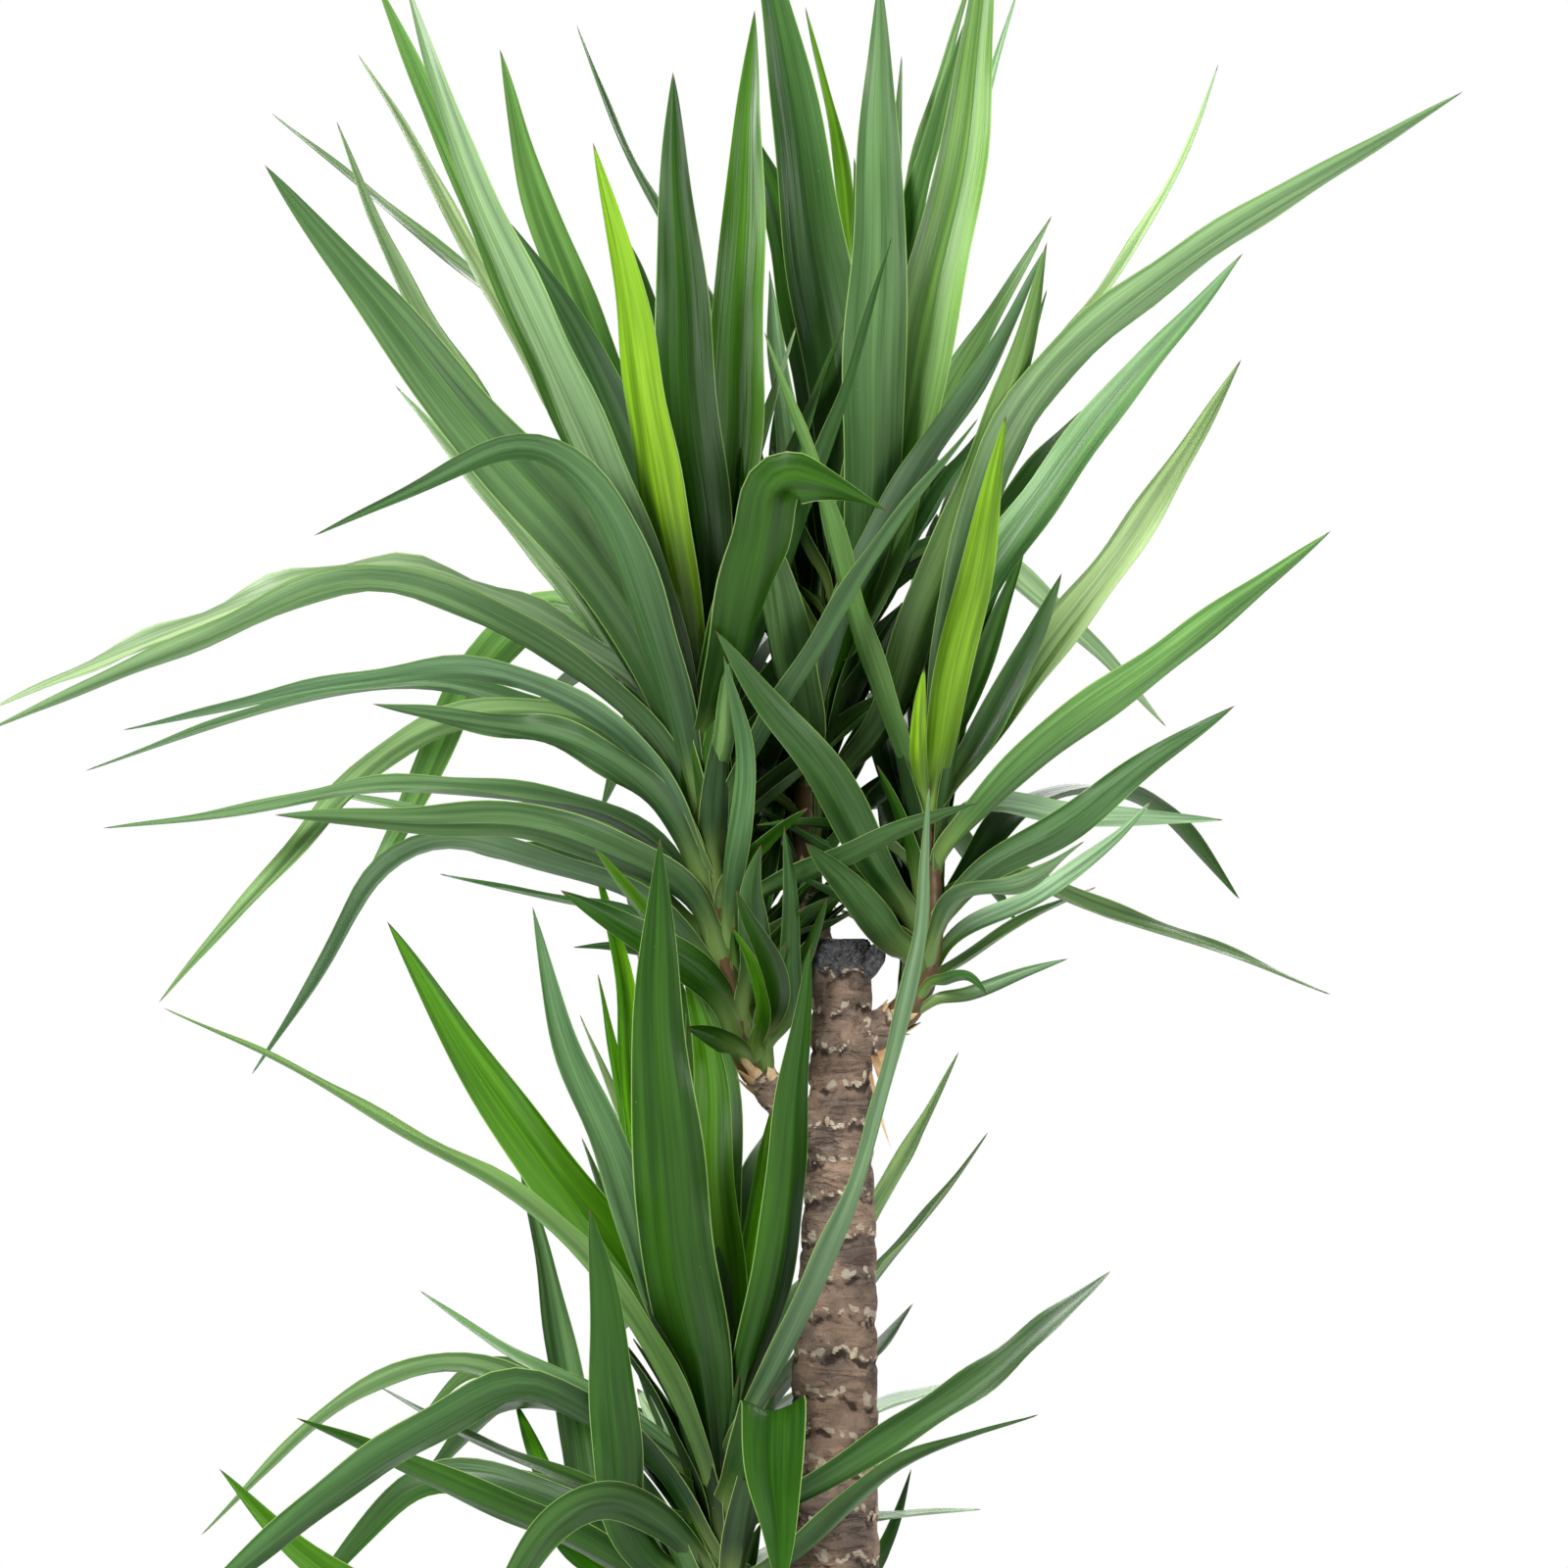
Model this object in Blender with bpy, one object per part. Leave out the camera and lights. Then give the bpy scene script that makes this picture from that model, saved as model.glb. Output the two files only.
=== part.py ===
"""A potted cane yucca: two sawn canes in a nursery pot, with four leafy shoots.

Run it with blender --background --python part.py, or from Blender's text editor. Sizes are in
millimetres until a mesh is written, in metres. The origin is the middle of the pot's underside,
Z is up, and the plant's front looks along -Y.

A leaf is given as it is seen from the front: the height of its root on its stem, the width that
it shows, how far its tip lies behind (+) or before (-) the root, and the course of its midrib.
A level leaf folds over towards the viewer, and its width stays level all along.
"""

import math
from dataclasses import dataclass

import bmesh
import bpy
from mathutils import Vector
from mathutils.bvhtree import BVHTree

MM = 0.001
GAP = 0.3

# The front view that the courses are read in: its eye stands this far off, at this height.
EYE_DISTANCE = 6000.0
EYE_HEIGHT = 1096.0

POT_HEIGHT = 220.0
POT_TOP_RADIUS = 126.0
POT_FOOT_RADIUS = 96.0
POT_WALL = 2.2
POT_FLOOR = 3.0
POT_RIM_HEIGHT = 26.0
POT_RIM_PROUD = 4.0
DRAIN_RADIUS = 6.0
DRAIN_CIRCLE = 62.0
DRAIN_COUNT = 6

SOIL_TOP = 200.0
SOIL_MOUND = 5.0
MOUND_RINGS = 5
LUMP_SIZE = 9.0
LUMP_HEIGHT = 1.4
HOLE_PLAY = 0.7

POT_SIDES = 36
DRAIN_SIDES = 12
HOLE_SIDES = 24
CANE_SIDES = 12
STEM_SIDES = 7
WAX_SIDES = 20

WAX_HEIGHT = 17.0
WAX_WALL = 1.6
WAX_PROUD = 0.4

# Heights and radii of a cane, and its axis: (x, y, z, radius) from the foot to the sawn top.
TALL_CANE = (
    (31, 15, 100, 29.5), (31, 15, 215, 29.5), (31, 15, 420, 28.5), (31, 15, 616, 27.5),
    (32, 15, 735, 26), (33.5, 15, 806, 23), (34, 15, 868, 20), (34.5, 15, 930, 18.8),
    (35, 15, 970, 18.2), (35, 15, 1001, 18.0),
)
SHORT_CANE = (
    (-58, -18, 100, 24), (-58, -18, 215, 24), (-57, -18, 350, 22.5), (-56, -18, 470, 20.5),
    (-56, -18, 525, 19.5), (-56, -18, 551, 19.2),
)
SCAR_SPACING = 24.0
SCAR_PROUD = 1.0
BARK_LOBE = 0.035
BARK_FADE = 30.0
BARK_CLEAR = 2.5
LOBE_TWIST = 90.0
SQUARE_LENGTH = 5.0

# A branch is woody where it leaves its cane, and green above: (x, y, z, radius) along its axis.
LEFT_WOOD = ((30, 12, 872, 10), (12, 4, 890, 10.5), (-4, -2, 904, 10.5), (-15, -4, 918, 10))
LEFT_GREEN = (
    (-15, -4, 918, 10), (-25, -6, 945, 10.5), (-35, -8, 985, 10.5), (-43, -10, 1025, 10),
    (-50, -12, 1065, 9.5), (-52, -12, 1110, 8.5), (-51, -12, 1150, 6),
)
RIGHT_WOOD = ((36, 15, 930, 11), (54, 10, 942, 12.5), (69, 9, 953, 11))
RIGHT_GREEN = (
    (69, 9, 953, 10), (80, 11, 966, 10), (87, 13, 990, 9.5), (89, 15, 1020, 9), (88, 16, 1055, 8.5),
    (88, 17, 1090, 8), (91, 17, 1130, 5.5),
)
BACK_WOOD = ((34, 20, 925, 9), (31, 36, 955, 9), (22, 44, 995, 8.5), (14, 46, 1040, 8.5))
BACK_GREEN = (
    (14, 46, 1040, 8.5), (14, 47, 1075, 9), (18, 48, 1115, 9), (25, 50, 1155, 8.5),
    (32, 52, 1195, 7), (36, 53, 1225, 5),
)
LOW_WOOD = ((-56, -18, 480, 9), (-44, -37, 500, 10), (-36, -46, 530, 10), (-35, -48, 562, 9.5))
LOW_GREEN = (
    (-35, -48, 562, 9.5), (-37, -46, 610, 11), (-37, -44, 660, 11), (-38, -42, 705, 9.5),
    (-40, -41, 748, 6),
)

# How a leaf grows: a full leaf's width, and where along it that width and its hollow lie.
FULL_WIDTH = 34.0
SLENDER = 0.085
WIDEST = 0.42
BASE_SHARE = 0.3
TAPER = 1.7
TAPER_ROUND = 0.85
RIB_THICKNESS = 1.7
TIP_THICKNESS = 1.2
CHANNEL = 0.07
ROOT_SUNK = 3.0

# Where a leaf would cross another, its tip's depth and its bow are tried in these steps.
DEPTH_STEPS = (0, 14, -14, 28, -28, 45, -45, 65, -65, 90, -90, 120, -120, 160, -160)
BOW_STEPS = (0, 9, -9, 18, -18, 30, -30, 45, -45, 65, -65)
CLEAR_THICKNESS = 3.4
CLEAR_WIDTH = 2.5
OWN_ROOT_SHARE = 0.1

# The hidden side of a shoot: leaves that follow each other by the golden section within a fan
# that opens to the back, from low and drooping ones to upright ones. Shares of the stem's height.
GOLDEN_SHARE = 0.618034
BACK_SPREAD = math.radians(62)
HIDDEN_LOW = 0.25
HIDDEN_HIGH = 0.98
LOW_ELEVATION = math.radians(38)
HIGH_ELEVATION = math.radians(74)
LOW_DROOP = math.radians(75)
HIGH_DROOP = math.radians(30)
HIDDEN_SEGMENTS = 5
TURN_STEPS = (0, 8, -8, 16, -16, 26, -26, 38, -38)
LIFT_STEPS = (0, 7, -7, 14, -14, 22, 30)
COVER_SAMPLES = 9
COVER_MARGIN = 5.0
CROSSING_COST = 0.1

DEEP, GREEN, FRESH, YOUNG, SHEEN, PALE = range(6)
TONES = (
    ("deep", (0.030, 0.085, 0.025)), ("green", (0.048, 0.130, 0.030)), ("fresh", (0.090, 0.240, 0.020)),
    ("young", (0.260, 0.450, 0.050)), ("sheen", (0.120, 0.190, 0.110)), ("pale", (0.200, 0.320, 0.180)),
)


@dataclass(frozen=True)
class Leaf:
    """One leaf as the front view shows it, in millimetres."""

    root: float
    shown: float | tuple[float, float]
    depth: float
    tone: int
    course: tuple[tuple[float, float], ...]
    level: bool = False


LEFT_LEAVES = (
    Leaf(1085, 42, -60, DEEP, ((-92, 1200), (-180, 1305), (-257, 1400), (-318, 1475))),
    Leaf(1075, (32, 13), -140, DEEP, ((-82, 1195), (-127, 1288), (-150, 1303), (-210, 1283), (-288, 1248))),
    Leaf(1095, 16, 60, GREEN, ((-100, 1178), (-150, 1258), (-205, 1355), (-247, 1430), (-274, 1502))),
    Leaf(1110, 28, 30, FRESH, ((-84, 1215), (-120, 1300), (-166, 1400), (-210, 1498), (-252, 1592))),
    Leaf(1100, 26, -30, PALE, ((-72, 1195), (-100, 1262), (-153, 1382), (-199, 1485), (-233, 1592))),
    Leaf(1120, 15, 130, YOUNG, ((-110, 1270), (-186, 1408), (-226, 1486), (-261, 1543))),
    Leaf(1130, 30, 70, GREEN, ((-75, 1240), (-118, 1360), (-153, 1458), (-174, 1546))),
    Leaf(1100, 38, 0, DEEP, ((-72, 1220), (-100, 1310), (-145, 1400), (-168, 1440))),
    Leaf(1130, 27, -50, YOUNG, ((-60, 1195), (-77, 1276), (-98, 1410), (-117, 1489))),
    Leaf(1135, 39, 0, DEEP, ((-47, 1210), (-56, 1300), (-66, 1450), (-68, 1532))),
    Leaf(1125, 36, 60, GREEN, ((-40, 1220), (-31, 1320), (-24, 1470), (-18, 1570))),
    Leaf(1080, 14, 100, PALE, ((-118, 1193), (-160, 1247), (-190, 1283), (-238, 1340))),
    Leaf(1050, 19, -60, GREEN, (
        (-66, 1107), (-120, 1161), (-180, 1200), (-235, 1219), (-262, 1221), (-350, 1187), (-490, 1128))),
    Leaf(1065, 20, 30, SHEEN, (
        (-82, 1150), (-157, 1198), (-215, 1221), (-262, 1225), (-350, 1198), (-488, 1141))),
    Leaf(1090, 28, 120, FRESH, ((-100, 1175), (-150, 1203), (-186, 1165), (-230, 1078), (-270, 1008))),
    Leaf(1050, 17, 40, GREEN, (
        (-110, 1128), (-165, 1140), (-215, 1130), (-262, 1095), (-320, 1033), (-383, 962))),
    Leaf(1035, (16, 10), -10, GREEN, ((-85, 1112), (-130, 1144), (-190, 1167), (-254, 1159), (-405, 1129))),
    Leaf(1040, (12, 5), 60, GREEN, ((-90, 1116), (-144, 1140), (-215, 1158), (-300, 1147), (-428, 1104))),
    Leaf(1030, 20, -90, DEEP, ((-85, 1095), (-125, 1120), (-180, 1133), (-252, 1145))),
    Leaf(1005, 9, 10, GREEN, (
        (-80, 1063), (-126, 1083), (-193, 1094), (-230, 1096), (-325, 1080), (-417, 1069))),
    Leaf(1020, 8, 110, SHEEN, ((-120, 1075), (-200, 1078), (-290, 1092))),
    Leaf(985, 24, -100, FRESH, ((-58, 1030), (-105, 1055), (-160, 1072), (-230, 1074), (-312, 1077))),
    Leaf(990, 18, 60, DEEP, ((-90, 1035), (-144, 1052), (-180, 1056), (-212, 1064))),
    Leaf(975, 13, -40, GREEN, (
        (-87, 1026), (-156, 1050), (-212, 1062), (-243, 1046), (-284, 980), (-326, 918))),
    Leaf(965, 4, 20, SHEEN, ((-80, 1010), (-140, 1026), (-211, 1041))),
    Leaf(936, 23, -70, DEEP, ((-45, 975), (-105, 1012), (-137, 1031))),
    Leaf(975, 8, 90, SHEEN, ((-100, 997), (-129, 996))),
    Leaf(926, 14, -60, DEEP, ((-35, 938), (-60, 947))),
    Leaf(1080, 13, -60, FRESH, ((-38, 1120), (-33, 1178))),
    Leaf(990, 15, -110, SHEEN, ((-32, 1040), (-25, 1115), (-37, 1175))),
    Leaf(960, 11, -90, FRESH, ((-70, 1000), (-117, 1058))),
    Leaf(1060, 12, -80, SHEEN, ((-25, 1105), (20, 1180), (60, 1243), (119, 1320))),
    Leaf(1110, (36, 10), -210, DEEP, ((-33, 1170), (-12, 1250), (-4, 1282), (20, 1281), (65, 1263))),
    Leaf(1140, 10, 30, SHEEN, ((-35, 1220), (-20, 1288), (8, 1378))),
    Leaf(1120, 9, -40, DEEP, ((-10, 1200), (20, 1285), (48, 1370), (66, 1431))),
    Leaf(1128, 10, 80, GREEN, ((-22, 1215), (2, 1288), (37, 1378))),
    Leaf(926, 13, -70, GREEN, ((3, 950), (5, 1000), (0, 1070))),
    Leaf(950, 19, -90, SHEEN, ((-18, 985), (-21, 1030), (-14, 1059))),
    Leaf(930, 16, -120, GREEN, ((-6, 955), (-29, 1031))),
    Leaf(928, 9, -150, FRESH, ((-13, 962), (-32, 1009))),
    Leaf(924, 11, -40, PALE, ((2, 962), (27, 1027))),
    Leaf(1015, 14, -110, DEEP, ((0, 1035), (32, 1050), (70, 1068), (120, 1085))),
)

BACK_LEAVES = (
    Leaf(1140, 10, 120, PALE, ((-60, 1295), (-100, 1335), (-211, 1423), (-314, 1507))),
    Leaf(1130, 8, 110, SHEEN, ((-10, 1250), (-50, 1400), (-98, 1485), (-127, 1561))),
    Leaf(1165, 42, 10, GREEN, ((42, 1250), (32, 1350), (15, 1451), (-5, 1576), (-22, 1640))),
    Leaf(1180, 14, 70, YOUNG, ((43, 1300), (35, 1465), (13, 1572))),
    Leaf(1175, 10, 100, DEEP, ((48, 1350), (43, 1480))),
    Leaf(1170, 39, -60, DEEP, ((49, 1230), (54, 1300), (58, 1450), (58.5, 1592))),
    Leaf(1185, 8, 120, SHEEN, ((64, 1400), (70, 1490), (72, 1542))),
    Leaf(1176, 18, 70, SHEEN, ((60, 1300), (72, 1400), (84, 1460), (114, 1572))),
    Leaf(1160, 38, 20, GREEN, ((60, 1230), (70, 1290), (84, 1364), (107, 1468), (128, 1640))),
    Leaf(1150, 14, 90, DEEP, ((58, 1300), (88, 1495), (118, 1600))),
    Leaf(1152, 10, 130, SHEEN, ((75, 1280), (105, 1420), (128, 1530), (144, 1585))),
    Leaf(1145, 19, 70, SHEEN, ((70, 1230), (92, 1318), (125, 1375), (164, 1444))),
    Leaf(1120, 19, -20, DEEP, ((42, 1215), (75, 1275), (118, 1340), (160, 1424))),
    Leaf(1085, 28, -110, GREEN, ((60, 1130), (88, 1205), (113, 1265), (138, 1330), (161, 1428))),
    Leaf(1132, 20, 130, PALE, ((8, 1250), (-3, 1345), (-9, 1411))),
    Leaf(1095, 19, -150, GREEN, ((7, 1165), (-5, 1215), (-15, 1264))),
    Leaf(1150, 18, 180, PALE, ((60, 1215), (110, 1240), (165, 1203), (234, 1131))),
    Leaf(1140, 8, 110, DEEP, ((100, 1280), (148, 1355), (161, 1399))),
)

RIGHT_LEAVES = (
    Leaf(1000, 26, -80, GREEN, ((55, 1050), (20, 1110), (-18, 1157), (-42, 1190))),
    Leaf(980, 22, -100, SHEEN, ((52, 1018), (13, 1060))),
    Leaf(1035, 8, -40, DEEP, ((60, 1062), (25, 1071), (-17, 1071))),
    Leaf(1110, 24, -60, SHEEN, (
        (106, 1210), (130, 1295), (188, 1372), (205, 1387), (300, 1450), (416, 1520))),
    Leaf(1105, 26, 20, GREEN, ((110, 1190), (160, 1275), (208, 1335), (281, 1421))),
    Leaf(1075, 23, 60, YOUNG, ((125, 1125), (162, 1178), (222, 1258), (280, 1356))),
    Leaf(1078, 19, 10, DEEP, ((120, 1125), (147, 1172), (170, 1225))),
    Leaf(1072, 24, -70, YOUNG, ((96, 1120), (108, 1185), (122, 1250), (136, 1322))),
    Leaf(1076, 11, -70, FRESH, ((81, 1115), (86, 1168))),
    Leaf(1090, 14, 90, GREEN, ((120, 1165), (148, 1243))),
    Leaf(1045, 24, -80, FRESH, ((130, 1092), (185, 1138), (245, 1182), (335, 1251))),
    Leaf(1005, 22, -90, GREEN, ((120, 1040), (170, 1070), (222, 1108), (276, 1144))),
    Leaf(1060, 15, 120, PALE, ((120, 1082), (190, 1075), (269, 1074))),
    Leaf(985, 12, -120, DEEP, ((108, 1027), (145, 1036), (184, 1061))),
    Leaf(978, 12, 60, PALE, ((108, 1005), (155, 1028), (203, 1061), (226, 1087))),
    Leaf(970, 6, 100, DEEP, ((115, 992), (165, 1021), (191, 1033))),
    Leaf(962, 9, -40, GREEN, ((100, 964), (148, 982), (174, 989))),
    Leaf(968, 8, -90, FRESH, ((97, 976), (112, 978), (125, 967))),
    Leaf(1020, (14, 4), 110, GREEN, ((130, 1040), (185, 1023), (270, 993), (335, 967))),
    Leaf(1110, 8, 120, PALE, ((104, 1220), (150, 1330), (211, 1421), (250, 1490), (266, 1537))),
    Leaf(1070, (16, 9), -130, FRESH, ((63, 1140), (43, 1200), (14, 1300), (-12, 1373))),
    Leaf(1095, 6, -10, SHEEN, ((46, 1170), (20, 1208), (-18, 1283), (-65, 1359))),
)

LOW_LEAVES = (
    Leaf(640, 46, -60, GREEN, ((-52, 740), (-66, 820), (-75, 910), (-77, 1000), (-76, 1063))),
    Leaf(690, 30, 40, FRESH, ((-36, 770), (-44, 860), (-47, 930), (-62, 990))),
    Leaf(700, 12, 110, YOUNG, ((-65, 790), (-92, 870), (-114, 980))),
    Leaf(705, 18, 80, YOUNG, ((-60, 785), (-86, 860), (-101, 985), (-117, 1053))),
    Leaf(690, 24, 10, SHEEN, ((-70, 765), (-104, 860), (-139, 953), (-154, 1021))),
    Leaf(700, 7, 140, SHEEN, ((-80, 840), (-125, 955))),
    Leaf(690, 10, 150, PALE, ((-90, 795), (-124, 880))),
    Leaf(675, 36, -10, FRESH, ((-65, 740), (-100, 803), (-155, 873), (-208, 955), (-243, 1012))),
    Leaf(645, (20, 5), -80, GREEN, (
        (-66, 722), (-118, 803), (-165, 845), (-222, 877), (-300, 922), (-380, 959))),
    Leaf(665, 8, 60, SHEEN, ((-100, 712), (-180, 754), (-223, 786))),
    Leaf(660, 10, 20, GREEN, ((-95, 695), (-150, 722), (-205, 742), (-258, 726), (-318, 674), (-357, 636))),
    Leaf(665, 14, 130, SHEEN, ((-100, 705), (-150, 735), (-185, 739), (-228, 700))),
    Leaf(620, (15, 32), -170, GREEN, (
        (-85, 686), (-128, 714), (-160, 731), (-203, 708), (-299, 645), (-380, 575))),
    Leaf(590, 20, -50, GREEN, ((-95, 615), (-150, 645), (-225, 677), (-299, 708))),
    Leaf(640, 5, 90, DEEP, ((-100, 658), (-172, 686), (-249, 728))),
    Leaf(600, 20, 180, YOUNG, ((-100, 612), (-130, 630), (-149, 680), (-165, 719))),
    Leaf(640, 5, 150, SHEEN, ((-110, 658), (-157, 671), (-206, 680))),
    Leaf(585, 28, -20, FRESH, ((-110, 572), (-200, 574), (-280, 612), (-346, 677))),
    Leaf(600, 22, 80, DEEP, ((-115, 645), (-180, 668), (-222, 668), (-262, 632), (-300, 585))),
    Leaf(605, 24, -150, GREEN, ((-75, 645), (-107, 658), (-137, 645), (-168, 605), (-190, 560))),
    Leaf(620, 24, 170, DEEP, ((-80, 625), (-115, 645), (-130, 710), (-142, 780), (-162, 862))),
    Leaf(610, 30, -150, GREEN, ((-72, 612), (-95, 635), (-102, 700), (-113, 800), (-119, 836))),
    Leaf(655, 22, 60, PALE, ((-62, 688), (-90, 726))),
    Leaf(685, 12, 80, FRESH, ((-31, 720), (-24, 770), (-13, 860), (-4, 912))),
    Leaf(690, 26, -80, DEEP, ((-22, 740), (-9, 780), (0, 850), (16, 996))),
    Leaf(688, 20, -120, GREEN, ((-6, 735), (33, 835), (58, 903), (83, 1005), (89, 1097))),
    Leaf(650, 40, -220, DEEP, ((-12, 700), (-8, 719), (-6, 680), (-2, 600)), level=True),
    Leaf(680, 14, 280, GREEN, ((0, 765), (55, 833), (107, 932))),
    Leaf(684, 5, 310, SHEEN, ((20, 752), (56, 796), (93, 839), (125, 883))),
    Leaf(672, 13, 300, DEEP, ((10, 714), (58, 750), (79, 778))),
    Leaf(640, 19, 300, FRESH, ((20, 665), (80, 702), (150, 755), (200, 798))),
    Leaf(660, 8, 330, PALE, ((10, 690), (58, 715), (125, 733))),
    Leaf(600, (20, 6), -140, DEEP, ((10, 628), (65, 676), (105, 694), (156, 710))),
    Leaf(640, 6, 330, SHEEN, ((10, 662), (45, 675), (89, 691))),
    Leaf(590, 16, 290, DEEP, ((20, 600), (60, 622), (78, 677))),
    Leaf(612, 4, 330, SHEEN, ((10, 632), (60, 648), (121, 652))),
)


@dataclass(frozen=True)
class Crown:
    """A leafy shoot: its woody base, its green stem, its leaves and how many fill its back."""

    name: str
    wood: tuple[tuple[float, float, float, float], ...]
    stem: tuple[tuple[float, float, float, float], ...]
    leaves: tuple[Leaf, ...]
    hidden: int
    hidden_length: float


CROWNS = (
    Crown("left_crown", LEFT_WOOD, LEFT_GREEN, LEFT_LEAVES, 10, 400.0),
    Crown("back_crown", BACK_WOOD, BACK_GREEN, BACK_LEAVES, 10, 400.0),
    Crown("right_crown", RIGHT_WOOD, RIGHT_GREEN, RIGHT_LEAVES, 10, 360.0),
    Crown("low_crown", LOW_WOOD, LOW_GREEN, LOW_LEAVES, 9, 380.0),
)


class Curve:
    """A smooth curve through knots, by its share of the chord length."""

    def __init__(self, knots):
        self.knots = [Vector(knot) for knot in knots]
        steps = [(b - a).length for a, b in zip(self.knots, self.knots[1:])]
        self.at = [sum(steps[:i]) for i in range(len(self.knots))]
        self.length = self.at[-1]
        self.slopes = [self.slope(i) for i in range(len(self.knots))]

    def slope(self, i):
        """The tangent at knot i, weighted by the chords on each side."""
        last = len(self.knots) - 1
        before, after = max(i - 1, 0), min(i + 1, last)
        chord = (self.knots[after] - self.knots[before]) / (self.at[after] - self.at[before])
        if i in (0, last):
            return chord
        near = (self.knots[i] - self.knots[before]) / (self.at[i] - self.at[before])
        far = (self.knots[after] - self.knots[i]) / (self.at[after] - self.at[i])
        share = (self.at[i] - self.at[before]) / (self.at[after] - self.at[before])
        return near * (1 - share) + far * share

    def point(self, share):
        """The point at a share of the length, by cubic interpolation between two knots."""
        place = min(max(share, 0.0), 1.0) * self.length
        i = max(k for k in range(len(self.at) - 1) if self.at[k] <= place or k == 0)
        span = self.at[i + 1] - self.at[i]
        t = (place - self.at[i]) / span
        start, end = self.knots[i], self.knots[i + 1]
        leave, meet = self.slopes[i] * span, self.slopes[i + 1] * span
        bend = start * (2 * t**3 - 3 * t**2 + 1) + end * (3 * t**2 - 2 * t**3)
        return bend + leave * (t**3 - 2 * t**2 + t) + meet * (t**3 - t**2)

    def tangent(self, share):
        """The unit direction of the curve at a share of its length."""
        return (self.point(share + 0.01) - self.point(share - 0.01)).normalized()


def on_stem(stem, height):
    """The point of a stem's axis at a height."""
    for low, high in zip(stem, stem[1:]):
        if height <= high[2] or high is stem[-1]:
            share = (height - low[2]) / (high[2] - low[2])
            return Vector(low[:3]).lerp(Vector(high[:3]), min(max(share, 0.0), 1.0))
    raise ValueError("a stem has two points or more")


def seen_at(x, depth, z):
    """The point at a depth that the front view shows at (x, z)."""
    scale = (EYE_DISTANCE + depth) / EYE_DISTANCE
    return Vector((x * scale, depth, EYE_HEIGHT + (z - EYE_HEIGHT) * scale))


def breadth(share):
    """A leaf's width at a share of its length, over its full width."""
    if share < WIDEST:
        return BASE_SHARE + (1 - BASE_SHARE) * math.sin(0.5 * math.pi * share / WIDEST)
    return max(0.0, 1 - ((share - WIDEST) / (1 - WIDEST)) ** TAPER) ** TAPER_ROUND


class Blade:
    """A leaf in space: the curve of its midrib, its width and the way it faces."""

    def __init__(self, knots, full_width, facing, segments, tone):
        self.curve = Curve(knots)
        self.full_width = full_width
        self.facing = facing
        self.segments = segments
        self.tone = tone

    def section(self, share, extra_width, extra_thickness):
        """The four corners of the blade at a share of its length: edge, top, edge, underside."""
        rib = self.curve.point(share)
        upward, across = self.facing(self.curve.tangent(share), share)
        half = 0.5 * self.full_width * breadth(share) + extra_width
        thick = RIB_THICKNESS + (TIP_THICKNESS - RIB_THICKNESS) * share + extra_thickness
        sag = upward * (CHANNEL * half)
        return [rib + sag + across * half, rib - sag + upward * thick / 2,
                rib + sag - across * half, rib - sag - upward * thick / 2]

    def surface(self, first=0.0, extra_width=0.0, extra_thickness=0.0):
        """The closed blade as points and triangles, with both of its sides split alike."""
        shares = [first + (1 - first) * i / self.segments for i in range(self.segments)]
        points = [corner for share in shares for corner in self.section(share, extra_width, extra_thickness)]
        points.append(self.curve.point(1.0))
        triangles = [(0, 1, 3), (1, 2, 3)]
        strips = ((0, 1), (2, 1), (2, 3), (0, 3))
        for ring in range(0, 4 * (self.segments - 1), 4):
            for edge, middle in strips:
                edge_on, middle_on = ring + edge + 4, ring + middle + 4
                triangles += [(ring + edge, edge_on, middle_on), (ring + edge, middle_on, ring + middle)]
        ring = 4 * (self.segments - 1)
        triangles += [(ring + edge, ring + middle, len(points) - 1) for edge, middle in strips]
        return points, triangles


def level_facing(outward):
    """How a blade faces whose width stays level: its upper side looks up, or back to its stem."""
    across = Vector((0, 0, 1)).cross(outward).normalized()
    return lambda tangent, share: (tangent.cross(across).normalized(), across)


def seen_blade(leaf, stem, depth_step=0.0, bow=0.0):
    """The blade of a leaf that is given by its front view, with its depth changed by a step."""
    root = on_stem(stem, leaf.root)
    path = [(root.x, root.z), *leaf.course]
    steps = [math.dist(a, b) for a, b in zip(path, path[1:])]
    knots = []
    for i, (x, z) in enumerate(path):
        share = sum(steps[:i]) / sum(steps)
        depth = root.y + (leaf.depth + depth_step) * share + bow * math.sin(math.pi * share)
        knots.append(seen_at(x, depth, z))
    knots[0] = root + (knots[1] - root).normalized() * ROOT_SUNK
    near, far = leaf.shown if isinstance(leaf.shown, tuple) else (leaf.shown, leaf.shown)
    length = sum((b - a).length for a, b in zip(knots, knots[1:]))
    full_width = max(near, far, min(FULL_WIDTH, SLENDER * length))
    side = 1 if leaf.course[-1][0] > root.x else -1
    behind = 1 if leaf.depth > 0 else -1

    def facing(tangent, share):
        """The upper side's direction and the direction across, turned to show the given width."""
        flat = Vector((tangent.x, 0, tangent.z)).normalized()
        inward = Vector((-flat.z, 0, flat.x)) * side
        toward = tangent.cross(inward).normalized() * side * behind
        open_share = (near + (far - near) * share) / full_width
        upward = inward * math.sqrt(1 - open_share**2) + toward * open_share
        return upward, upward.cross(tangent)

    if leaf.level:
        facing = level_facing(knots[-1] - knots[0])
    return Blade(knots, full_width, facing, len(leaf.course) + 1, leaf.tone)


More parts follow.
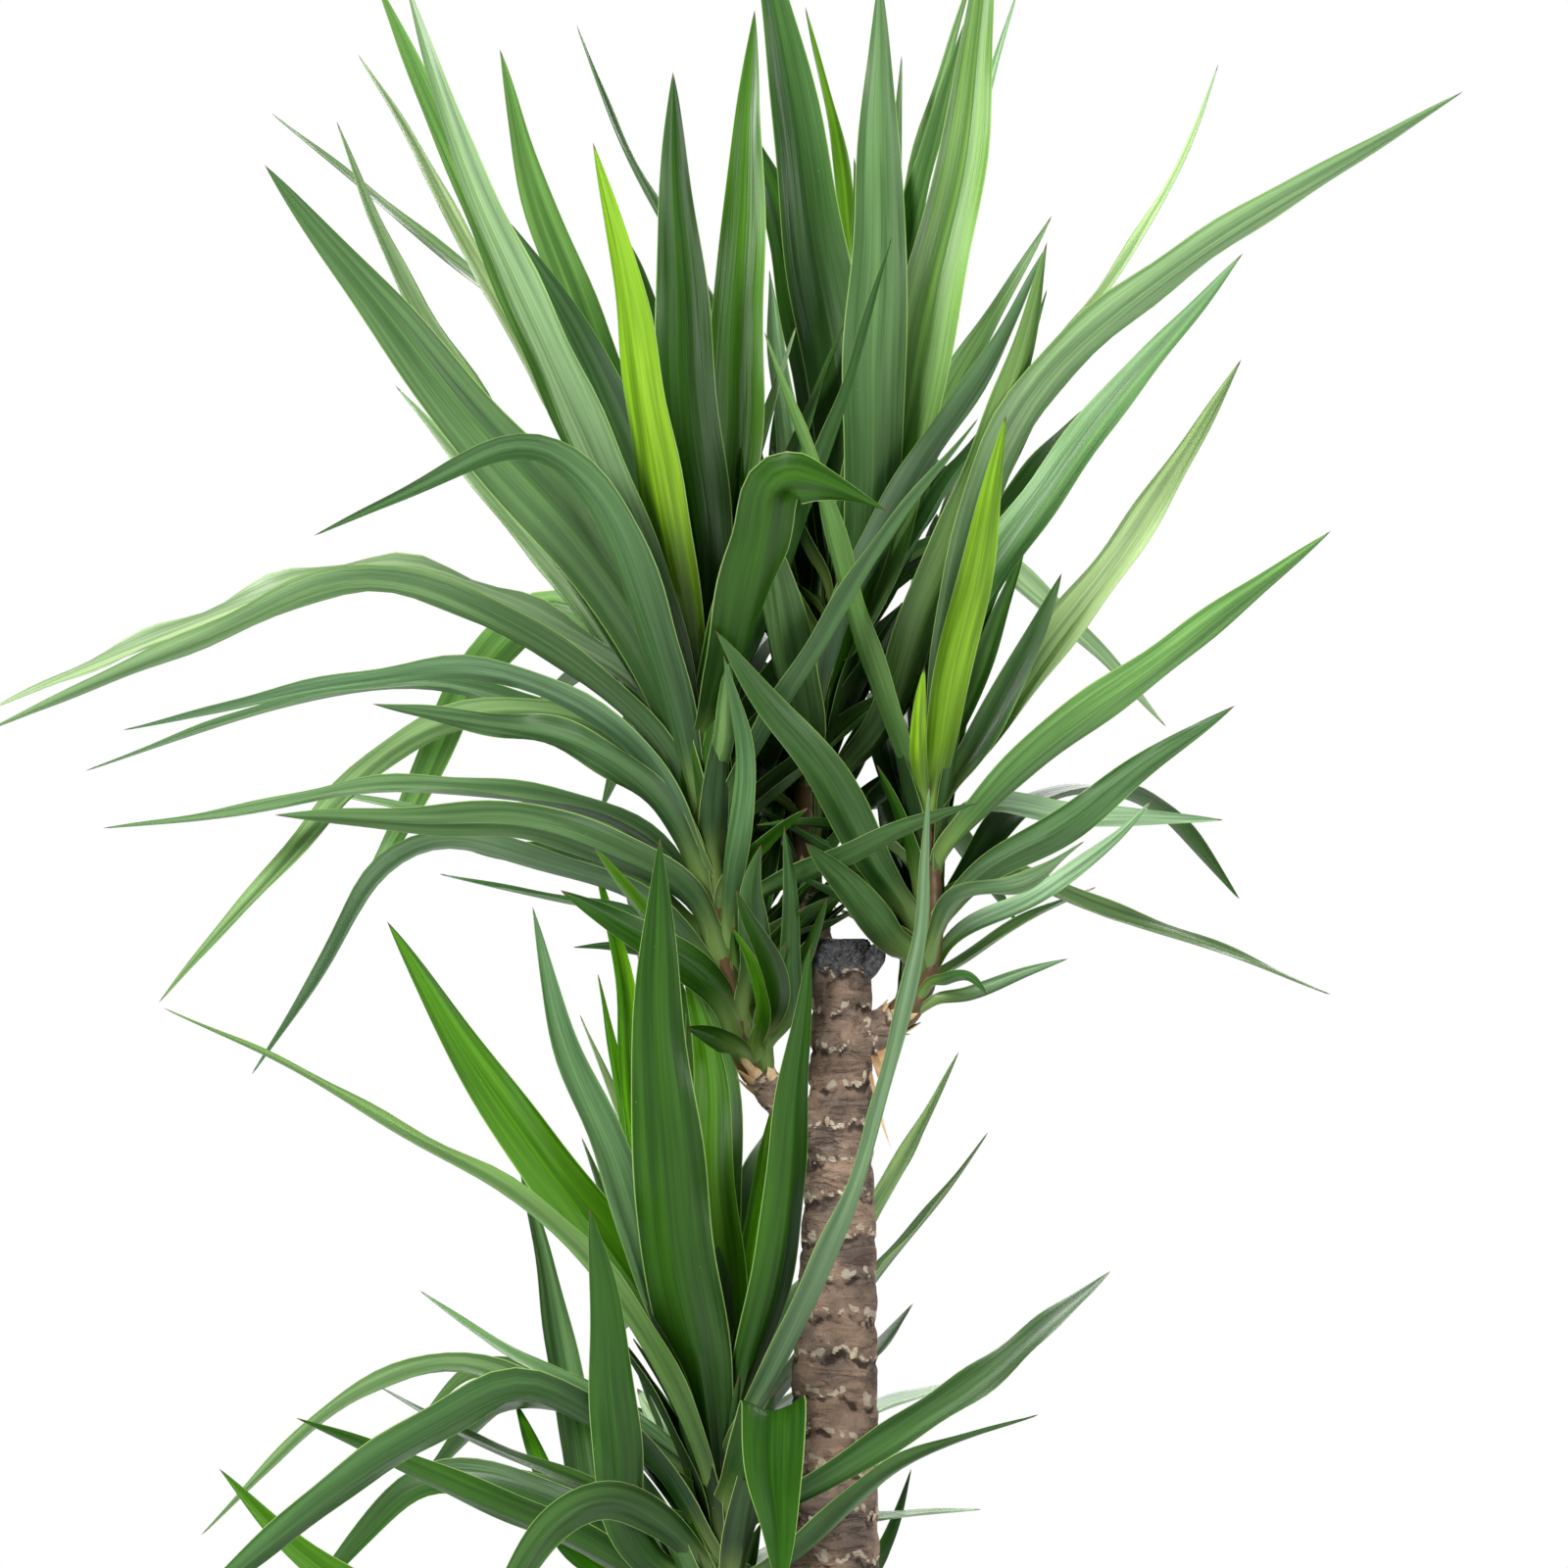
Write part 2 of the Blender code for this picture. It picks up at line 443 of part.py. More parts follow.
def hidden_blade(crown, number, turn=0.0, lift=0.0):
    """One of the leaves that fill a shoot's hidden side, turned or lifted by an angle."""
    low, high = crown.stem[0][2], crown.stem[-1][2]
    rise = (number + 0.5) / crown.hidden
    root = on_stem(crown.stem, low + (high - low) * (HIDDEN_LOW + (HIDDEN_HIGH - HIDDEN_LOW) * rise))
    swing = 2 * ((number * GOLDEN_SHARE) % 1.0) - 1
    bearing = math.pi / 2 + BACK_SPREAD * swing + turn
    elevation = LOW_ELEVATION + (HIGH_ELEVATION - LOW_ELEVATION) * rise + lift
    droop = LOW_DROOP + (HIGH_DROOP - LOW_DROOP) * rise
    outward = Vector((math.cos(bearing), math.sin(bearing), 0))
    knots = [root + outward * ROOT_SUNK]
    for third in range(3):
        angle = elevation - droop * third / 2
        reach = outward * math.cos(angle) + Vector((0, 0, math.sin(angle)))
        knots.append(knots[-1] + reach * crown.hidden_length / 3)
    return Blade(knots, FULL_WIDTH, level_facing(outward), HIDDEN_SEGMENTS, GREEN if number % 2 else DEEP)


def seen_options(leaf, stem):
    """The blades that a leaf of the front view may have, the likeliest first."""
    bends = sorted(((d, b) for d in DEPTH_STEPS for b in BOW_STEPS),
                   key=lambda bend: abs(bend[0]) / DEPTH_STEPS[1] + abs(bend[1]) / BOW_STEPS[1])
    return (seen_blade(leaf, stem, *bend) for bend in bends)


def hidden_options(crown, number):
    """The blades that one of a shoot's hidden leaves may have, the likeliest first."""
    turns = sorted(((turn, lift) for turn in TURN_STEPS for lift in LIFT_STEPS),
                   key=lambda both: abs(both[0]) + abs(both[1]))
    return (hidden_blade(crown, number, math.radians(turn), math.radians(lift)) for turn, lift in turns)


class Solid:
    """A closed surface with its box, to test others against."""

    def __init__(self, points, polygons):
        self.tree = BVHTree.FromPolygons(points, polygons)
        self.low = [min(p[axis] for p in points) for axis in range(3)]
        self.high = [max(p[axis] for p in points) for axis in range(3)]

    def meets(self, other):
        """Whether the two surfaces cut each other."""
        apart = any(self.low[a] > other.high[a] or other.low[a] > self.high[a] for a in range(3))
        return not apart and bool(self.tree.overlap(other.tree))


class Thicket:
    """The blades chosen so far, and what they and the next ones stay clear of."""

    def __init__(self, crowns, standing):
        self.standing = standing
        self.stems = {crown.name: Solid(*tube(green_axis(crown), STEM_SIDES)) for crown in crowns}
        self.blades = {crown.name: [] for crown in crowns}
        self.whole = {crown.name: [] for crown in crowns}
        self.outer = {crown.name: [] for crown in crowns}
        self.front = None

    def is_clear(self, blade, name):
        """Whether a blade of one crown is clear of the other crowns and of what stands."""
        wide = Solid(*blade.surface(extra_width=CLEAR_WIDTH, extra_thickness=CLEAR_THICKNESS))
        others = [other for other in self.stems if other != name]
        near = [*self.standing, *(self.stems[other] for other in others)]
        near += [solid for other in others for solid in self.whole[other]]
        return not any(wide.meets(solid) for solid in near)

    def crossings(self, blade, name):
        """How many leaves of its own crown a blade crosses beyond the crowded roots."""
        outer = Solid(*blade.surface(first=OWN_ROOT_SHARE, extra_width=1, extra_thickness=1))
        return sum(outer.meets(solid) for solid in self.outer[name])

    def least_crossed(self, blades, name):
        """The first of the blades that crosses none of its own crown, or the fewest."""
        best, fewest = None, math.inf
        for blade in blades:
            count = self.crossings(blade, name)
            if count < fewest:
                best, fewest = blade, count
            if count == 0:
                break
        return best

    def add(self, blade, name):
        """Keep a blade."""
        self.blades[name].append(blade)
        self.whole[name].append(Solid(*blade.surface()))
        self.outer[name].append(Solid(*blade.surface(first=OWN_ROOT_SHARE)))

    def close_front(self):
        """Take the blades so far as the screen that hides the leaves behind it."""
        points, triangles = [], []
        for blade in (blade for blades in self.blades.values() for blade in blades):
            own_points, own_triangles = blade.surface()
            triangles += [tuple(k + len(points) for k in triangle) for triangle in own_triangles]
            points += own_points
        self.front = BVHTree.FromPolygons(points, triangles)

    def cover(self, blade):
        """The share of a blade that the front view can't see."""
        eye = Vector((0, -EYE_DISTANCE, EYE_HEIGHT))
        hidden = 0
        for k in range(1, COVER_SAMPLES + 1):
            sight = blade.curve.point(k / COVER_SAMPLES) - eye
            hit = self.front.ray_cast(eye, sight.normalized(), sight.length - COVER_MARGIN)
            hidden += hit[0] is not None
        return hidden / COVER_SAMPLES


def settle(crowns, standing):
    """Choose each leaf's blade so that it is clear of the other crowns and of what stands.

    A blade crosses as few leaves of its own crown as it can, and is fused into those. The
    leaves of the hidden side come last, and take the place that shows least from the front.
    """
    thicket = Thicket(crowns, standing)
    for crown in crowns:
        for leaf in crown.leaves:
            clear = (b for b in seen_options(leaf, crown.stem) if thicket.is_clear(b, crown.name))
            thicket.add(thicket.least_crossed(clear, crown.name), crown.name)
    thicket.close_front()
    for crown in crowns:
        for number in range(crown.hidden):
            clear = [b for b in hidden_options(crown, number) if thicket.is_clear(b, crown.name)]
            worth = [thicket.cover(b) - CROSSING_COST * thicket.crossings(b, crown.name) for b in clear]
            if clear:
                thicket.add(clear[worth.index(max(worth))], crown.name)
    return thicket.blades


def tube(axis, sides, radius_at=None):
    """A closed tube of round sections, as points and polygons, along (x, y, z, radius) rows."""
    points, polygons = [], []
    centres = [Vector(row[:3]) for row in axis]
    for i, (centre, row) in enumerate(zip(centres, axis)):
        along = (centres[min(i + 1, len(centres) - 1)] - centres[max(i - 1, 0)]).normalized()
        side = along.cross(Vector((0, 1, 0))).normalized()
        front = side.cross(along)
        for k in range(sides):
            angle = 2 * math.pi * k / sides
            radius = radius_at(row[3], angle, row[2]) if radius_at else row[3]
            points.append(centre + (side * math.cos(angle) + front * math.sin(angle)) * radius)
    for i in range(len(axis) - 1):
        for k in range(sides):
            a, b = i * sides + k, i * sides + (k + 1) % sides
            polygons.append((a, b, b + sides, a + sides))
    polygons.append(tuple(reversed(range(sides))))
    polygons.append(tuple(range((len(axis) - 1) * sides, len(axis) * sides)))
    return points, polygons


def mesh_object(name, points, polygons, materials, tones=None):
    """An object from points in millimetres, with its faces turned to point out."""
    mesh = bpy.data.meshes.new(name)
    bm = bmesh.new()
    corners = [bm.verts.new(Vector(point) * MM) for point in points]
    for number, polygon in enumerate(polygons):
        face = bm.faces.new([corners[k] for k in polygon])
        face.material_index = tones[number] if tones else 0
    bmesh.ops.recalc_face_normals(bm, faces=bm.faces)
    bm.to_mesh(mesh)
    bm.free()
    for material in materials:
        mesh.materials.append(material)
    thing = bpy.data.objects.new(name, mesh)
    bpy.context.scene.collection.objects.link(thing)
    return thing


def turned(name, profile, centre, sides, material):
    """An object turned about an upright axis from a (radius, height) profile.

    The profile closes on itself, or begins and ends on the axis.
    """
    bm = bmesh.new()
    corners = [bm.verts.new(Vector((centre[0] + r, centre[1], z)) * MM) for r, z in profile]
    steps = list(zip(corners, corners[1:] + corners[:1]))
    if profile[0][0] == 0:
        steps.pop()
    edges = [bm.edges.new(step) for step in steps]
    axis_point = Vector((centre[0], centre[1], 0)) * MM
    bmesh.ops.spin(bm, geom=corners + edges, cent=axis_point, axis=(0, 0, 1),
                   angle=2 * math.pi, steps=sides, use_merge=True)
    bmesh.ops.remove_doubles(bm, verts=bm.verts, dist=0.01 * MM)
    bmesh.ops.recalc_face_normals(bm, faces=bm.faces)
    mesh = bpy.data.meshes.new(name)
    bm.to_mesh(mesh)
    bm.free()
    mesh.shade_smooth()
    mesh.set_sharp_from_angle(angle=math.radians(35))
    mesh.materials.append(material)
    thing = bpy.data.objects.new(name, mesh)
    bpy.context.scene.collection.objects.link(thing)
    return thing


def finish(name, colour, roughness, coat=0.0):
    """A Principled material with a plain colour."""
    material = bpy.data.materials.new(name)
    material.use_nodes = True
    shader = material.node_tree.nodes["Principled BSDF"]
    shader.inputs["Base Color"].default_value = (*colour, 1.0)
    shader.inputs["Roughness"].default_value = roughness
    shader.inputs["Metallic"].default_value = 0.0
    shader.inputs["Coat Weight"].default_value = coat
    return material


def join(body, pieces, operation):
    """Join pieces to a body, or cut them from it, by one Boolean, and drop the pieces."""
    group = bpy.data.collections.new(body.name + "_pieces")
    bpy.context.scene.collection.children.link(group)
    for piece in pieces:
        bpy.context.scene.collection.objects.unlink(piece)
        group.objects.link(piece)
        piece.hide_render = True
        piece.display_type = "WIRE"
    boolean = body.modifiers.new("join", "BOOLEAN")
    boolean.operation = operation
    boolean.operand_type = "COLLECTION"
    boolean.collection = group
    boolean.solver = "EXACT"
    boolean.use_self = True
    graph = bpy.context.evaluated_depsgraph_get()
    result = bpy.data.meshes.new_from_object(body.evaluated_get(graph))
    body.modifiers.remove(boolean)
    body.data = result
    for piece in pieces:
        bpy.data.objects.remove(piece)
    bpy.data.collections.remove(group)
    keep_main_body(result)


def keep_main_body(mesh):
    """Drop what a join leaves beside the main body: a loose scrap, or the wall of a sealed pocket."""
    bm = bmesh.new()
    bm.from_mesh(mesh)
    left = set(bm.verts)
    bodies = []
    while left:
        body, edge_of = set(), [left.pop()]
        while edge_of:
            vertex = edge_of.pop()
            body.add(vertex)
            near = {edge.other_vert(vertex) for edge in vertex.link_edges} & left
            left -= near
            edge_of += near
        bodies.append(body)
    main = max(bodies, key=len)
    bmesh.ops.delete(bm, geom=[v for v in bm.verts if v not in main], context="VERTS")
    bm.to_mesh(mesh)
    bm.free()


def green_axis(crown):
    """The rows of a green stem, which begins square on the end of its woody base."""
    before, end = Vector(crown.wood[-2][:3]), Vector(crown.wood[-1][:3])
    along = (end - before).normalized()
    radius = crown.stem[0][3]
    return [(*(end + along * GAP), radius), (*(end + along * SQUARE_LENGTH), radius), *crown.stem[1:]]


def cane_axis(axis, shoulder):
    """The rows of a cane: a row at each half scar, and a narrower tip inside the wax."""
    rows = [axis[0], (*axis[1][:2], SOIL_TOP + SOIL_MOUND, axis[1][3])]
    height = SOIL_TOP + SOIL_MOUND + SCAR_SPACING / 2
    while height < shoulder - SCAR_SPACING / 4:
        low, high = next((a, b) for a, b in zip(axis, axis[1:]) if a[2] <= height <= b[2])
        share = (height - low[2]) / (high[2] - low[2])
        rows.append(tuple(a + (b - a) * share for a, b in zip(low, high)))
        height += SCAR_SPACING / 2
    x, y, top, radius = axis[-1]
    tip = radius - WAX_WALL - GAP
    return [*rows, (x, y, shoulder, radius), (x, y, shoulder, tip), (x, y, top - WAX_WALL - GAP, tip)]


def bark(shoulder):
    """The radius of a cane's bark: soft lobes and raised leaf scars, smooth near both ends."""

    def radius_at(radius, angle, height):
        """The radius of the bark at an angle and a height, from the cane's own radius."""
        fade = min(1.0, max(0.0, (height - SOIL_TOP - SOIL_MOUND) / BARK_FADE))
        fade *= min(1.0, max(0.0, (shoulder - height) / BARK_FADE))
        lobes = BARK_LOBE * radius * math.sin(3 * angle + height / LOBE_TWIST)
        scar = SCAR_PROUD * math.cos(2 * math.pi * height / SCAR_SPACING)
        return radius + (lobes + scar) * fade

    return radius_at


def build_cane(name, axis, branches, bark_finish, wax_finish):
    """A cane with the woody bases that grew from it, and the wax on its sawn top."""
    x, y, top, radius = axis[-1]
    shoulder = top - WAX_HEIGHT
    points, polygons = tube(cane_axis(axis, shoulder), CANE_SIDES, bark(shoulder))
    cane = mesh_object(name, points, polygons, [bark_finish])
    stubs = [mesh_object(name + "_branch", *tube(rows, STEM_SIDES + 2), [bark_finish]) for rows in branches]
    join(cane, stubs, "UNION")
    brim, inside = radius + WAX_PROUD, radius - WAX_WALL
    turned(name + "_wax", (
        (0, top - WAX_WALL), (inside, top - WAX_WALL), (inside, shoulder + GAP), (brim, shoulder + GAP),
        (brim + WAX_PROUD, shoulder + 5), (brim, top - 2), (inside, top), (0, top),
    ), (x, y), WAX_SIDES, wax_finish)


def pot_radius(height):
    """The outer radius of the pot's wall at a height."""
    return POT_FOOT_RADIUS + (POT_TOP_RADIUS - POT_FOOT_RADIUS) * height / POT_HEIGHT


def build_pot(pot_finish):
    """The nursery pot: a flat foot, a leaning wall, a rim band and drain holes off its middle."""
    band = POT_HEIGHT - POT_RIM_HEIGHT
    brim = POT_TOP_RADIUS + POT_RIM_PROUD
    floor = POT_FLOOR
    pot = turned("pot", (
        (0, 0), (POT_FOOT_RADIUS - 2, 0), (POT_FOOT_RADIUS, 2), (pot_radius(band), band),
        (brim - 1, band), (brim, band + 1), (brim, POT_HEIGHT - 1), (brim - 1, POT_HEIGHT),
        (pot_radius(POT_HEIGHT) - POT_WALL, POT_HEIGHT), (pot_radius(floor) - POT_WALL, floor), (0, floor),
    ), (0, 0), POT_SIDES, pot_finish)
    drills = []
    for k in range(DRAIN_COUNT):
        angle = 2 * math.pi * k / DRAIN_COUNT
        x, y = DRAIN_CIRCLE * math.cos(angle), DRAIN_CIRCLE * math.sin(angle)
        rows = ((x, y, -5, DRAIN_RADIUS), (x, y, floor + 5, DRAIN_RADIUS))
        drills.append(mesh_object("drill", *tube(rows, DRAIN_SIDES), [pot_finish]))
    join(pot, drills, "DIFFERENCE")


def build_soil(soil_finish):
    """The soil: it fills the pot, with a low uneven mound and a plain hole for each cane."""
    floor = POT_FLOOR + GAP
    wall = [(pot_radius(z) - POT_WALL - GAP, z) for z in (floor, SOIL_TOP)]
    brim = wall[1][0]
    mound = [(brim * (1 - k / MOUND_RINGS), SOIL_TOP + SOIL_MOUND * math.sin(0.5 * math.pi * k / MOUND_RINGS))
             for k in range(1, MOUND_RINGS + 1)]
    soil = turned("soil", ((0, floor), *wall, *mound), (0, 0), POT_SIDES, soil_finish)
    for vertex in soil.data.vertices:
        spot = vertex.co / MM
        if spot.z > SOIL_TOP + LUMP_HEIGHT / 2:
            lump = math.sin(spot.x / LUMP_SIZE) * math.cos(spot.y / LUMP_SIZE + spot.x / 40)
            vertex.co.z += LUMP_HEIGHT * lump * MM
    cutters = []
    for x, y, foot, radius in (TALL_CANE[0], SHORT_CANE[0]):
        hole = ((x, y, foot - GAP, radius + HOLE_PLAY), (x, y, POT_HEIGHT + 10, radius + HOLE_PLAY))
        cutters.append(mesh_object("hole", *tube(hole, HOLE_SIDES), [soil_finish]))
    join(soil, cutters, "DIFFERENCE")


def build_crown(crown, blades, leaf_finishes):
    """A shoot: its green stem, with every leaf fused to it."""
    stem_points, stem_faces = tube(green_axis(crown), STEM_SIDES)
    tones = [YOUNG] * len(stem_faces)
    stem = mesh_object(crown.name, stem_points, stem_faces, leaf_finishes, tones)
    leaves = []
    for blade in blades:
        points, triangles = blade.surface()
        tones = [blade.tone] * len(triangles)
        leaves.append(mesh_object(crown.name + "_leaf", points, triangles, leaf_finishes, tones))
    join(stem, leaves, "UNION")


def main():
    """Clear the scene and build the plant and its pot."""
    for thing in list(bpy.data.objects):
        bpy.data.objects.remove(thing)
    bark_finish = finish("bark", (0.19, 0.14, 0.10), 0.85)
    wax_finish = finish("wax", (0.035, 0.035, 0.038), 0.45)
    leaf_finishes = [finish(f"leaf_{name}", colour, 0.4, 0.2) for name, colour in TONES]
    build_pot(finish("pot_plastic", (0.02, 0.02, 0.022), 0.5))
    build_soil(finish("soil", (0.035, 0.022, 0.015), 0.95))
    tall_branches = (LEFT_WOOD, RIGHT_WOOD, BACK_WOOD)
    build_cane("tall_cane", TALL_CANE, tall_branches, bark_finish, wax_finish)
    build_cane("short_cane", SHORT_CANE, (LOW_WOOD,), bark_finish, wax_finish)
    thick = [[(x, y, z, radius + BARK_CLEAR) for x, y, z, radius in cane] for cane in (TALL_CANE, SHORT_CANE)]
    wood = [*tall_branches, LOW_WOOD]
    rim = ((0, 0, 0, POT_TOP_RADIUS + POT_RIM_PROUD), (0, 0, POT_HEIGHT, POT_TOP_RADIUS + POT_RIM_PROUD))
    standing = [Solid(*tube(rows, CANE_SIDES)) for rows in (*thick, *wood, rim)]
    blades = settle(CROWNS, standing)
    for crown in CROWNS:
        build_crown(crown, blades[crown.name], leaf_finishes)


if __name__ == "__main__":
    main()
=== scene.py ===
"""Dresses the potted cane yucca: fine leaves, stems, bark, wax, pot and soil over its plain solids.

Lengths are millimetres until a mesh is written, in metres. The origin is the middle of the pot's
underside, Z is up, and the plant's front looks along -Y. Each leaf's place is worked out here as
the solids' was, from the same rows, so that every fine leaf lies where its plain one does.
"""

import logging
import math
import random
from collections.abc import Callable, Iterator, Sequence
from dataclasses import dataclass
from enum import Enum
from typing import Any

import bmesh
import bpy
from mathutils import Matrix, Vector, noise
from mathutils.bvhtree import BVHTree

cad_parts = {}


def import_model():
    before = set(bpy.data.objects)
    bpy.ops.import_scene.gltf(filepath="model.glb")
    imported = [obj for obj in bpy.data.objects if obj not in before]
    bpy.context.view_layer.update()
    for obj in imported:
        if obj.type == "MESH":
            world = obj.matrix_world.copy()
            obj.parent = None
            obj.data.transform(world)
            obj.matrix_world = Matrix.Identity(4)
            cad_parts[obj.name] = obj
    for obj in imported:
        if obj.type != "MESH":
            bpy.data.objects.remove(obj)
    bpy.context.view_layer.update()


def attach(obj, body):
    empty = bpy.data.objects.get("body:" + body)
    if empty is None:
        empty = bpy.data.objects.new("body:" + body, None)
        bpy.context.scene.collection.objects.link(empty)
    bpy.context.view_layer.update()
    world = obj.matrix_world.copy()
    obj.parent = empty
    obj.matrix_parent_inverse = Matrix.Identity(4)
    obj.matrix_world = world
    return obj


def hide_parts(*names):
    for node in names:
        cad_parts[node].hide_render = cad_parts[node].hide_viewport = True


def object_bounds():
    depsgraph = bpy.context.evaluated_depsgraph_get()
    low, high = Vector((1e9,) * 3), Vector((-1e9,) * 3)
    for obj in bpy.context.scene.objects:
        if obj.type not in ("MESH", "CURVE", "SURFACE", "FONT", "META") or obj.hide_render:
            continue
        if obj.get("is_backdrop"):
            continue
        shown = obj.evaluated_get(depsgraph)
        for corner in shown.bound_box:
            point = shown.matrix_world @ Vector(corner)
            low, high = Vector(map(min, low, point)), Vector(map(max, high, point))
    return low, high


LOG = logging.getLogger("potted_yucca")

Colour = tuple[float, float, float]
Row = tuple[float, float, float, float]
Socket = bpy.types.NodeSocket
Value = Socket | float | tuple[float, ...]
Facing = Callable[[Vector, float], tuple[Vector, Vector]]
Polygons = list[tuple[int, ...]]

MM = 0.001
GAP = 0.3

# The camera stands where the leaves' courses were read from, and sees 0.96 m at the plant.
EYE_DISTANCE = 6000.0
EYE_HEIGHT = 1096.0
LENS_WIDTH = 36.0
VIEW_WIDTH = 960.0

POT_HEIGHT = 220.0
POT_TOP_RADIUS = 126.0
POT_FOOT_RADIUS = 96.0
POT_WALL = 2.2
POT_FLOOR = 3.0
POT_RIM_HEIGHT = 26.0
POT_RIM_PROUD = 4.0
DRAIN_RADIUS = 6.0
DRAIN_CIRCLE = 62.0
DRAIN_COUNT = 6

SOIL_TOP = 200.0
SOIL_MOUND = 5.0
HOLE_PLAY = 0.7

CANE_SIDES = 12
STEM_SIDES = 7

WAX_HEIGHT = 17.0
WAX_WALL = 1.6
WAX_PROUD = 0.4

# Heights and radii of a cane, and its axis: (x, y, z, radius) from the foot to the sawn top.
TALL_CANE = (
    (31, 15, 100, 29.5), (31, 15, 215, 29.5), (31, 15, 420, 28.5), (31, 15, 616, 27.5),
    (32, 15, 735, 26), (33.5, 15, 806, 23), (34, 15, 868, 20), (34.5, 15, 930, 18.8),
    (35, 15, 970, 18.2), (35, 15, 1001, 18.0),
)
SHORT_CANE = (
    (-58, -18, 100, 24), (-58, -18, 215, 24), (-57, -18, 350, 22.5), (-56, -18, 470, 20.5),
    (-56, -18, 525, 19.5), (-56, -18, 551, 19.2),
)
SCAR_SPACING = 24.0
BARK_LOBE = 0.035
BARK_FADE = 30.0
BARK_CLEAR = 2.5
LOBE_TWIST = 90.0
SQUARE_LENGTH = 5.0

# A branch is woody where it leaves its cane, and green above: (x, y, z, radius) along its axis.
LEFT_WOOD = ((30, 12, 872, 10), (12, 4, 890, 10.5), (-4, -2, 904, 10.5), (-15, -4, 918, 10))
LEFT_GREEN = (
    (-15, -4, 918, 10), (-25, -6, 945, 10.5), (-35, -8, 985, 10.5), (-43, -10, 1025, 10),
    (-50, -12, 1065, 9.5), (-52, -12, 1110, 8.5), (-51, -12, 1150, 6),
)
RIGHT_WOOD = ((36, 15, 930, 11), (54, 10, 942, 12.5), (69, 9, 953, 11))
RIGHT_GREEN = (
    (69, 9, 953, 10), (80, 11, 966, 10), (87, 13, 990, 9.5), (89, 15, 1020, 9), (88, 16, 1055, 8.5),
    (88, 17, 1090, 8), (91, 17, 1130, 5.5),
)
BACK_WOOD = ((34, 20, 925, 9), (31, 36, 955, 9), (22, 44, 995, 8.5), (14, 46, 1040, 8.5))
BACK_GREEN = (
    (14, 46, 1040, 8.5), (14, 47, 1075, 9), (18, 48, 1115, 9), (25, 50, 1155, 8.5),
    (32, 52, 1195, 7), (36, 53, 1225, 5),
)
LOW_WOOD = ((-56, -18, 480, 9), (-44, -37, 500, 10), (-36, -46, 530, 10), (-35, -48, 562, 9.5))
LOW_GREEN = (
    (-35, -48, 562, 9.5), (-37, -46, 610, 11), (-37, -44, 660, 11), (-38, -42, 705, 9.5),
    (-40, -41, 748, 6),
)

# How a leaf grows: a full leaf's width, and where along it that width and its hollow lie.
FULL_WIDTH = 34.0
SLENDER = 0.085
WIDEST = 0.42
BASE_SHARE = 0.3
TAPER = 1.7
TAPER_ROUND = 0.85
RIB_THICKNESS = 1.7
TIP_THICKNESS = 1.2
CHANNEL = 0.07
ROOT_SUNK = 3.0

# Where a leaf would cross another, its tip's depth and its bow are tried in these steps.
DEPTH_STEPS = (0, 14, -14, 28, -28, 45, -45, 65, -65, 90, -90, 120, -120, 160, -160)
BOW_STEPS = (0, 9, -9, 18, -18, 30, -30, 45, -45, 65, -65)
CLEAR_THICKNESS = 3.4
CLEAR_WIDTH = 2.5
OWN_ROOT_SHARE = 0.1

# The hidden side of a shoot: leaves that follow each other by the golden section within a fan
# that opens to the back, from low and drooping ones to upright ones. Shares of the stem's height.
GOLDEN_SHARE = 0.618034
BACK_SPREAD = math.radians(62)
HIDDEN_LOW = 0.25
HIDDEN_HIGH = 0.98
LOW_ELEVATION = math.radians(38)
HIGH_ELEVATION = math.radians(74)
LOW_DROOP = math.radians(75)
HIGH_DROOP = math.radians(30)
HIDDEN_SEGMENTS = 5
TURN_STEPS = (0, 8, -8, 16, -16, 26, -26, 38, -38)
LIFT_STEPS = (0, 7, -7, 14, -14, 22, 30)
COVER_SAMPLES = 9
COVER_MARGIN = 5.0
CROSSING_COST = 0.1


class Tone(Enum):
    """The greens that a leaf may have, as linear colours of its blade in plain white light; some of them hold
    painted light or shade.
    """

    # Painted shade: the dark green of inner leaves, standing for the shadow of the leaves round them.
    SHADY = (0.018, 0.055, 0.010)
    DEEP = (0.023, 0.098, 0.002)
    GREEN = (0.047, 0.128, 0.023)
    MATT = (0.079, 0.173, 0.045)
    # Painted sheen: a lighter, greyer green for leaves that catch a grey sheen.
    SHEEN = (0.160, 0.272, 0.112)
    # A pale grey-green, partly painted light and sheen.
    PALE = (0.350, 0.455, 0.295)
    FRESH = (0.066, 0.212, 0.002)
    # Painted light: the brighter green of leaves that light shines through.
    LIT = (0.128, 0.256, 0.058)
    YOUNG = (0.185, 0.360, 0.012)


SHADY, DEEP, GREEN, MATT, SHEEN, PALE, FRESH, LIT, YOUNG = Tone


@dataclass(frozen=True)
class Leaf:
    """One leaf as the front view shows it, in millimetres.

    It has the height of its root on its stem, the width that it shows, how far its tip lies behind
    (+) or before (-) the root, and the course of its midrib. A level leaf folds over towards the
    viewer, and its width stays level all along.
    """

    root: float
    shown: float | tuple[float, ...]
    depth: float
    tone: Tone
    course: tuple[tuple[float, float], ...]
    level: bool = False


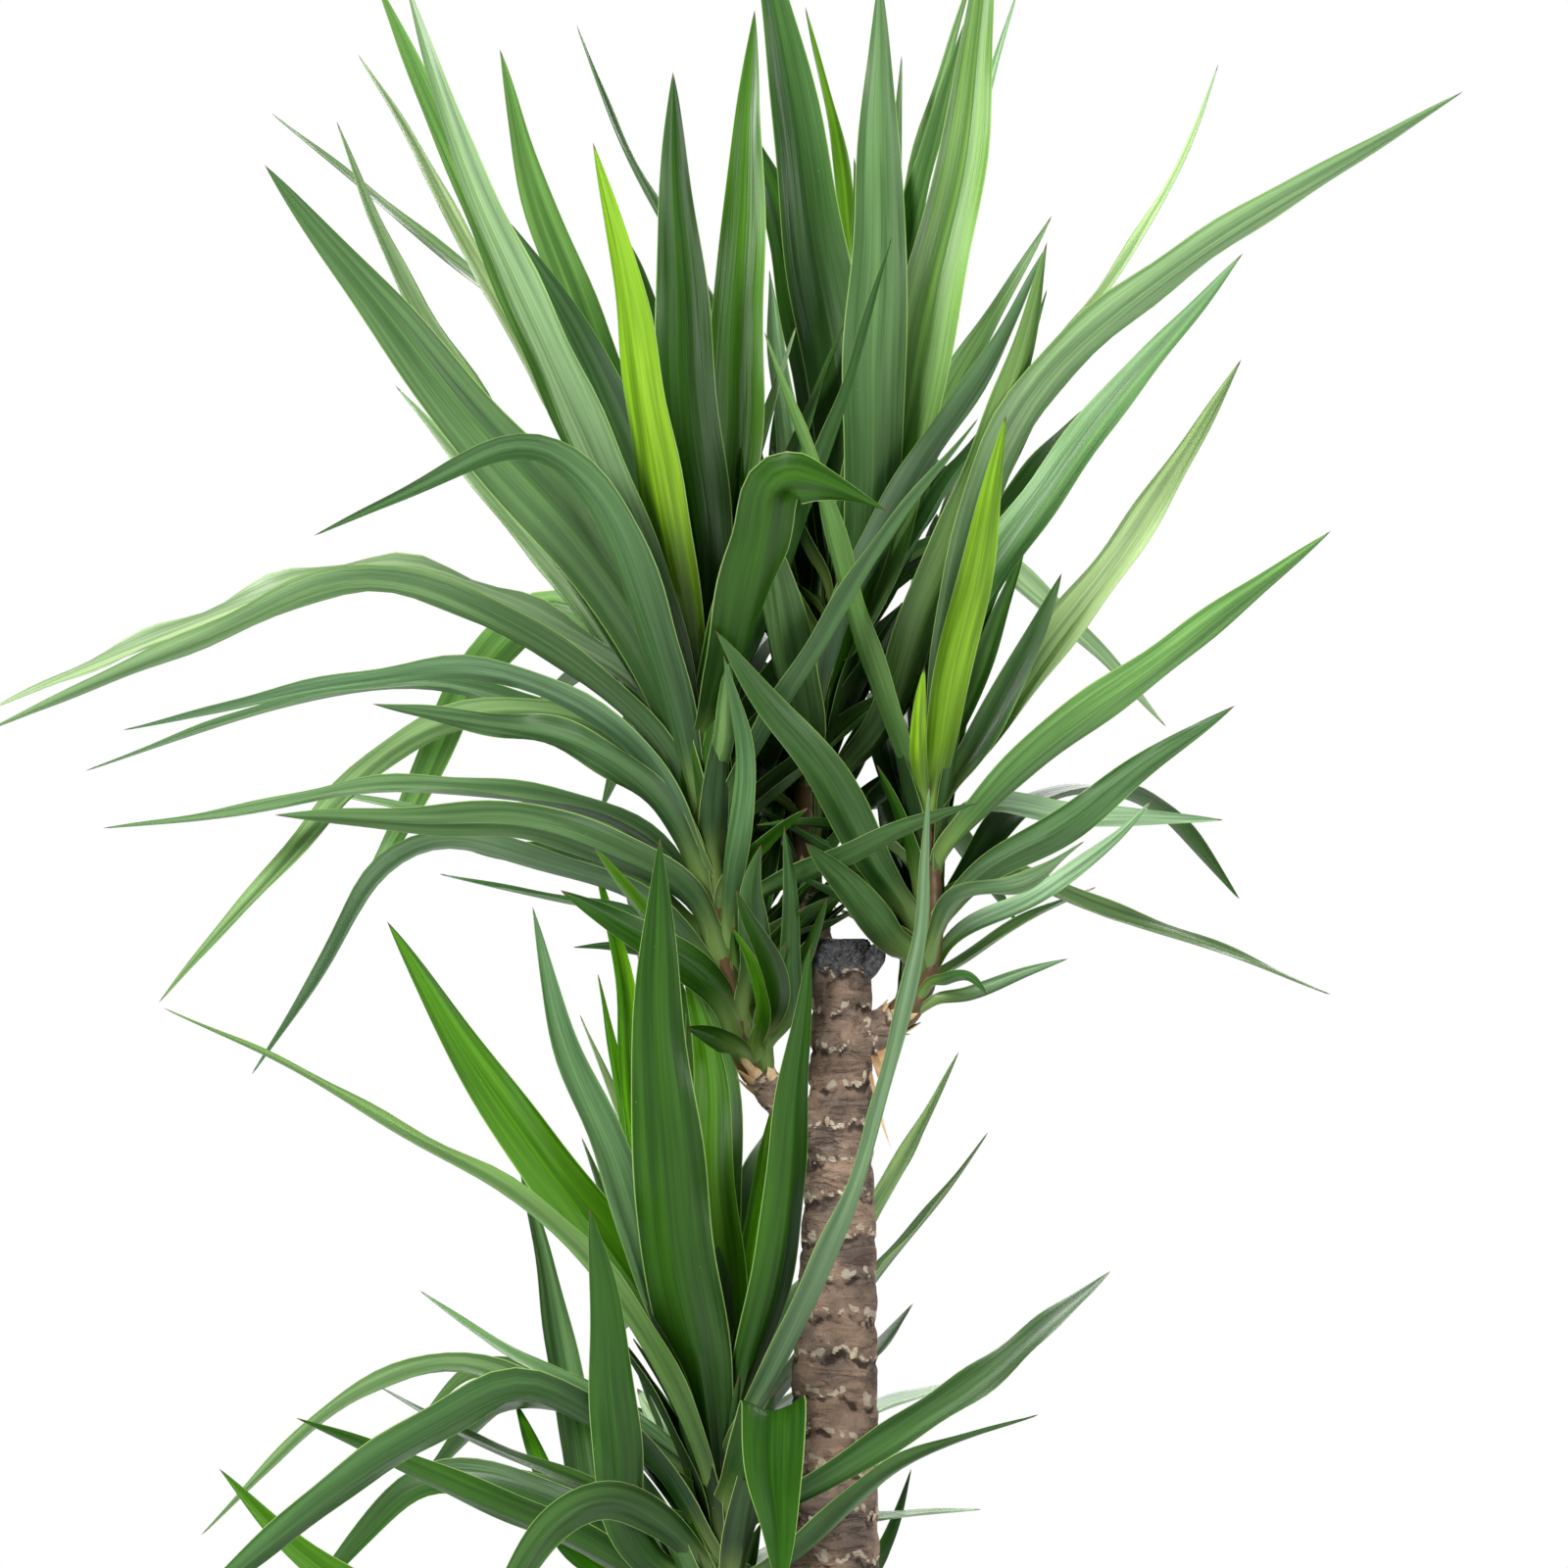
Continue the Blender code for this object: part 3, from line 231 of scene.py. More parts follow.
LEFT_LEAVES = (
    Leaf(1085, 42, -60, MATT, ((-92, 1200), (-180, 1305), (-257, 1400), (-318, 1475))),
    Leaf(1075, (32, 13), -140, MATT, ((-82, 1195), (-127, 1288), (-150, 1303), (-210, 1283), (-288, 1248))),
    Leaf(1095, 16, 60, PALE, ((-100, 1178), (-150, 1258), (-205, 1355), (-247, 1430), (-274, 1502))),
    Leaf(1110, 28, 30, LIT, ((-84, 1215), (-120, 1300), (-166, 1400), (-210, 1498), (-252, 1592))),
    Leaf(1100, 26, -30, SHEEN, ((-72, 1195), (-100, 1262), (-153, 1382), (-199, 1485), (-233, 1592))),
    Leaf(1120, 15, 130, PALE, ((-110, 1270), (-186, 1408), (-226, 1486), (-261, 1543))),
    Leaf(1130, 30, 70, LIT, ((-75, 1240), (-118, 1360), (-153, 1458), (-174, 1546))),
    Leaf(1100, 38, 0, MATT, ((-72, 1220), (-100, 1310), (-145, 1400), (-168, 1440))),
    Leaf(1130, 27, -50, YOUNG, ((-60, 1195), (-77, 1276), (-98, 1410), (-117, 1489))),
    Leaf(1135, 39, 0, DEEP, ((-47, 1210), (-56, 1300), (-66, 1450), (-68, 1532))),
    Leaf(1125, 36, 60, FRESH, ((-40, 1220), (-31, 1320), (-24, 1470), (-18, 1570))),
    Leaf(1080, 14, 100, PALE, ((-118, 1193), (-160, 1247), (-190, 1283), (-238, 1340))),
    Leaf(1050, 19, -60, SHEEN, (
        (-66, 1107), (-120, 1161), (-180, 1200), (-235, 1219), (-262, 1221), (-350, 1187), (-490, 1128))),
    Leaf(1065, 20, 30, PALE, (
        (-82, 1150), (-157, 1198), (-215, 1221), (-262, 1225), (-350, 1198), (-488, 1141))),
    Leaf(1090, 28, 120, LIT, ((-100, 1175), (-150, 1203), (-186, 1165), (-230, 1078), (-270, 1008))),
    Leaf(1050, 17, 40, SHEEN, (
        (-110, 1128), (-165, 1140), (-215, 1130), (-262, 1095), (-320, 1033), (-383, 962))),
    Leaf(1035, (16, 10), -10, SHEEN, ((-85, 1112), (-130, 1144), (-190, 1167), (-254, 1159), (-405, 1129))),
    Leaf(1040, (12, 5), 60, SHEEN, ((-90, 1116), (-144, 1140), (-215, 1158), (-300, 1147), (-428, 1104))),
    Leaf(1030, 20, -90, MATT, ((-85, 1095), (-125, 1120), (-180, 1133), (-252, 1145))),
    Leaf(1005, 9, 10, SHEEN, (
        (-80, 1063), (-126, 1083), (-193, 1094), (-230, 1096), (-325, 1080), (-417, 1069))),
    Leaf(1020, 8, 110, SHEEN, ((-120, 1075), (-200, 1078), (-290, 1092))),
    Leaf(985, 24, -100, MATT, ((-58, 1030), (-105, 1055), (-160, 1072), (-230, 1074), (-312, 1077))),
    Leaf(990, 18, 60, MATT, ((-90, 1035), (-144, 1052), (-180, 1056), (-212, 1064))),
    Leaf(975, 13, -40, SHEEN, (
        (-87, 1026), (-156, 1050), (-212, 1062), (-243, 1046), (-284, 980), (-326, 918))),
    Leaf(965, 4, 20, SHEEN, ((-80, 1010), (-140, 1026), (-211, 1041))),
    Leaf(936, 23, -70, DEEP, ((-45, 975), (-105, 1012), (-137, 1031))),
    Leaf(975, 8, 90, MATT, ((-100, 997), (-129, 996))),
    Leaf(926, 14, -60, DEEP, ((-35, 938), (-60, 947))),
    Leaf(1080, 13, -60, LIT, ((-38, 1120), (-33, 1178))),
    Leaf(990, 15, -110, MATT, ((-32, 1040), (-25, 1115), (-37, 1175))),
    Leaf(960, 11, -90, FRESH, ((-70, 1000), (-117, 1058))),
    Leaf(1060, 12, -80, MATT, ((-25, 1105), (20, 1180), (60, 1243), (119, 1320))),
    Leaf(1110, (18, 24, 38, 45, 12), -210, DEEP,
         ((-33, 1170), (-12, 1250), (-4, 1282), (20, 1281), (65, 1263))),
    Leaf(1140, 10, 30, PALE, ((-35, 1220), (-20, 1288), (8, 1378))),
    Leaf(1120, 9, -40, GREEN, ((-10, 1200), (20, 1285), (48, 1370), (66, 1431))),
    Leaf(1128, 10, 80, GREEN, ((-22, 1215), (2, 1288), (37, 1378))),
    Leaf(926, 13, -70, GREEN, ((3, 950), (5, 1000), (0, 1070))),
    Leaf(950, 19, -90, GREEN, ((-18, 985), (-21, 1030), (-14, 1059))),
    Leaf(930, 16, -120, DEEP, ((-6, 955), (-29, 1031))),
    Leaf(928, 9, -150, FRESH, ((-13, 962), (-32, 1009))),
    Leaf(924, 11, -40, DEEP, ((2, 962), (27, 1027))),
    Leaf(1015, 14, -110, GREEN, ((0, 1035), (32, 1050), (70, 1068), (120, 1085))),
)

BACK_LEAVES = (
    Leaf(1140, 10, 120, SHEEN, ((-60, 1295), (-100, 1335), (-211, 1423), (-314, 1507))),
    Leaf(1130, 8, 110, SHEEN, ((-10, 1250), (-50, 1400), (-98, 1485), (-127, 1561))),
    Leaf(1165, 42, 10, GREEN, ((42, 1250), (32, 1350), (15, 1451), (-5, 1576), (-22, 1640))),
    Leaf(1180, 14, 70, YOUNG, ((43, 1300), (35, 1465), (13, 1572))),
    Leaf(1175, 10, 100, GREEN, ((48, 1350), (43, 1480))),
    Leaf(1170, 39, -60, MATT, ((49, 1230), (54, 1300), (58, 1450), (58.5, 1592))),
    Leaf(1185, 8, 120, SHEEN, ((64, 1400), (70, 1490), (72, 1542))),
    Leaf(1176, 18, 70, MATT, ((60, 1300), (72, 1400), (84, 1460), (114, 1572))),
    Leaf(1160, 38, 20, LIT, ((60, 1230), (70, 1290), (84, 1364), (107, 1468), (128, 1640))),
    Leaf(1150, 14, 90, SHEEN, ((58, 1300), (88, 1495), (118, 1600))),
    Leaf(1152, 10, 130, PALE, ((75, 1280), (105, 1420), (128, 1530), (144, 1585))),
    Leaf(1145, 19, 70, PALE, ((70, 1230), (92, 1318), (125, 1375), (164, 1444))),
    Leaf(1120, 19, -20, SHEEN, ((42, 1215), (75, 1275), (118, 1340), (160, 1424))),
    Leaf(1085, 28, -110, LIT, ((60, 1130), (88, 1205), (113, 1265), (138, 1330), (161, 1428))),
    Leaf(1132, 20, 130, PALE, ((8, 1250), (-3, 1345), (-9, 1411))),
    Leaf(1095, (22, 34), -150, MATT, ((7, 1165), (-5, 1215), (-15, 1264))),
    Leaf(1150, 18, 180, PALE, ((60, 1215), (110, 1240), (165, 1203), (234, 1131))),
    Leaf(1140, 8, 110, SHEEN, ((100, 1280), (148, 1355), (161, 1399))),
)

RIGHT_LEAVES = (
    Leaf(1000, 26, -80, GREEN, ((55, 1050), (20, 1110), (-18, 1157), (-42, 1190))),
    Leaf(980, 22, -100, GREEN, ((52, 1018), (13, 1060))),
    Leaf(1035, 8, -40, DEEP, ((60, 1062), (25, 1071), (-17, 1071))),
    Leaf(1110, 24, -60, SHEEN, (
        (106, 1210), (130, 1295), (188, 1372), (205, 1387), (300, 1450), (416, 1520))),
    Leaf(1105, 26, 20, SHEEN, ((110, 1190), (160, 1275), (208, 1335), (281, 1421))),
    Leaf(1075, 23, 60, PALE, ((125, 1125), (162, 1178), (222, 1258), (280, 1356))),
    Leaf(1078, 19, 10, MATT, ((120, 1125), (147, 1172), (170, 1225))),
    Leaf(1072, 24, -70, YOUNG, ((96, 1120), (108, 1185), (122, 1250), (136, 1322))),
    Leaf(1076, 11, -70, YOUNG, ((81, 1115), (86, 1168))),
    Leaf(1090, 14, 90, SHEEN, ((120, 1165), (148, 1243))),
    Leaf(1045, 24, -80, LIT, ((130, 1092), (185, 1138), (245, 1182), (335, 1251))),
    Leaf(1005, 22, -90, MATT, ((120, 1040), (170, 1070), (222, 1108), (276, 1144))),
    Leaf(1060, 15, 120, PALE, ((120, 1082), (190, 1075), (269, 1074))),
    Leaf(985, 12, -120, SHEEN, ((108, 1027), (145, 1036), (184, 1061))),
    Leaf(978, 12, 60, PALE, ((108, 1005), (155, 1028), (203, 1061), (226, 1087))),
    Leaf(970, 6, 100, SHEEN, ((115, 992), (165, 1021), (191, 1033))),
    Leaf(962, 9, -40, SHEEN, ((100, 964), (148, 982), (174, 989))),
    Leaf(968, 8, -90, GREEN, ((97, 976), (112, 978), (125, 967))),
    Leaf(1020, (14, 4), 110, SHEEN, ((130, 1040), (185, 1023), (270, 993), (335, 967))),
    Leaf(1110, 8, 120, PALE, ((104, 1220), (150, 1330), (211, 1421), (250, 1490), (266, 1537))),
    Leaf(1070, (16, 9), -130, LIT, ((63, 1140), (43, 1200), (14, 1300), (-12, 1373))),
    Leaf(1095, 6, -10, SHEEN, ((46, 1170), (20, 1208), (-18, 1283), (-65, 1359))),
)

LOW_LEAVES = (
    Leaf(640, 46, -60, DEEP, ((-52, 740), (-66, 820), (-75, 910), (-77, 1000), (-76, 1063))),
    Leaf(690, 30, 40, FRESH, ((-36, 770), (-44, 860), (-47, 930), (-62, 990))),
    Leaf(700, 12, 110, YOUNG, ((-65, 790), (-92, 870), (-114, 980))),
    Leaf(705, 18, 80, YOUNG, ((-60, 785), (-86, 860), (-101, 985), (-117, 1053))),
    Leaf(690, 24, 10, SHEEN, ((-70, 765), (-104, 860), (-139, 953), (-154, 1021))),
    Leaf(700, 7, 140, PALE, ((-80, 840), (-125, 955))),
    Leaf(690, 10, 150, LIT, ((-90, 795), (-124, 880))),
    Leaf(675, 36, -10, FRESH, ((-65, 740), (-100, 803), (-155, 873), (-208, 955), (-243, 1012))),
    Leaf(645, (20, 5), -80, LIT, (
        (-66, 722), (-118, 803), (-165, 845), (-222, 877), (-300, 922), (-380, 959))),
    Leaf(665, 8, 60, SHEEN, ((-100, 712), (-180, 754), (-223, 786))),
    Leaf(660, 10, 20, SHEEN, ((-95, 695), (-150, 722), (-205, 742), (-258, 726), (-318, 674), (-357, 636))),
    Leaf(665, 14, 130, MATT, ((-100, 705), (-150, 735), (-185, 739), (-228, 700))),
    Leaf(620, (15, 32), -170, GREEN, (
        (-85, 686), (-128, 714), (-160, 731), (-203, 708), (-299, 645), (-380, 575))),
    Leaf(590, 20, -50, DEEP, ((-95, 615), (-150, 645), (-225, 677), (-299, 708))),
    Leaf(640, 5, 90, GREEN, ((-100, 658), (-172, 686), (-249, 728))),
    Leaf(600, 20, 180, FRESH, ((-100, 612), (-130, 630), (-149, 680), (-165, 719))),
    Leaf(640, 5, 150, SHEEN, ((-110, 658), (-157, 671), (-206, 680))),
    Leaf(585, 28, -20, FRESH, ((-110, 572), (-200, 574), (-280, 612), (-346, 677))),
    Leaf(600, 22, 80, GREEN, ((-115, 645), (-180, 668), (-222, 668), (-262, 632), (-300, 585))),
    Leaf(605, 24, -150, GREEN, ((-75, 645), (-107, 658), (-137, 645), (-168, 605), (-190, 560))),
    Leaf(620, 24, 170, SHEEN, ((-80, 625), (-115, 645), (-130, 710), (-142, 780), (-162, 862))),
    Leaf(610, 30, -150, DEEP, ((-72, 612), (-95, 635), (-102, 700), (-113, 800), (-119, 836))),
    Leaf(655, 22, 60, PALE, ((-62, 688), (-90, 726))),
    Leaf(685, 12, 80, YOUNG, ((-31, 720), (-24, 770), (-13, 860), (-4, 912))),
    Leaf(690, 26, -80, DEEP, ((-22, 740), (-9, 780), (0, 850), (16, 996))),
    Leaf(688, (20, 17, 3, 15, 15), -120, SHEEN, ((-6, 735), (38, 835), (61, 903), (84, 1005), (89, 1097))),
    Leaf(650, 40, -220, DEEP, ((-12, 700), (-8, 719), (-6, 680), (-2, 600)), level=True),
    Leaf(680, 14, 280, PALE, ((0, 765), (55, 833), (107, 932))),
    Leaf(684, 5, 310, SHEEN, ((20, 752), (56, 796), (93, 839), (125, 883))),
    Leaf(672, 13, 300, DEEP, ((10, 714), (58, 750), (79, 778))),
    Leaf(640, 19, 300, MATT, ((20, 665), (80, 702), (150, 755), (200, 798))),
    Leaf(660, 8, 330, PALE, ((10, 690), (58, 715), (125, 733))),
    Leaf(600, (20, 6), -140, GREEN, ((10, 628), (65, 676), (105, 694), (156, 710))),
    Leaf(640, 6, 330, SHEEN, ((10, 662), (45, 675), (89, 691))),
    Leaf(590, 16, 290, DEEP, ((20, 600), (60, 622), (78, 677))),
    Leaf(612, 4, 330, SHEEN, ((10, 632), (60, 648), (121, 652))),
)


@dataclass(frozen=True)
class Crown:
    """A leafy shoot: its woody base, its green stem, its leaves and how many fill its back."""

    name: str
    wood: tuple[tuple[float, float, float, float], ...]
    stem: tuple[tuple[float, float, float, float], ...]
    leaves: tuple[Leaf, ...]
    hidden: int
    hidden_length: float


CROWNS = (
    Crown("left_crown", LEFT_WOOD, LEFT_GREEN, LEFT_LEAVES, 10, 400.0),
    Crown("back_crown", BACK_WOOD, BACK_GREEN, BACK_LEAVES, 10, 400.0),
    Crown("right_crown", RIGHT_WOOD, RIGHT_GREEN, RIGHT_LEAVES, 10, 360.0),
    Crown("low_crown", LOW_WOOD, LOW_GREEN, LOW_LEAVES, 9, 380.0),
)


class Curve:
    """A smooth curve through knots, by its share of the chord length."""

    def __init__(self, knots: Sequence[Sequence[float]]) -> None:
        """Measure the chords and the slope at each knot.

        Args:
            knots: The points that the curve goes through.
        """
        self.knots = [Vector(knot) for knot in knots]
        steps = [(b - a).length for a, b in zip(self.knots, self.knots[1:])]
        self.at = [sum(steps[:i]) for i in range(len(self.knots))]
        self.length = self.at[-1]
        self.slopes = [self.slope(i) for i in range(len(self.knots))]

    def slope(self, i: int) -> Vector:
        """The tangent at a knot, weighted by the chords on each side.

        Args:
            i: The knot's number.

        Returns:
            The tangent, over the chord length.
        """
        last = len(self.knots) - 1
        before, after = max(i - 1, 0), min(i + 1, last)
        chord = (self.knots[after] - self.knots[before]) / (self.at[after] - self.at[before])
        if i in (0, last):
            return chord
        near = (self.knots[i] - self.knots[before]) / (self.at[i] - self.at[before])
        far = (self.knots[after] - self.knots[i]) / (self.at[after] - self.at[i])
        share = (self.at[i] - self.at[before]) / (self.at[after] - self.at[before])
        return near * (1 - share) + far * share

    def point(self, share: float) -> Vector:
        """The point at a share of the length, by cubic interpolation between two knots.

        Args:
            share: From 0 at the first knot to 1 at the last.

        Returns:
            The point on the curve.
        """
        place = min(max(share, 0.0), 1.0) * self.length
        i = max(k for k in range(len(self.at) - 1) if self.at[k] <= place or k == 0)
        span = self.at[i + 1] - self.at[i]
        t = (place - self.at[i]) / span
        start, end = self.knots[i], self.knots[i + 1]
        leave, meet = self.slopes[i] * span, self.slopes[i + 1] * span
        bend = start * (2 * t**3 - 3 * t**2 + 1) + end * (3 * t**2 - 2 * t**3)
        return bend + leave * (t**3 - 2 * t**2 + t) + meet * (t**3 - t**2)

    def tangent(self, share: float) -> Vector:
        """The unit direction of the curve at a share of its length."""
        return (self.point(share + 0.01) - self.point(share - 0.01)).normalized()


def on_stem(stem: Sequence[Row], height: float) -> Vector:
    """The point of a stem's axis at a height.

    Args:
        stem: The rows of the axis, from its foot up.
        height: The height above the pot's underside.

    Returns:
        The point, or an end of the axis where the height lies past it.
    """
    for low, high in zip(stem, stem[1:]):
        if height <= high[2] or high is stem[-1]:
            share = (height - low[2]) / (high[2] - low[2])
            return Vector(low[:3]).lerp(Vector(high[:3]), min(max(share, 0.0), 1.0))
    raise ValueError("a stem has two points or more")


def seen_at(x: float, depth: float, z: float) -> Vector:
    """The point at a depth that the front view shows at (x, z)."""
    scale = (EYE_DISTANCE + depth) / EYE_DISTANCE
    return Vector((x * scale, depth, EYE_HEIGHT + (z - EYE_HEIGHT) * scale))


def breadth(share: float) -> float:
    """A leaf's width at a share of its length, over its full width.

    Args:
        share: From 0 at the root to 1 at the tip.

    Returns:
        The width, from 0 to 1.
    """
    if share < WIDEST:
        return BASE_SHARE + (1 - BASE_SHARE) * math.sin(0.5 * math.pi * share / WIDEST)
    return max(0.0, 1 - ((share - WIDEST) / (1 - WIDEST)) ** TAPER) ** TAPER_ROUND


class Blade:
    """A leaf in space: the curve of its midrib, its width and the way it faces."""

    def __init__(self, knots: Sequence[Vector], full_width: float, facing: Facing, segments: int,
                 tone: Tone) -> None:
        """Keep the leaf's course and sizes.

        Args:
            knots: The points of the midrib.
            full_width: The width at the widest place.
            facing: Gives the upper side's direction and the direction across, for a tangent and a share.
            segments: How many stretches the plain blade has.
            tone: The leaf's green.
        """
        self.curve = Curve(knots)
        self.full_width = full_width
        self.facing = facing
        self.segments = segments
        self.tone = tone

    def section(self, share: float, extra_width: float, extra_thickness: float) -> list[Vector]:
        """The plain blade's four corners at a share of its length.

        Args:
            share: From 0 at the root to 1 at the tip.
            extra_width: Added on each side.
            extra_thickness: Added to the thickness.

        Returns:
            An edge, the top, the other edge and the underside.
        """
        rib = self.curve.point(share)
        upward, across = self.facing(self.curve.tangent(share), share)
        half = 0.5 * self.full_width * breadth(share) + extra_width
        thick = RIB_THICKNESS + (TIP_THICKNESS - RIB_THICKNESS) * share + extra_thickness
        sag = upward * (CHANNEL * half)
        return [rib + sag + across * half, rib - sag + upward * thick / 2,
                rib + sag - across * half, rib - sag - upward * thick / 2]

    def surface(self, first: float = 0.0, extra_width: float = 0.0,
                extra_thickness: float = 0.0) -> tuple[list[Vector], Polygons]:
        """The closed plain blade, with both of its sides split alike.

        Args:
            first: The share of the length where it begins.
            extra_width: Added on each side.
            extra_thickness: Added to the thickness.

        Returns:
            Its points and its triangles.
        """
        shares = [first + (1 - first) * i / self.segments for i in range(self.segments)]
        points = [corner for share in shares for corner in self.section(share, extra_width, extra_thickness)]
        points.append(self.curve.point(1.0))
        triangles = [(0, 1, 3), (1, 2, 3)]
        strips = ((0, 1), (2, 1), (2, 3), (0, 3))
        for ring in range(0, 4 * (self.segments - 1), 4):
            for edge, middle in strips:
                edge_on, middle_on = ring + edge + 4, ring + middle + 4
                triangles += [(ring + edge, edge_on, middle_on), (ring + edge, middle_on, ring + middle)]
        ring = 4 * (self.segments - 1)
        triangles += [(ring + edge, ring + middle, len(points) - 1) for edge, middle in strips]
        return points, triangles


def level_facing(outward: Vector) -> Facing:
    """How a blade faces whose width stays level: its upper side looks up, or back to its stem."""
    across = Vector((0, 0, 1)).cross(outward).normalized()
    return lambda tangent, share: (tangent.cross(across).normalized(), across)


def seen_blade(leaf: Leaf, stem: Sequence[Row], depth_step: float = 0.0, bow: float = 0.0) -> Blade:
    """The blade of a leaf that is given by its front view.

    Args:
        leaf: The leaf.
        stem: The rows of the axis that it grows from.
        depth_step: Added to the depth of its tip.
        bow: How far its middle bends back.

    Returns:
        The blade, turned to show the leaf's width.
    """
    root = on_stem(stem, leaf.root)
    path = [(root.x, root.z), *leaf.course]
    steps = [math.dist(a, b) for a, b in zip(path, path[1:])]
    knots = []
    for i, (x, z) in enumerate(path):
        share = sum(steps[:i]) / sum(steps)
        depth = root.y + (leaf.depth + depth_step) * share + bow * math.sin(math.pi * share)
        knots.append(seen_at(x, depth, z))
    knots[0] = root + (knots[1] - root).normalized() * ROOT_SUNK
    shown = leaf.shown if isinstance(leaf.shown, tuple) else (leaf.shown, leaf.shown)
    length = sum((b - a).length for a, b in zip(knots, knots[1:]))
    full_width = max(*shown, min(FULL_WIDTH, SLENDER * length))
    side = 1 if leaf.course[-1][0] > root.x else -1
    behind = 1 if leaf.depth > 0 else -1

    def facing(tangent: Vector, share: float) -> tuple[Vector, Vector]:
        """The upper side's direction and the direction across, turned to show the given width.

        Args:
            tangent: The midrib's direction.
            share: From 0 at the root to 1 at the tip.

        Returns:
            Both directions.
        """
        flat = Vector((tangent.x, 0, tangent.z)).normalized()
        inward = Vector((-flat.z, 0, flat.x)) * side
        toward = tangent.cross(inward).normalized() * side * behind
        place = share * (len(shown) - 1)
        k = min(int(place), len(shown) - 2)
        open_share = min(1.0, (shown[k] + (shown[k + 1] - shown[k]) * (place - k)) / full_width)
        upward = inward * math.sqrt(1 - open_share**2) + toward * open_share
        return upward, upward.cross(tangent)

    if leaf.level:
        facing = level_facing(knots[-1] - knots[0])
    return Blade(knots, full_width, facing, len(leaf.course) + 1, leaf.tone)


def arched(root: Vector, bearing: float, elevation: float, droop: float,
           length: float) -> tuple[list[Vector], Vector]:
    """The midrib of a leaf that leaves its stem straight and arches over.

    Args:
        root: Where it begins on the axis.
        bearing: The way that it points, seen from above.
        elevation: How steeply it begins.
        droop: How far it bends down by its tip.
        length: How long it is.

    Returns:
        Its knots, and the level direction that it leaves in.
    """
    outward = Vector((math.cos(bearing), math.sin(bearing), 0))
    knots = [root + outward * ROOT_SUNK]
    for third in range(3):
        angle = elevation - droop * third / 2
        reach = outward * math.cos(angle) + Vector((0, 0, math.sin(angle)))
        knots.append(knots[-1] + reach * length / 3)
    return knots, outward


def hidden_blade(crown: Crown, number: int, turn: float = 0.0, lift: float = 0.0) -> Blade:
    """One of the leaves that fill a shoot's hidden side.

    Args:
        crown: The shoot.
        number: The leaf's number, from the lowest.
        turn: An angle added to its bearing.
        lift: An angle added to its elevation.

    Returns:
        The blade.
    """
    low, high = crown.stem[0][2], crown.stem[-1][2]
    rise = (number + 0.5) / crown.hidden
    root = on_stem(crown.stem, low + (high - low) * (HIDDEN_LOW + (HIDDEN_HIGH - HIDDEN_LOW) * rise))
    swing = 2 * ((number * GOLDEN_SHARE) % 1.0) - 1
    bearing = math.pi / 2 + BACK_SPREAD * swing + turn
    elevation = LOW_ELEVATION + (HIGH_ELEVATION - LOW_ELEVATION) * rise + lift
    droop = LOW_DROOP + (HIGH_DROOP - LOW_DROOP) * rise
    knots, outward = arched(root, bearing, elevation, droop, crown.hidden_length)
    return Blade(knots, FULL_WIDTH, level_facing(outward), HIDDEN_SEGMENTS, GREEN if number % 2 else DEEP)


def seen_options(leaf: Leaf, stem: Sequence[Row]) -> Iterator[Blade]:
    """The blades that a leaf of the front view may have, the likeliest first.

    Args:
        leaf: The leaf.
        stem: The rows of its stem's axis.

    Returns:
        The blades, made one by one.
    """
    bends = sorted(((d, b) for d in DEPTH_STEPS for b in BOW_STEPS),
                   key=lambda bend: abs(bend[0]) / DEPTH_STEPS[1] + abs(bend[1]) / BOW_STEPS[1])
    return (seen_blade(leaf, stem, *bend) for bend in bends)


def hidden_options(crown: Crown, number: int) -> Iterator[Blade]:
    """The blades that one of a shoot's hidden leaves may have, the likeliest first.

    Args:
        crown: The shoot.
        number: The leaf's number.

    Returns:
        The blades, made one by one.
    """
    turns = sorted(((turn, lift) for turn in TURN_STEPS for lift in LIFT_STEPS),
                   key=lambda both: abs(both[0]) + abs(both[1]))
    return (hidden_blade(crown, number, math.radians(turn), math.radians(lift)) for turn, lift in turns)


class Solid:
    """A closed surface with its box, to test others against."""

    def __init__(self, points: list[Vector], polygons: Polygons) -> None:
        """Index a closed surface.

        Args:
            points: Its points.
            polygons: Its faces, as numbers of points.
        """
        self.tree = BVHTree.FromPolygons(points, polygons)
        self.low = [min(p[axis] for p in points) for axis in range(3)]
        self.high = [max(p[axis] for p in points) for axis in range(3)]

    def meets(self, other: "Solid") -> bool:
        """Whether the two surfaces cut each other."""
        apart = any(self.low[a] > other.high[a] or other.low[a] > self.high[a] for a in range(3))
        return not apart and bool(self.tree.overlap(other.tree))


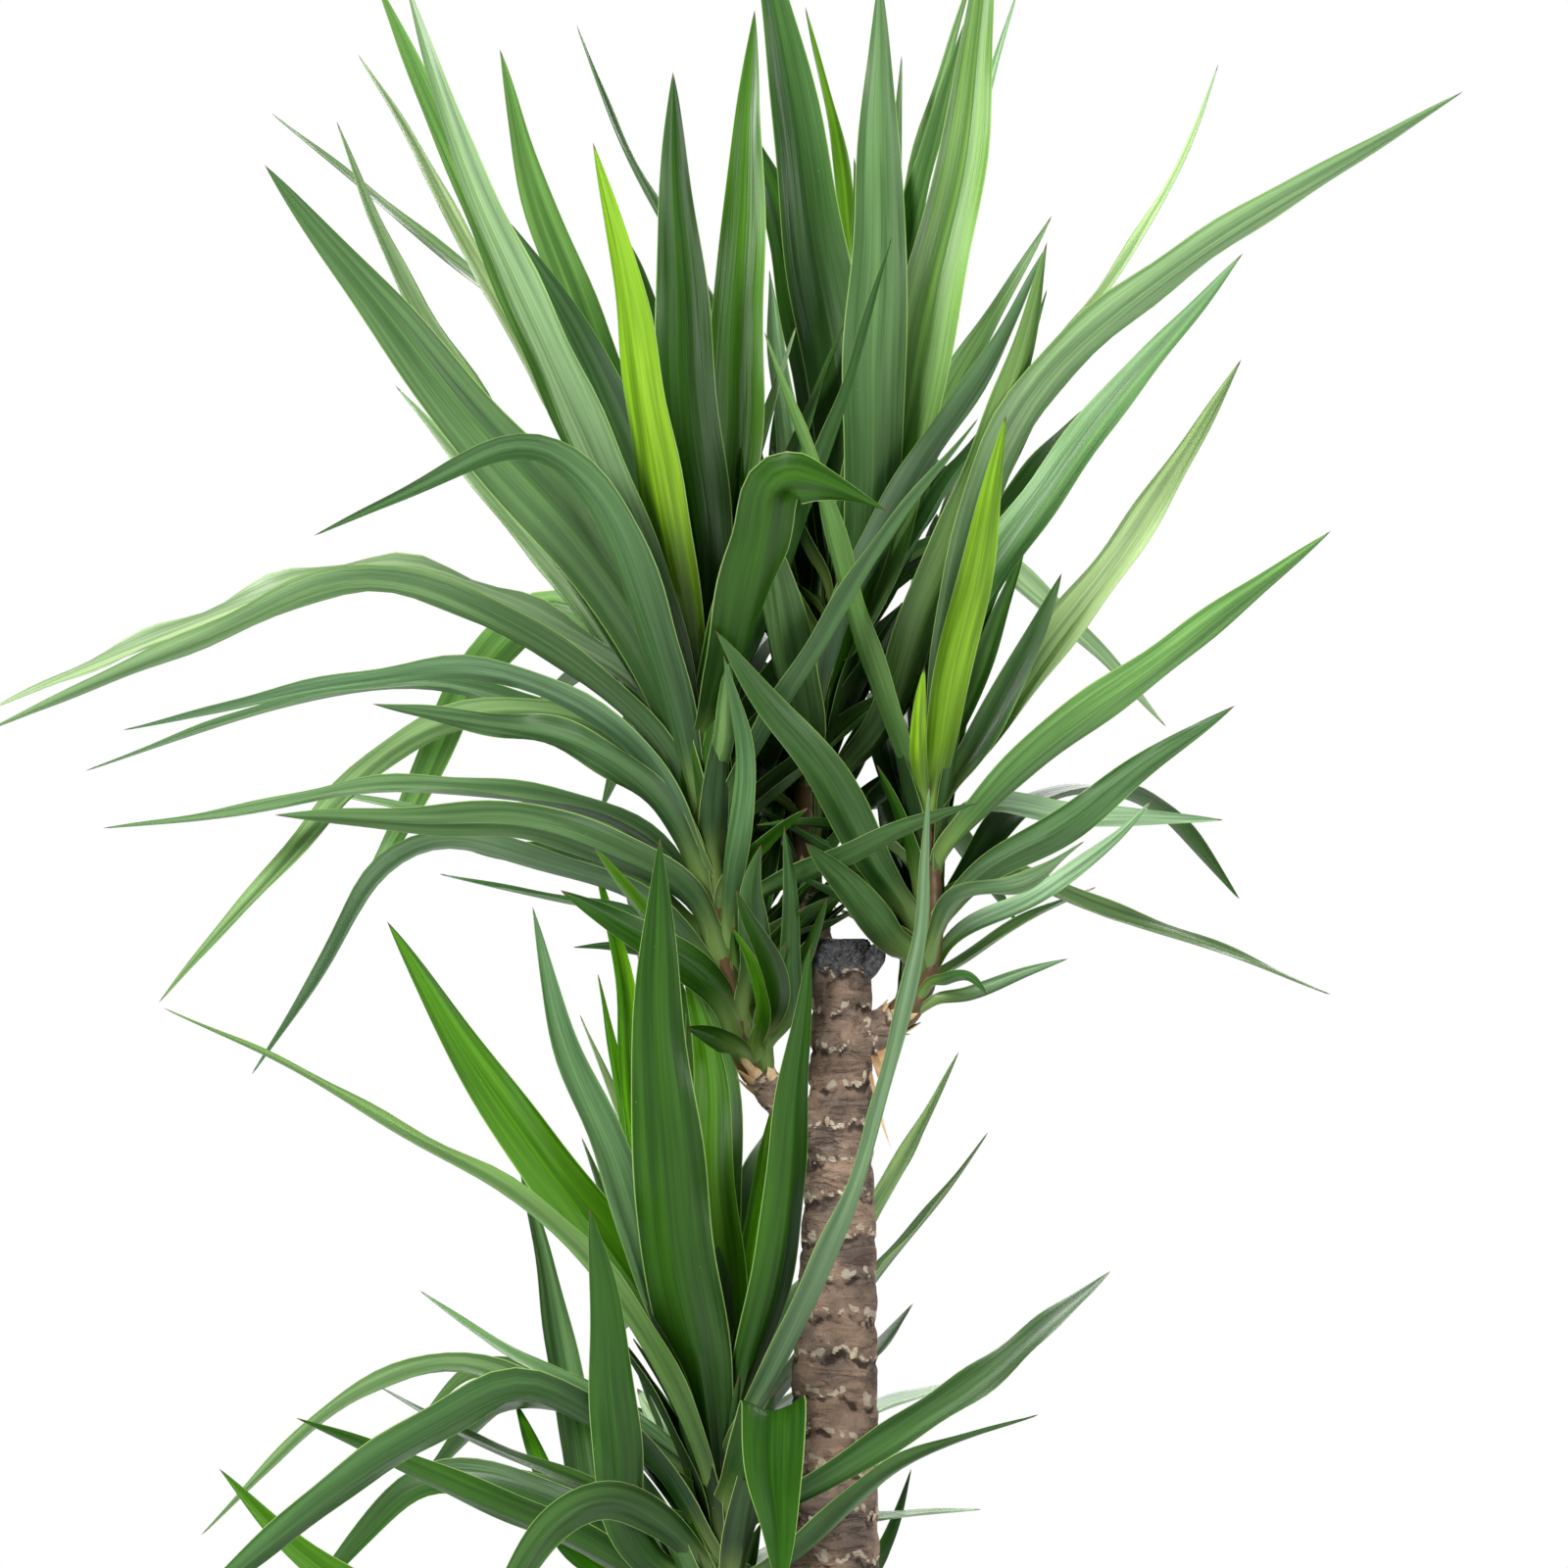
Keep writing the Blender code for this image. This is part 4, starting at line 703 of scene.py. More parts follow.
class Thicket:
    """The blades chosen so far, and what they and the next ones stay clear of."""

    def __init__(self, crowns: Sequence[Crown], standing: list[Solid]) -> None:
        """Begin with the bare stems.

        Args:
            crowns: The shoots.
            standing: What stands between them: the canes, the branches and the pot.
        """
        self.standing = standing
        self.stems = {crown.name: Solid(*tube(green_axis(crown), STEM_SIDES)) for crown in crowns}
        self.blades: dict[str, list[Blade]] = {crown.name: [] for crown in crowns}
        self.whole: dict[str, list[Solid]] = {crown.name: [] for crown in crowns}
        self.outer: dict[str, list[Solid]] = {crown.name: [] for crown in crowns}
        self.front: BVHTree | None = None

    def is_clear(self, blade: Blade, name: str) -> bool:
        """Whether a blade of one crown is clear of the other crowns and of what stands.

        Args:
            blade: The blade.
            name: Its crown's name.

        Returns:
            True if it is.
        """
        wide = Solid(*blade.surface(extra_width=CLEAR_WIDTH, extra_thickness=CLEAR_THICKNESS))
        others = [other for other in self.stems if other != name]
        near = [*self.standing, *(self.stems[other] for other in others)]
        near += [solid for other in others for solid in self.whole[other]]
        return not any(wide.meets(solid) for solid in near)

    def crossings(self, blade: Blade, name: str) -> int:
        """How many leaves of its own crown a blade crosses beyond the crowded roots."""
        outer = Solid(*blade.surface(first=OWN_ROOT_SHARE, extra_width=1, extra_thickness=1))
        return sum(outer.meets(solid) for solid in self.outer[name])

    def least_crossed(self, blades: Iterator[Blade], name: str) -> Blade:
        """The first of the blades that crosses none of its own crown, or the fewest.

        Args:
            blades: The blades to choose from, the likeliest first.
            name: The crown that they would grow in.

        Returns:
            The blade chosen.
        """
        best, fewest = None, math.inf
        for blade in blades:
            count = self.crossings(blade, name)
            if count < fewest:
                best, fewest = blade, count
            if count == 0:
                break
        return best

    def add(self, blade: Blade, name: str) -> None:
        """Keep a blade in a crown.

        Args:
            blade: The blade.
            name: The crown's name.
        """
        self.blades[name].append(blade)
        self.whole[name].append(Solid(*blade.surface()))
        self.outer[name].append(Solid(*blade.surface(first=OWN_ROOT_SHARE)))

    def close_front(self) -> None:
        """Take the blades so far as the screen that hides the leaves behind it."""
        self.front = screen_of([blade for blades in self.blades.values() for blade in blades])

    def cover(self, blade: Blade) -> float:
        """The share of a blade that the front view can't see.

        Args:
            blade: The blade.

        Returns:
            From 0 in full view to 1 quite hidden.
        """
        eye = Vector((0, -EYE_DISTANCE, EYE_HEIGHT))
        hidden = 0
        for k in range(1, COVER_SAMPLES + 1):
            sight = blade.curve.point(k / COVER_SAMPLES) - eye
            hit = self.front.ray_cast(eye, sight.normalized(), sight.length - COVER_MARGIN)
            hidden += hit[0] is not None
        return hidden / COVER_SAMPLES


def settle(crowns: Sequence[Crown], standing: list[Solid]) -> dict[str, list[Blade]]:
    """Choose each leaf's blade so that it is clear of the other crowns and of what stands.

    A blade crosses as few leaves of its own crown as it can. The leaves of the hidden side come
    last, and take the place that shows least from the front.

    Args:
        crowns: The shoots.
        standing: The solids that every leaf stays clear of.

    Returns:
        The blades of each crown, by its name.
    """
    thicket = Thicket(crowns, standing)
    for crown in crowns:
        for leaf in crown.leaves:
            clear = (b for b in seen_options(leaf, crown.stem) if thicket.is_clear(b, crown.name))
            thicket.add(thicket.least_crossed(clear, crown.name), crown.name)
    thicket.close_front()
    for crown in crowns:
        for number in range(crown.hidden):
            clear = [b for b in hidden_options(crown, number) if thicket.is_clear(b, crown.name)]
            worth = [thicket.cover(b) - CROSSING_COST * thicket.crossings(b, crown.name) for b in clear]
            if clear:
                thicket.add(clear[worth.index(max(worth))], crown.name)
    return thicket.blades


@dataclass(frozen=True)
class Heart:
    """The inner leaves of a shoot, found by trial so that they close its heart in the front view."""

    crown: Crown
    outline: tuple[tuple[float, float], ...]
    count: int = 34
    trials: int = 320
    rises: tuple[float, float] = (0.02, 0.97)
    lengths: tuple[float, float] = (100.0, 320.0)
    widths: tuple[float, float] = (20.0, 38.0)
    steepest: float = 84.0
    flattest: float = 28.0
    droop: float = 26.0
    bared: float = 26.0
    wood_width: float = 14.0
    hiding_cost: float = 1.1
    seed: int = 7

    def candidate(self, chance: random.Random) -> Blade:
        """A leaf of chance size and course.

        Args:
            chance: What the draws come from.

        Returns:
            The leaf's blade.
        """
        low, high = self.crown.stem[0][2], self.crown.stem[-1][2]
        rise = chance.uniform(*self.rises)
        root = on_stem(self.crown.stem, low + (high - low) * rise)
        bearing = chance.uniform(0, math.tau)
        elevation = math.radians(chance.uniform(self.flattest, self.steepest))
        bend = math.radians(self.droop) * chance.random()
        length = chance.uniform(*self.lengths) * (0.6 + 0.4 * rise)
        knots, outward = arched(root, bearing, elevation, bend, length)
        width = min(chance.uniform(*self.widths), 0.17 * length)
        # Painted shade: most inner leaves take the dark SHADY green, for the shadow of the leaves round them.
        tone = chance.choice((SHADY, SHADY, DEEP, DEEP, GREEN))
        return Blade(knots, width, level_facing(outward), HIDDEN_SEGMENTS, tone)

    def holds(self, x: float, z: float) -> bool:
        """Whether a place of the front view lies inside the outline.

        Args:
            x: The place across.
            z: Its height.

        Returns:
            True inside.
        """
        inside = False
        for (x0, z0), (x1, z1) in zip(self.outline, (*self.outline[1:], self.outline[0])):
            if (z0 > z) != (z1 > z) and x < x0 + (x1 - x0) * (z - z0) / (z1 - z0):
                inside = not inside
        return inside

    def worth(self, blade: Blade, screen: BVHTree) -> float:
        """How much of the heart a leaf closes, less what it hides.

        Args:
            blade: The leaf.
            screen: The leaves so far.

        Returns:
            The worth, below zero for a leaf that shows outside the outline.
        """
        eye = Vector((0, -EYE_DISTANCE, EYE_HEIGHT))
        closed, hiding = 0.0, 0.0
        for k in range(1, 13):
            share = k / 12
            _, across = blade.facing(blade.curve.tangent(share), share)
            for side in (-1, 0, 1):
                point = blade.curve.point(share) + across * (0.45 * side * blade.full_width * breadth(share))
                sight = (point - eye).normalized()
                far = (point - eye).length
                if screen.ray_cast(eye, sight, far - COVER_MARGIN)[0] is not None:
                    continue
                scale = EYE_DISTANCE / (EYE_DISTANCE + point.y)
                x, z = point.x * scale, EYE_HEIGHT + (point.z - EYE_HEIGHT) * scale
                if not self.holds(x, z):
                    return -1.0
                behind = screen.ray_cast(point + sight * COVER_MARGIN, sight)[0] is not None
                bare = (point - on_stem(self.crown.stem, point.z)).length < self.bared
                if BACK_WOOD[1][2] < z < BACK_WOOD[-1][2]:
                    bare |= abs(on_stem(BACK_WOOD, z).x - x) < self.wood_width
                closed += not behind or bare
                hiding += behind and not bare
        return closed * blade.full_width / FULL_WIDTH - self.hiding_cost * hiding

    def fill(self, blades: dict[str, list[Blade]], standing: Sequence[Solid]) -> list[Blade]:
        """Find the inner leaves.

        Args:
            blades: The leaves of every shoot so far.
            standing: What they stay clear of.

        Returns:
            The inner leaves.
        """
        chance = random.Random(self.seed)
        pool = [self.candidate(chance) for _ in range(self.trials)]
        pool = [blade for blade in pool
                if not any(Solid(*blade.surface(first=0.12)).meets(solid) for solid in standing)]
        chosen: list[Blade] = []
        for _ in range(self.count):
            screen = screen_of([blade for own in blades.values() for blade in own] + chosen)
            worths = [self.worth(blade, screen) for blade in pool]
            best = max(range(len(pool)), key=worths.__getitem__)
            if worths[best] <= 0.25:
                break
            chosen.append(pool.pop(best))
        return chosen


def screen_of(blades: Sequence[Blade]) -> BVHTree:
    """A tree of the surfaces of all the blades, to cast sights at.

    Args:
        blades: The blades.

    Returns:
        The tree.
    """
    points: list[Vector] = []
    triangles: Polygons = []
    for blade in blades:
        own_points, own_triangles = blade.surface()
        triangles += [tuple(k + len(points) for k in triangle) for triangle in own_triangles]
        points += own_points
    return BVHTree.FromPolygons(points, triangles)


UPPER_HEART = (
    (-120, 1276), (-96, 1336), (-45, 1378), (0, 1378), (42, 1438), (72, 1438), (99, 1348), (126, 1276),
    (136, 1222), (111, 1132), (97, 1036), (84, 965), (58, 1000), (20, 1006), (-4, 940), (-30, 968),
    (-60, 1048), (-92, 1132), (-115, 1180), (-138, 1240),
)
LOWER_HEART = (
    (-98, 770), (-66, 796), (-36, 778), (-6, 748), (9, 712), (12, 560), (-140, 560), (-142, 660), (-118, 725),
)
INNER_FOOT = (
    (-38, 926), (-48, 1000), (-30, 1085), (52, 1085), (66, 1010), (57, 1002), (16, 1004), (10, 950), (0, 924),
)
HEARTS = (
    Heart(CROWNS[0], INNER_FOOT, 12, 260, (0.0, 0.45), (70, 190), (15, 26), seed=19),
    Heart(CROWNS[2], INNER_FOOT, 8, 200, (0.0, 0.45), (70, 170), (15, 24), seed=23),
    Heart(CROWNS[0], UPPER_HEART),
    Heart(CROWNS[1], UPPER_HEART, seed=11),
    Heart(CROWNS[2], UPPER_HEART, seed=13),
    Heart(CROWNS[3], LOWER_HEART, seed=17),
)

# Hidden leaves that are turned further back, in degrees, and leaves whose margins wave more, by number.
TURNED_BACK = ((CROWNS[2], 0, 22.0), (CROWNS[3], 0, 100.0), (CROWNS[0], 0, 30.0))
WAVY = {"left_crown": ((13, 4.0), (18, 4.0)), "right_crown": ((11, 3.0), (13, 4.0)), "low_crown": ((0, 2.5),)}


def ring_faces(count: int, rings: int, first: int = 0) -> Polygons:
    """The faces between rings of points that follow each other.

    Args:
        count: How many points a ring has.
        rings: How many rings there are.
        first: The number of their first point.

    Returns:
        The faces.
    """
    return [(ring + k, ring + (k + 1) % count, ring + count + (k + 1) % count, ring + count + k)
            for ring in range(first, first + count * (rings - 1), count) for k in range(count)]


def fan(first: int, count: int, tip: int) -> Polygons:
    """The triangles from a ring of points, by its first one's number, to a tip."""
    return [(first + k, first + (k + 1) % count, tip) for k in range(count)]


def tube(axis: Sequence[Row], sides: int,
         radius_at: Callable[[float, float, float], float] | None = None) -> tuple[list[Vector], Polygons]:
    """A closed tube of round sections.

    Args:
        axis: Its rows of (x, y, z, radius).
        sides: How many sides a section has.
        radius_at: Gives the radius for a row's radius, an angle and a height, where it isn't round.

    Returns:
        Its points and polygons.
    """
    points = []
    centres = [Vector(row[:3]) for row in axis]
    for i, (centre, row) in enumerate(zip(centres, axis)):
        along = (centres[min(i + 1, len(centres) - 1)] - centres[max(i - 1, 0)]).normalized()
        side = along.cross(Vector((0, 1, 0))).normalized()
        front = side.cross(along)
        for k in range(sides):
            angle = 2 * math.pi * k / sides
            radius = radius_at(row[3], angle, row[2]) if radius_at else row[3]
            points.append(centre + (side * math.cos(angle) + front * math.sin(angle)) * radius)
    foot = tuple(reversed(range(sides)))
    top = tuple(range((len(axis) - 1) * sides, len(axis) * sides))
    return points, [*ring_faces(sides, len(axis)), foot, top]


def green_axis(crown: Crown) -> list[Row]:
    """The rows of a green stem, which begins square on the end of its woody base.

    Args:
        crown: The shoot.

    Returns:
        The rows.
    """
    before, end = Vector(crown.wood[-2][:3]), Vector(crown.wood[-1][:3])
    along = (end - before).normalized()
    radius = crown.stem[0][3]
    return [(*(end + along * GAP), radius), (*(end + along * SQUARE_LENGTH), radius), *crown.stem[1:]]


def standing_solids() -> list[Solid]:
    """What the leaves stay clear of: the canes, the woody branches and the pot's rim.

    Returns:
        A closed surface for each.
    """
    canes = [[(x, y, z, radius + BARK_CLEAR) for x, y, z, radius in cane] for cane in (TALL_CANE, SHORT_CANE)]
    brim = POT_TOP_RADIUS + POT_RIM_PROUD
    rim = ((0, 0, 0, brim), (0, 0, POT_HEIGHT, brim))
    standing = (*canes, LEFT_WOOD, RIGHT_WOOD, BACK_WOOD, LOW_WOOD, rim)
    return [Solid(*tube(rows, CANE_SIDES)) for rows in standing]


class Graph:
    """A node tree under construction: each call adds a node and hands back what comes out of it."""

    def __init__(self, tree: bpy.types.NodeTree) -> None:
        """Work on a tree."""
        self.tree = tree

    def node(self, kind: str, **settings: Any) -> bpy.types.Node:
        """Add a node and set its properties.

        Args:
            kind: The node's type.
            settings: Its properties.

        Returns:
            The node.
        """
        made = self.tree.nodes.new(kind)
        for name, value in settings.items():
            setattr(made, name, value)
        return made

    def feed(self, socket: Socket, value: Value) -> None:
        """Link a socket to another's output, or set its number, vector or colour.

        Args:
            socket: The socket.
            value: An output, or what the socket is set to.
        """
        if isinstance(value, bpy.types.NodeSocket):
            self.tree.links.new(value, socket)
        elif socket.type == "RGBA":
            socket.default_value = (*value, 1.0)
        else:
            socket.default_value = value

    def wired(self, kind: str, values: dict[str, Any], **settings: Any) -> bpy.types.Node:
        """Add a node and feed its inputs.

        Args:
            kind: The node's type.
            values: What each input gets, by its name.
            settings: The node's properties.

        Returns:
            The node.
        """
        made = self.node(kind, **settings)
        for name, value in values.items():
            self.feed(made.inputs[name], value)
        return made

    def math(self, operation: str, *values: Value) -> Socket:
        """The result of a sum on numbers.

        Args:
            operation: The kind of sum.
            values: Its numbers.

        Returns:
            The result.
        """
        made = self.node("ShaderNodeMath", operation=operation)
        for socket, value in zip(made.inputs, values):
            self.feed(socket, value)
        return made.outputs[0]

    def times(self, one: Value, other: Value) -> Socket:
        """The product of two numbers."""
        return self.math("MULTIPLY", one, other)

    def plus(self, one: Value, other: Value) -> Socket:
        """The sum of two numbers."""
        return self.math("ADD", one, other)

    def minus(self, one: Value, other: Value) -> Socket:
        """One number less another."""
        return self.math("SUBTRACT", one, other)

    def shaded(self, share: Value, colour: Socket, factors: Colour) -> Socket:
        """A colour, of which a share has its channels multiplied."""
        return self.mix(share, colour, self.tinted(colour, factors))

    def tinted(self, colour: Socket, factors: Colour) -> Socket:
        """A colour with each of its channels multiplied.

        Args:
            colour: The colour.
            factors: A factor for each channel.

        Returns:
            The new colour.
        """
        made = self.node("ShaderNodeVectorMath", operation="MULTIPLY")
        self.feed(made.inputs[0], colour)
        self.feed(made.inputs[1], factors)
        return made.outputs[0]

    def mix(self, share: Value, low: Value, high: Value) -> Socket:
        """A colour between two others.

        Args:
            share: From 0 for the first to 1 for the second.
            low: The first.
            high: The second.

        Returns:
            The colour.
        """
        made = self.node("ShaderNodeMix", data_type="RGBA")
        sockets = {socket.identifier: socket for socket in made.inputs}
        for name, value in (("Factor_Float", share), ("A_Color", low), ("B_Color", high)):
            self.feed(sockets[name], value)
        return next(socket for socket in made.outputs if socket.identifier == "Result_Color")

    def ramp(self, value: Value, start: float, end: float, low: float = 0.0, high: float = 1.0) -> Socket:
        """A number eased from low to high while a value goes from start to end.

        Args:
            value: The value.
            start: Where it begins.
            end: Where it ends.
            low: The number at the start.
            high: The number at the end.

        Returns:
            The number.
        """
        made = self.node("ShaderNodeMapRange", interpolation_type="SMOOTHSTEP")
        for socket, number in zip(made.inputs, (value, start, end, low, high)):
            self.feed(socket, number)
        return made.outputs[0]

    def vector(self, x: Value, y: Value, z: Value) -> Socket:
        """A vector from three numbers.

        Args:
            x: The first.
            y: The second.
            z: The third.

        Returns:
            The vector.
        """
        made = self.node("ShaderNodeCombineXYZ")
        for socket, value in zip(made.inputs, (x, y, z)):
            self.feed(socket, value)
        return made.outputs[0]

    def noise(self, place: Socket, scale: float, detail: float = 3.0, roughness: float = 0.55,
              twist: float = 0.0) -> Socket:
        """A cloudy pattern from 0 to 1.

        Args:
            place: Where it is read.
            scale: How fine it is.
            detail: How many finer layers it has.
            roughness: How strong those are.
            twist: How far it is bent about.

        Returns:
            The pattern.
        """
        given = {"Vector": place, "Scale": scale, "Detail": detail, "Roughness": roughness}
        return self.wired("ShaderNodeTexNoise", {**given, "Distortion": twist}).outputs[0]

    def cells(self, place: Socket, scale: float, feature: str = "F1") -> Socket:
        """The distance to the nearest of scattered points, or to the edge between two of them."""
        made = self.wired("ShaderNodeTexVoronoi", {"Vector": place, "Scale": scale}, feature=feature)
        return made.outputs["Distance"]

    def attribute(self, name: str, output: str = "Fac") -> Socket:
        """What a point attribute of the mesh holds."""
        return self.node("ShaderNodeAttribute", attribute_name=name).outputs[output]

    def place(self, stretch: Colour = (1.0, 1.0, 1.0)) -> Socket:
        """The place in the object's own metres, stretched along each axis."""
        made = self.node("ShaderNodeTexCoord")
        return self.tinted(made.outputs["Object"], stretch)

    def bump(self, height: Socket, strength: float, distance: float) -> Socket:
        """A normal that shows a height."""
        given = {"Strength": strength, "Distance": distance, "Height": height}
        return self.wired("ShaderNodeBump", given).outputs["Normal"]


@dataclass(frozen=True)
class Finish:
    """A surface finish: its name, and how rough and how shiny it is where nothing else says so."""

    name: str
    roughness: float = 0.5
    specular: float = 0.5

    def build(self) -> bpy.types.Material:
        """Make the material.

        Returns:
            The material.
        """
        material = bpy.data.materials.new(self.name)
        material.use_nodes = True
        graph = Graph(material.node_tree)
        shader = material.node_tree.nodes["Principled BSDF"]
        shader.inputs["Roughness"].default_value = self.roughness
        shader.inputs["Specular IOR Level"].default_value = self.specular
        self.dress(graph, shader.inputs)
        return material

    def dress(self, graph: Graph, shader: Any) -> None:
        """Wire the patterns of the finish to the shader's sockets.

        Args:
            graph: The material's node tree.
            shader: The inputs of its main shader.
        """
        raise NotImplementedError(self.name)


@dataclass(frozen=True)
class BladeFinish(Finish):
    """A leaf: lengthwise stripes and veins, a soft midrib, a pale margin, base and tip of their own, and
    painted shade towards the root and on its tucked base.
    """

    margin: Colour = (0.34, 0.47, 0.15)
    neck: Colour = (0.25, 0.37, 0.09)
    tip: Colour = (0.13, 0.075, 0.03)
    scar: Colour = (0.34, 0.40, 0.22)
    through: float = 0.28

    def dress(self, graph: Graph, shader: Any) -> None:
        """Wire the patterns of the finish to the shader's sockets.

        Args:
            graph: The material's node tree.
            shader: The inputs of its main shader.
        """
        across, along, seed, side = (graph.attribute(name) for name in ("across", "along", "seed", "side"))
        reach, left, girth = (graph.attribute(name) for name in ("reach", "left", "girth"))
        tone = graph.attribute("tone", "Color")
        edge = graph.math("ABSOLUTE", across)
        lot = graph.times(seed, 40.0)
        wide = graph.times(girth, graph.ramp(left, 0.0, 0.16))
        stripe = graph.noise(graph.vector(graph.times(across, 1.5), along, lot), 1.5, 3.0, 0.6)
        vein = graph.noise(graph.vector(graph.times(across, 9.0), along, lot), 1.9, 1.0)
        cloud = graph.noise(graph.vector(across, graph.times(along, 5.0), lot), 1.0, 3.0)
        colour = graph.mix(graph.ramp(stripe, 0.32, 0.68), graph.tinted(tone, (0.62, 0.70, 0.64)),
                           graph.tinted(tone, (1.46, 1.34, 1.50)))
        bright = graph.tinted(colour, (1.5, 1.36, 1.45))
        veined = graph.times(graph.ramp(vein, 0.38, 0.66, 0.0, 0.5), wide)
        colour = graph.mix(veined, colour, bright)
        dull = graph.tinted(colour, (0.72, 0.82, 0.72))
        colour = graph.mix(graph.ramp(cloud, 0.35, 0.75, 0.0, 0.5), colour, dull)
        midrib = graph.tinted(tone, (1.9, 1.7, 1.7))
        colour = graph.mix(graph.ramp(edge, 0.07, 0.01, 0.0, 0.35), colour, midrib)
        # Painted shade: the blade darkens towards its root, where the crown's heart shades it.
        colour = graph.shaded(graph.ramp(along, 0.55, 0.06, 0.0, 0.85), colour, (0.36, 0.48, 0.34))
        under = graph.tinted(colour, (1.3, 1.15, 1.7))
        colour = graph.mix(graph.times(side, 0.4), colour, under)
        colour = graph.mix(graph.ramp(reach, 0.050, 0.010, 0.0, 0.6), colour, self.neck)
        # Painted shade on the edges of the base, where the leaves tuck under each other.
        tucked_shade = graph.times(graph.ramp(edge, 0.45, 0.92), graph.ramp(reach, 0.075, 0.02, 0.0, 0.75))
        colour = graph.shaded(tucked_shade, colour, (0.34, 0.42, 0.30))
        speck = graph.cells(graph.vector(across, graph.times(reach, 62.0), lot), 2.4)
        spot = graph.times(graph.ramp(speck, 0.07, 0.03), graph.ramp(cloud, 0.56, 0.66, 0.0, 0.8))
        colour = graph.mix(spot, colour, self.scar)
        colour = graph.mix(graph.ramp(edge, 0.955, 0.980, 0.0, 0.85), colour, self.margin)
        colour = graph.mix(graph.ramp(left, 0.006, 0.002), colour, self.tip)
        graph.feed(shader["Base Color"], colour)
        matt = graph.ramp(stripe, 0.3, 0.7, self.roughness - 0.06, self.roughness + 0.1)
        graph.feed(shader["Roughness"], matt)
        graph.feed(shader["Normal"], graph.bump(graph.times(stripe, wide), 0.6, 0.0022))
        self.let_light_through(graph, colour)

    def let_light_through(self, graph: Graph, colour: Socket) -> None:
        """Mix a share of light that shines through the blade into the material.

        Args:
            graph: The material's node tree.
            colour: The blade's own colour.
        """
        nodes = graph.tree.nodes
        glow = graph.node("ShaderNodeBsdfTranslucent")
        graph.feed(glow.inputs["Color"], graph.tinted(colour, (2.4, 2.8, 1.6)))
        both = graph.node("ShaderNodeMixShader")
        both.inputs[0].default_value = self.through
        graph.feed(both.inputs[1], nodes["Principled BSDF"].outputs[0])
        graph.feed(both.inputs[2], glow.outputs[0])
        graph.feed(nodes["Material Output"].inputs["Surface"], both.outputs[0])


@dataclass(frozen=True)
class StemFinish(Finish):
    """A green stem: yellow-green, ringed by old leaf bases, browner at its foot."""

    fresh: Colour = (0.23, 0.33, 0.08)
    shaded: Colour = (0.11, 0.20, 0.04)
    ring: Colour = (0.15, 0.17, 0.06)
    foot: Colour = (0.26, 0.17, 0.09)

    def dress(self, graph: Graph, shader: Any) -> None:
        """Wire the patterns of the finish to the shader's sockets.

        Args:
            graph: The material's node tree.
            shader: The inputs of its main shader.
        """
        along, groove = graph.attribute("along"), graph.attribute("across")
        cloud = graph.noise(graph.place(), 90.0, 4.0)
        colour = graph.mix(graph.ramp(cloud, 0.3, 0.7), self.shaded, self.fresh)
        colour = graph.mix(graph.ramp(groove, 0.55, 0.95, 0.0, 0.8), colour, self.ring)
        colour = graph.mix(graph.ramp(along, 0.07, 0.01), colour, self.foot)
        graph.feed(shader["Base Color"], colour)
        graph.feed(shader["Normal"], graph.bump(cloud, 0.4, 0.0008))


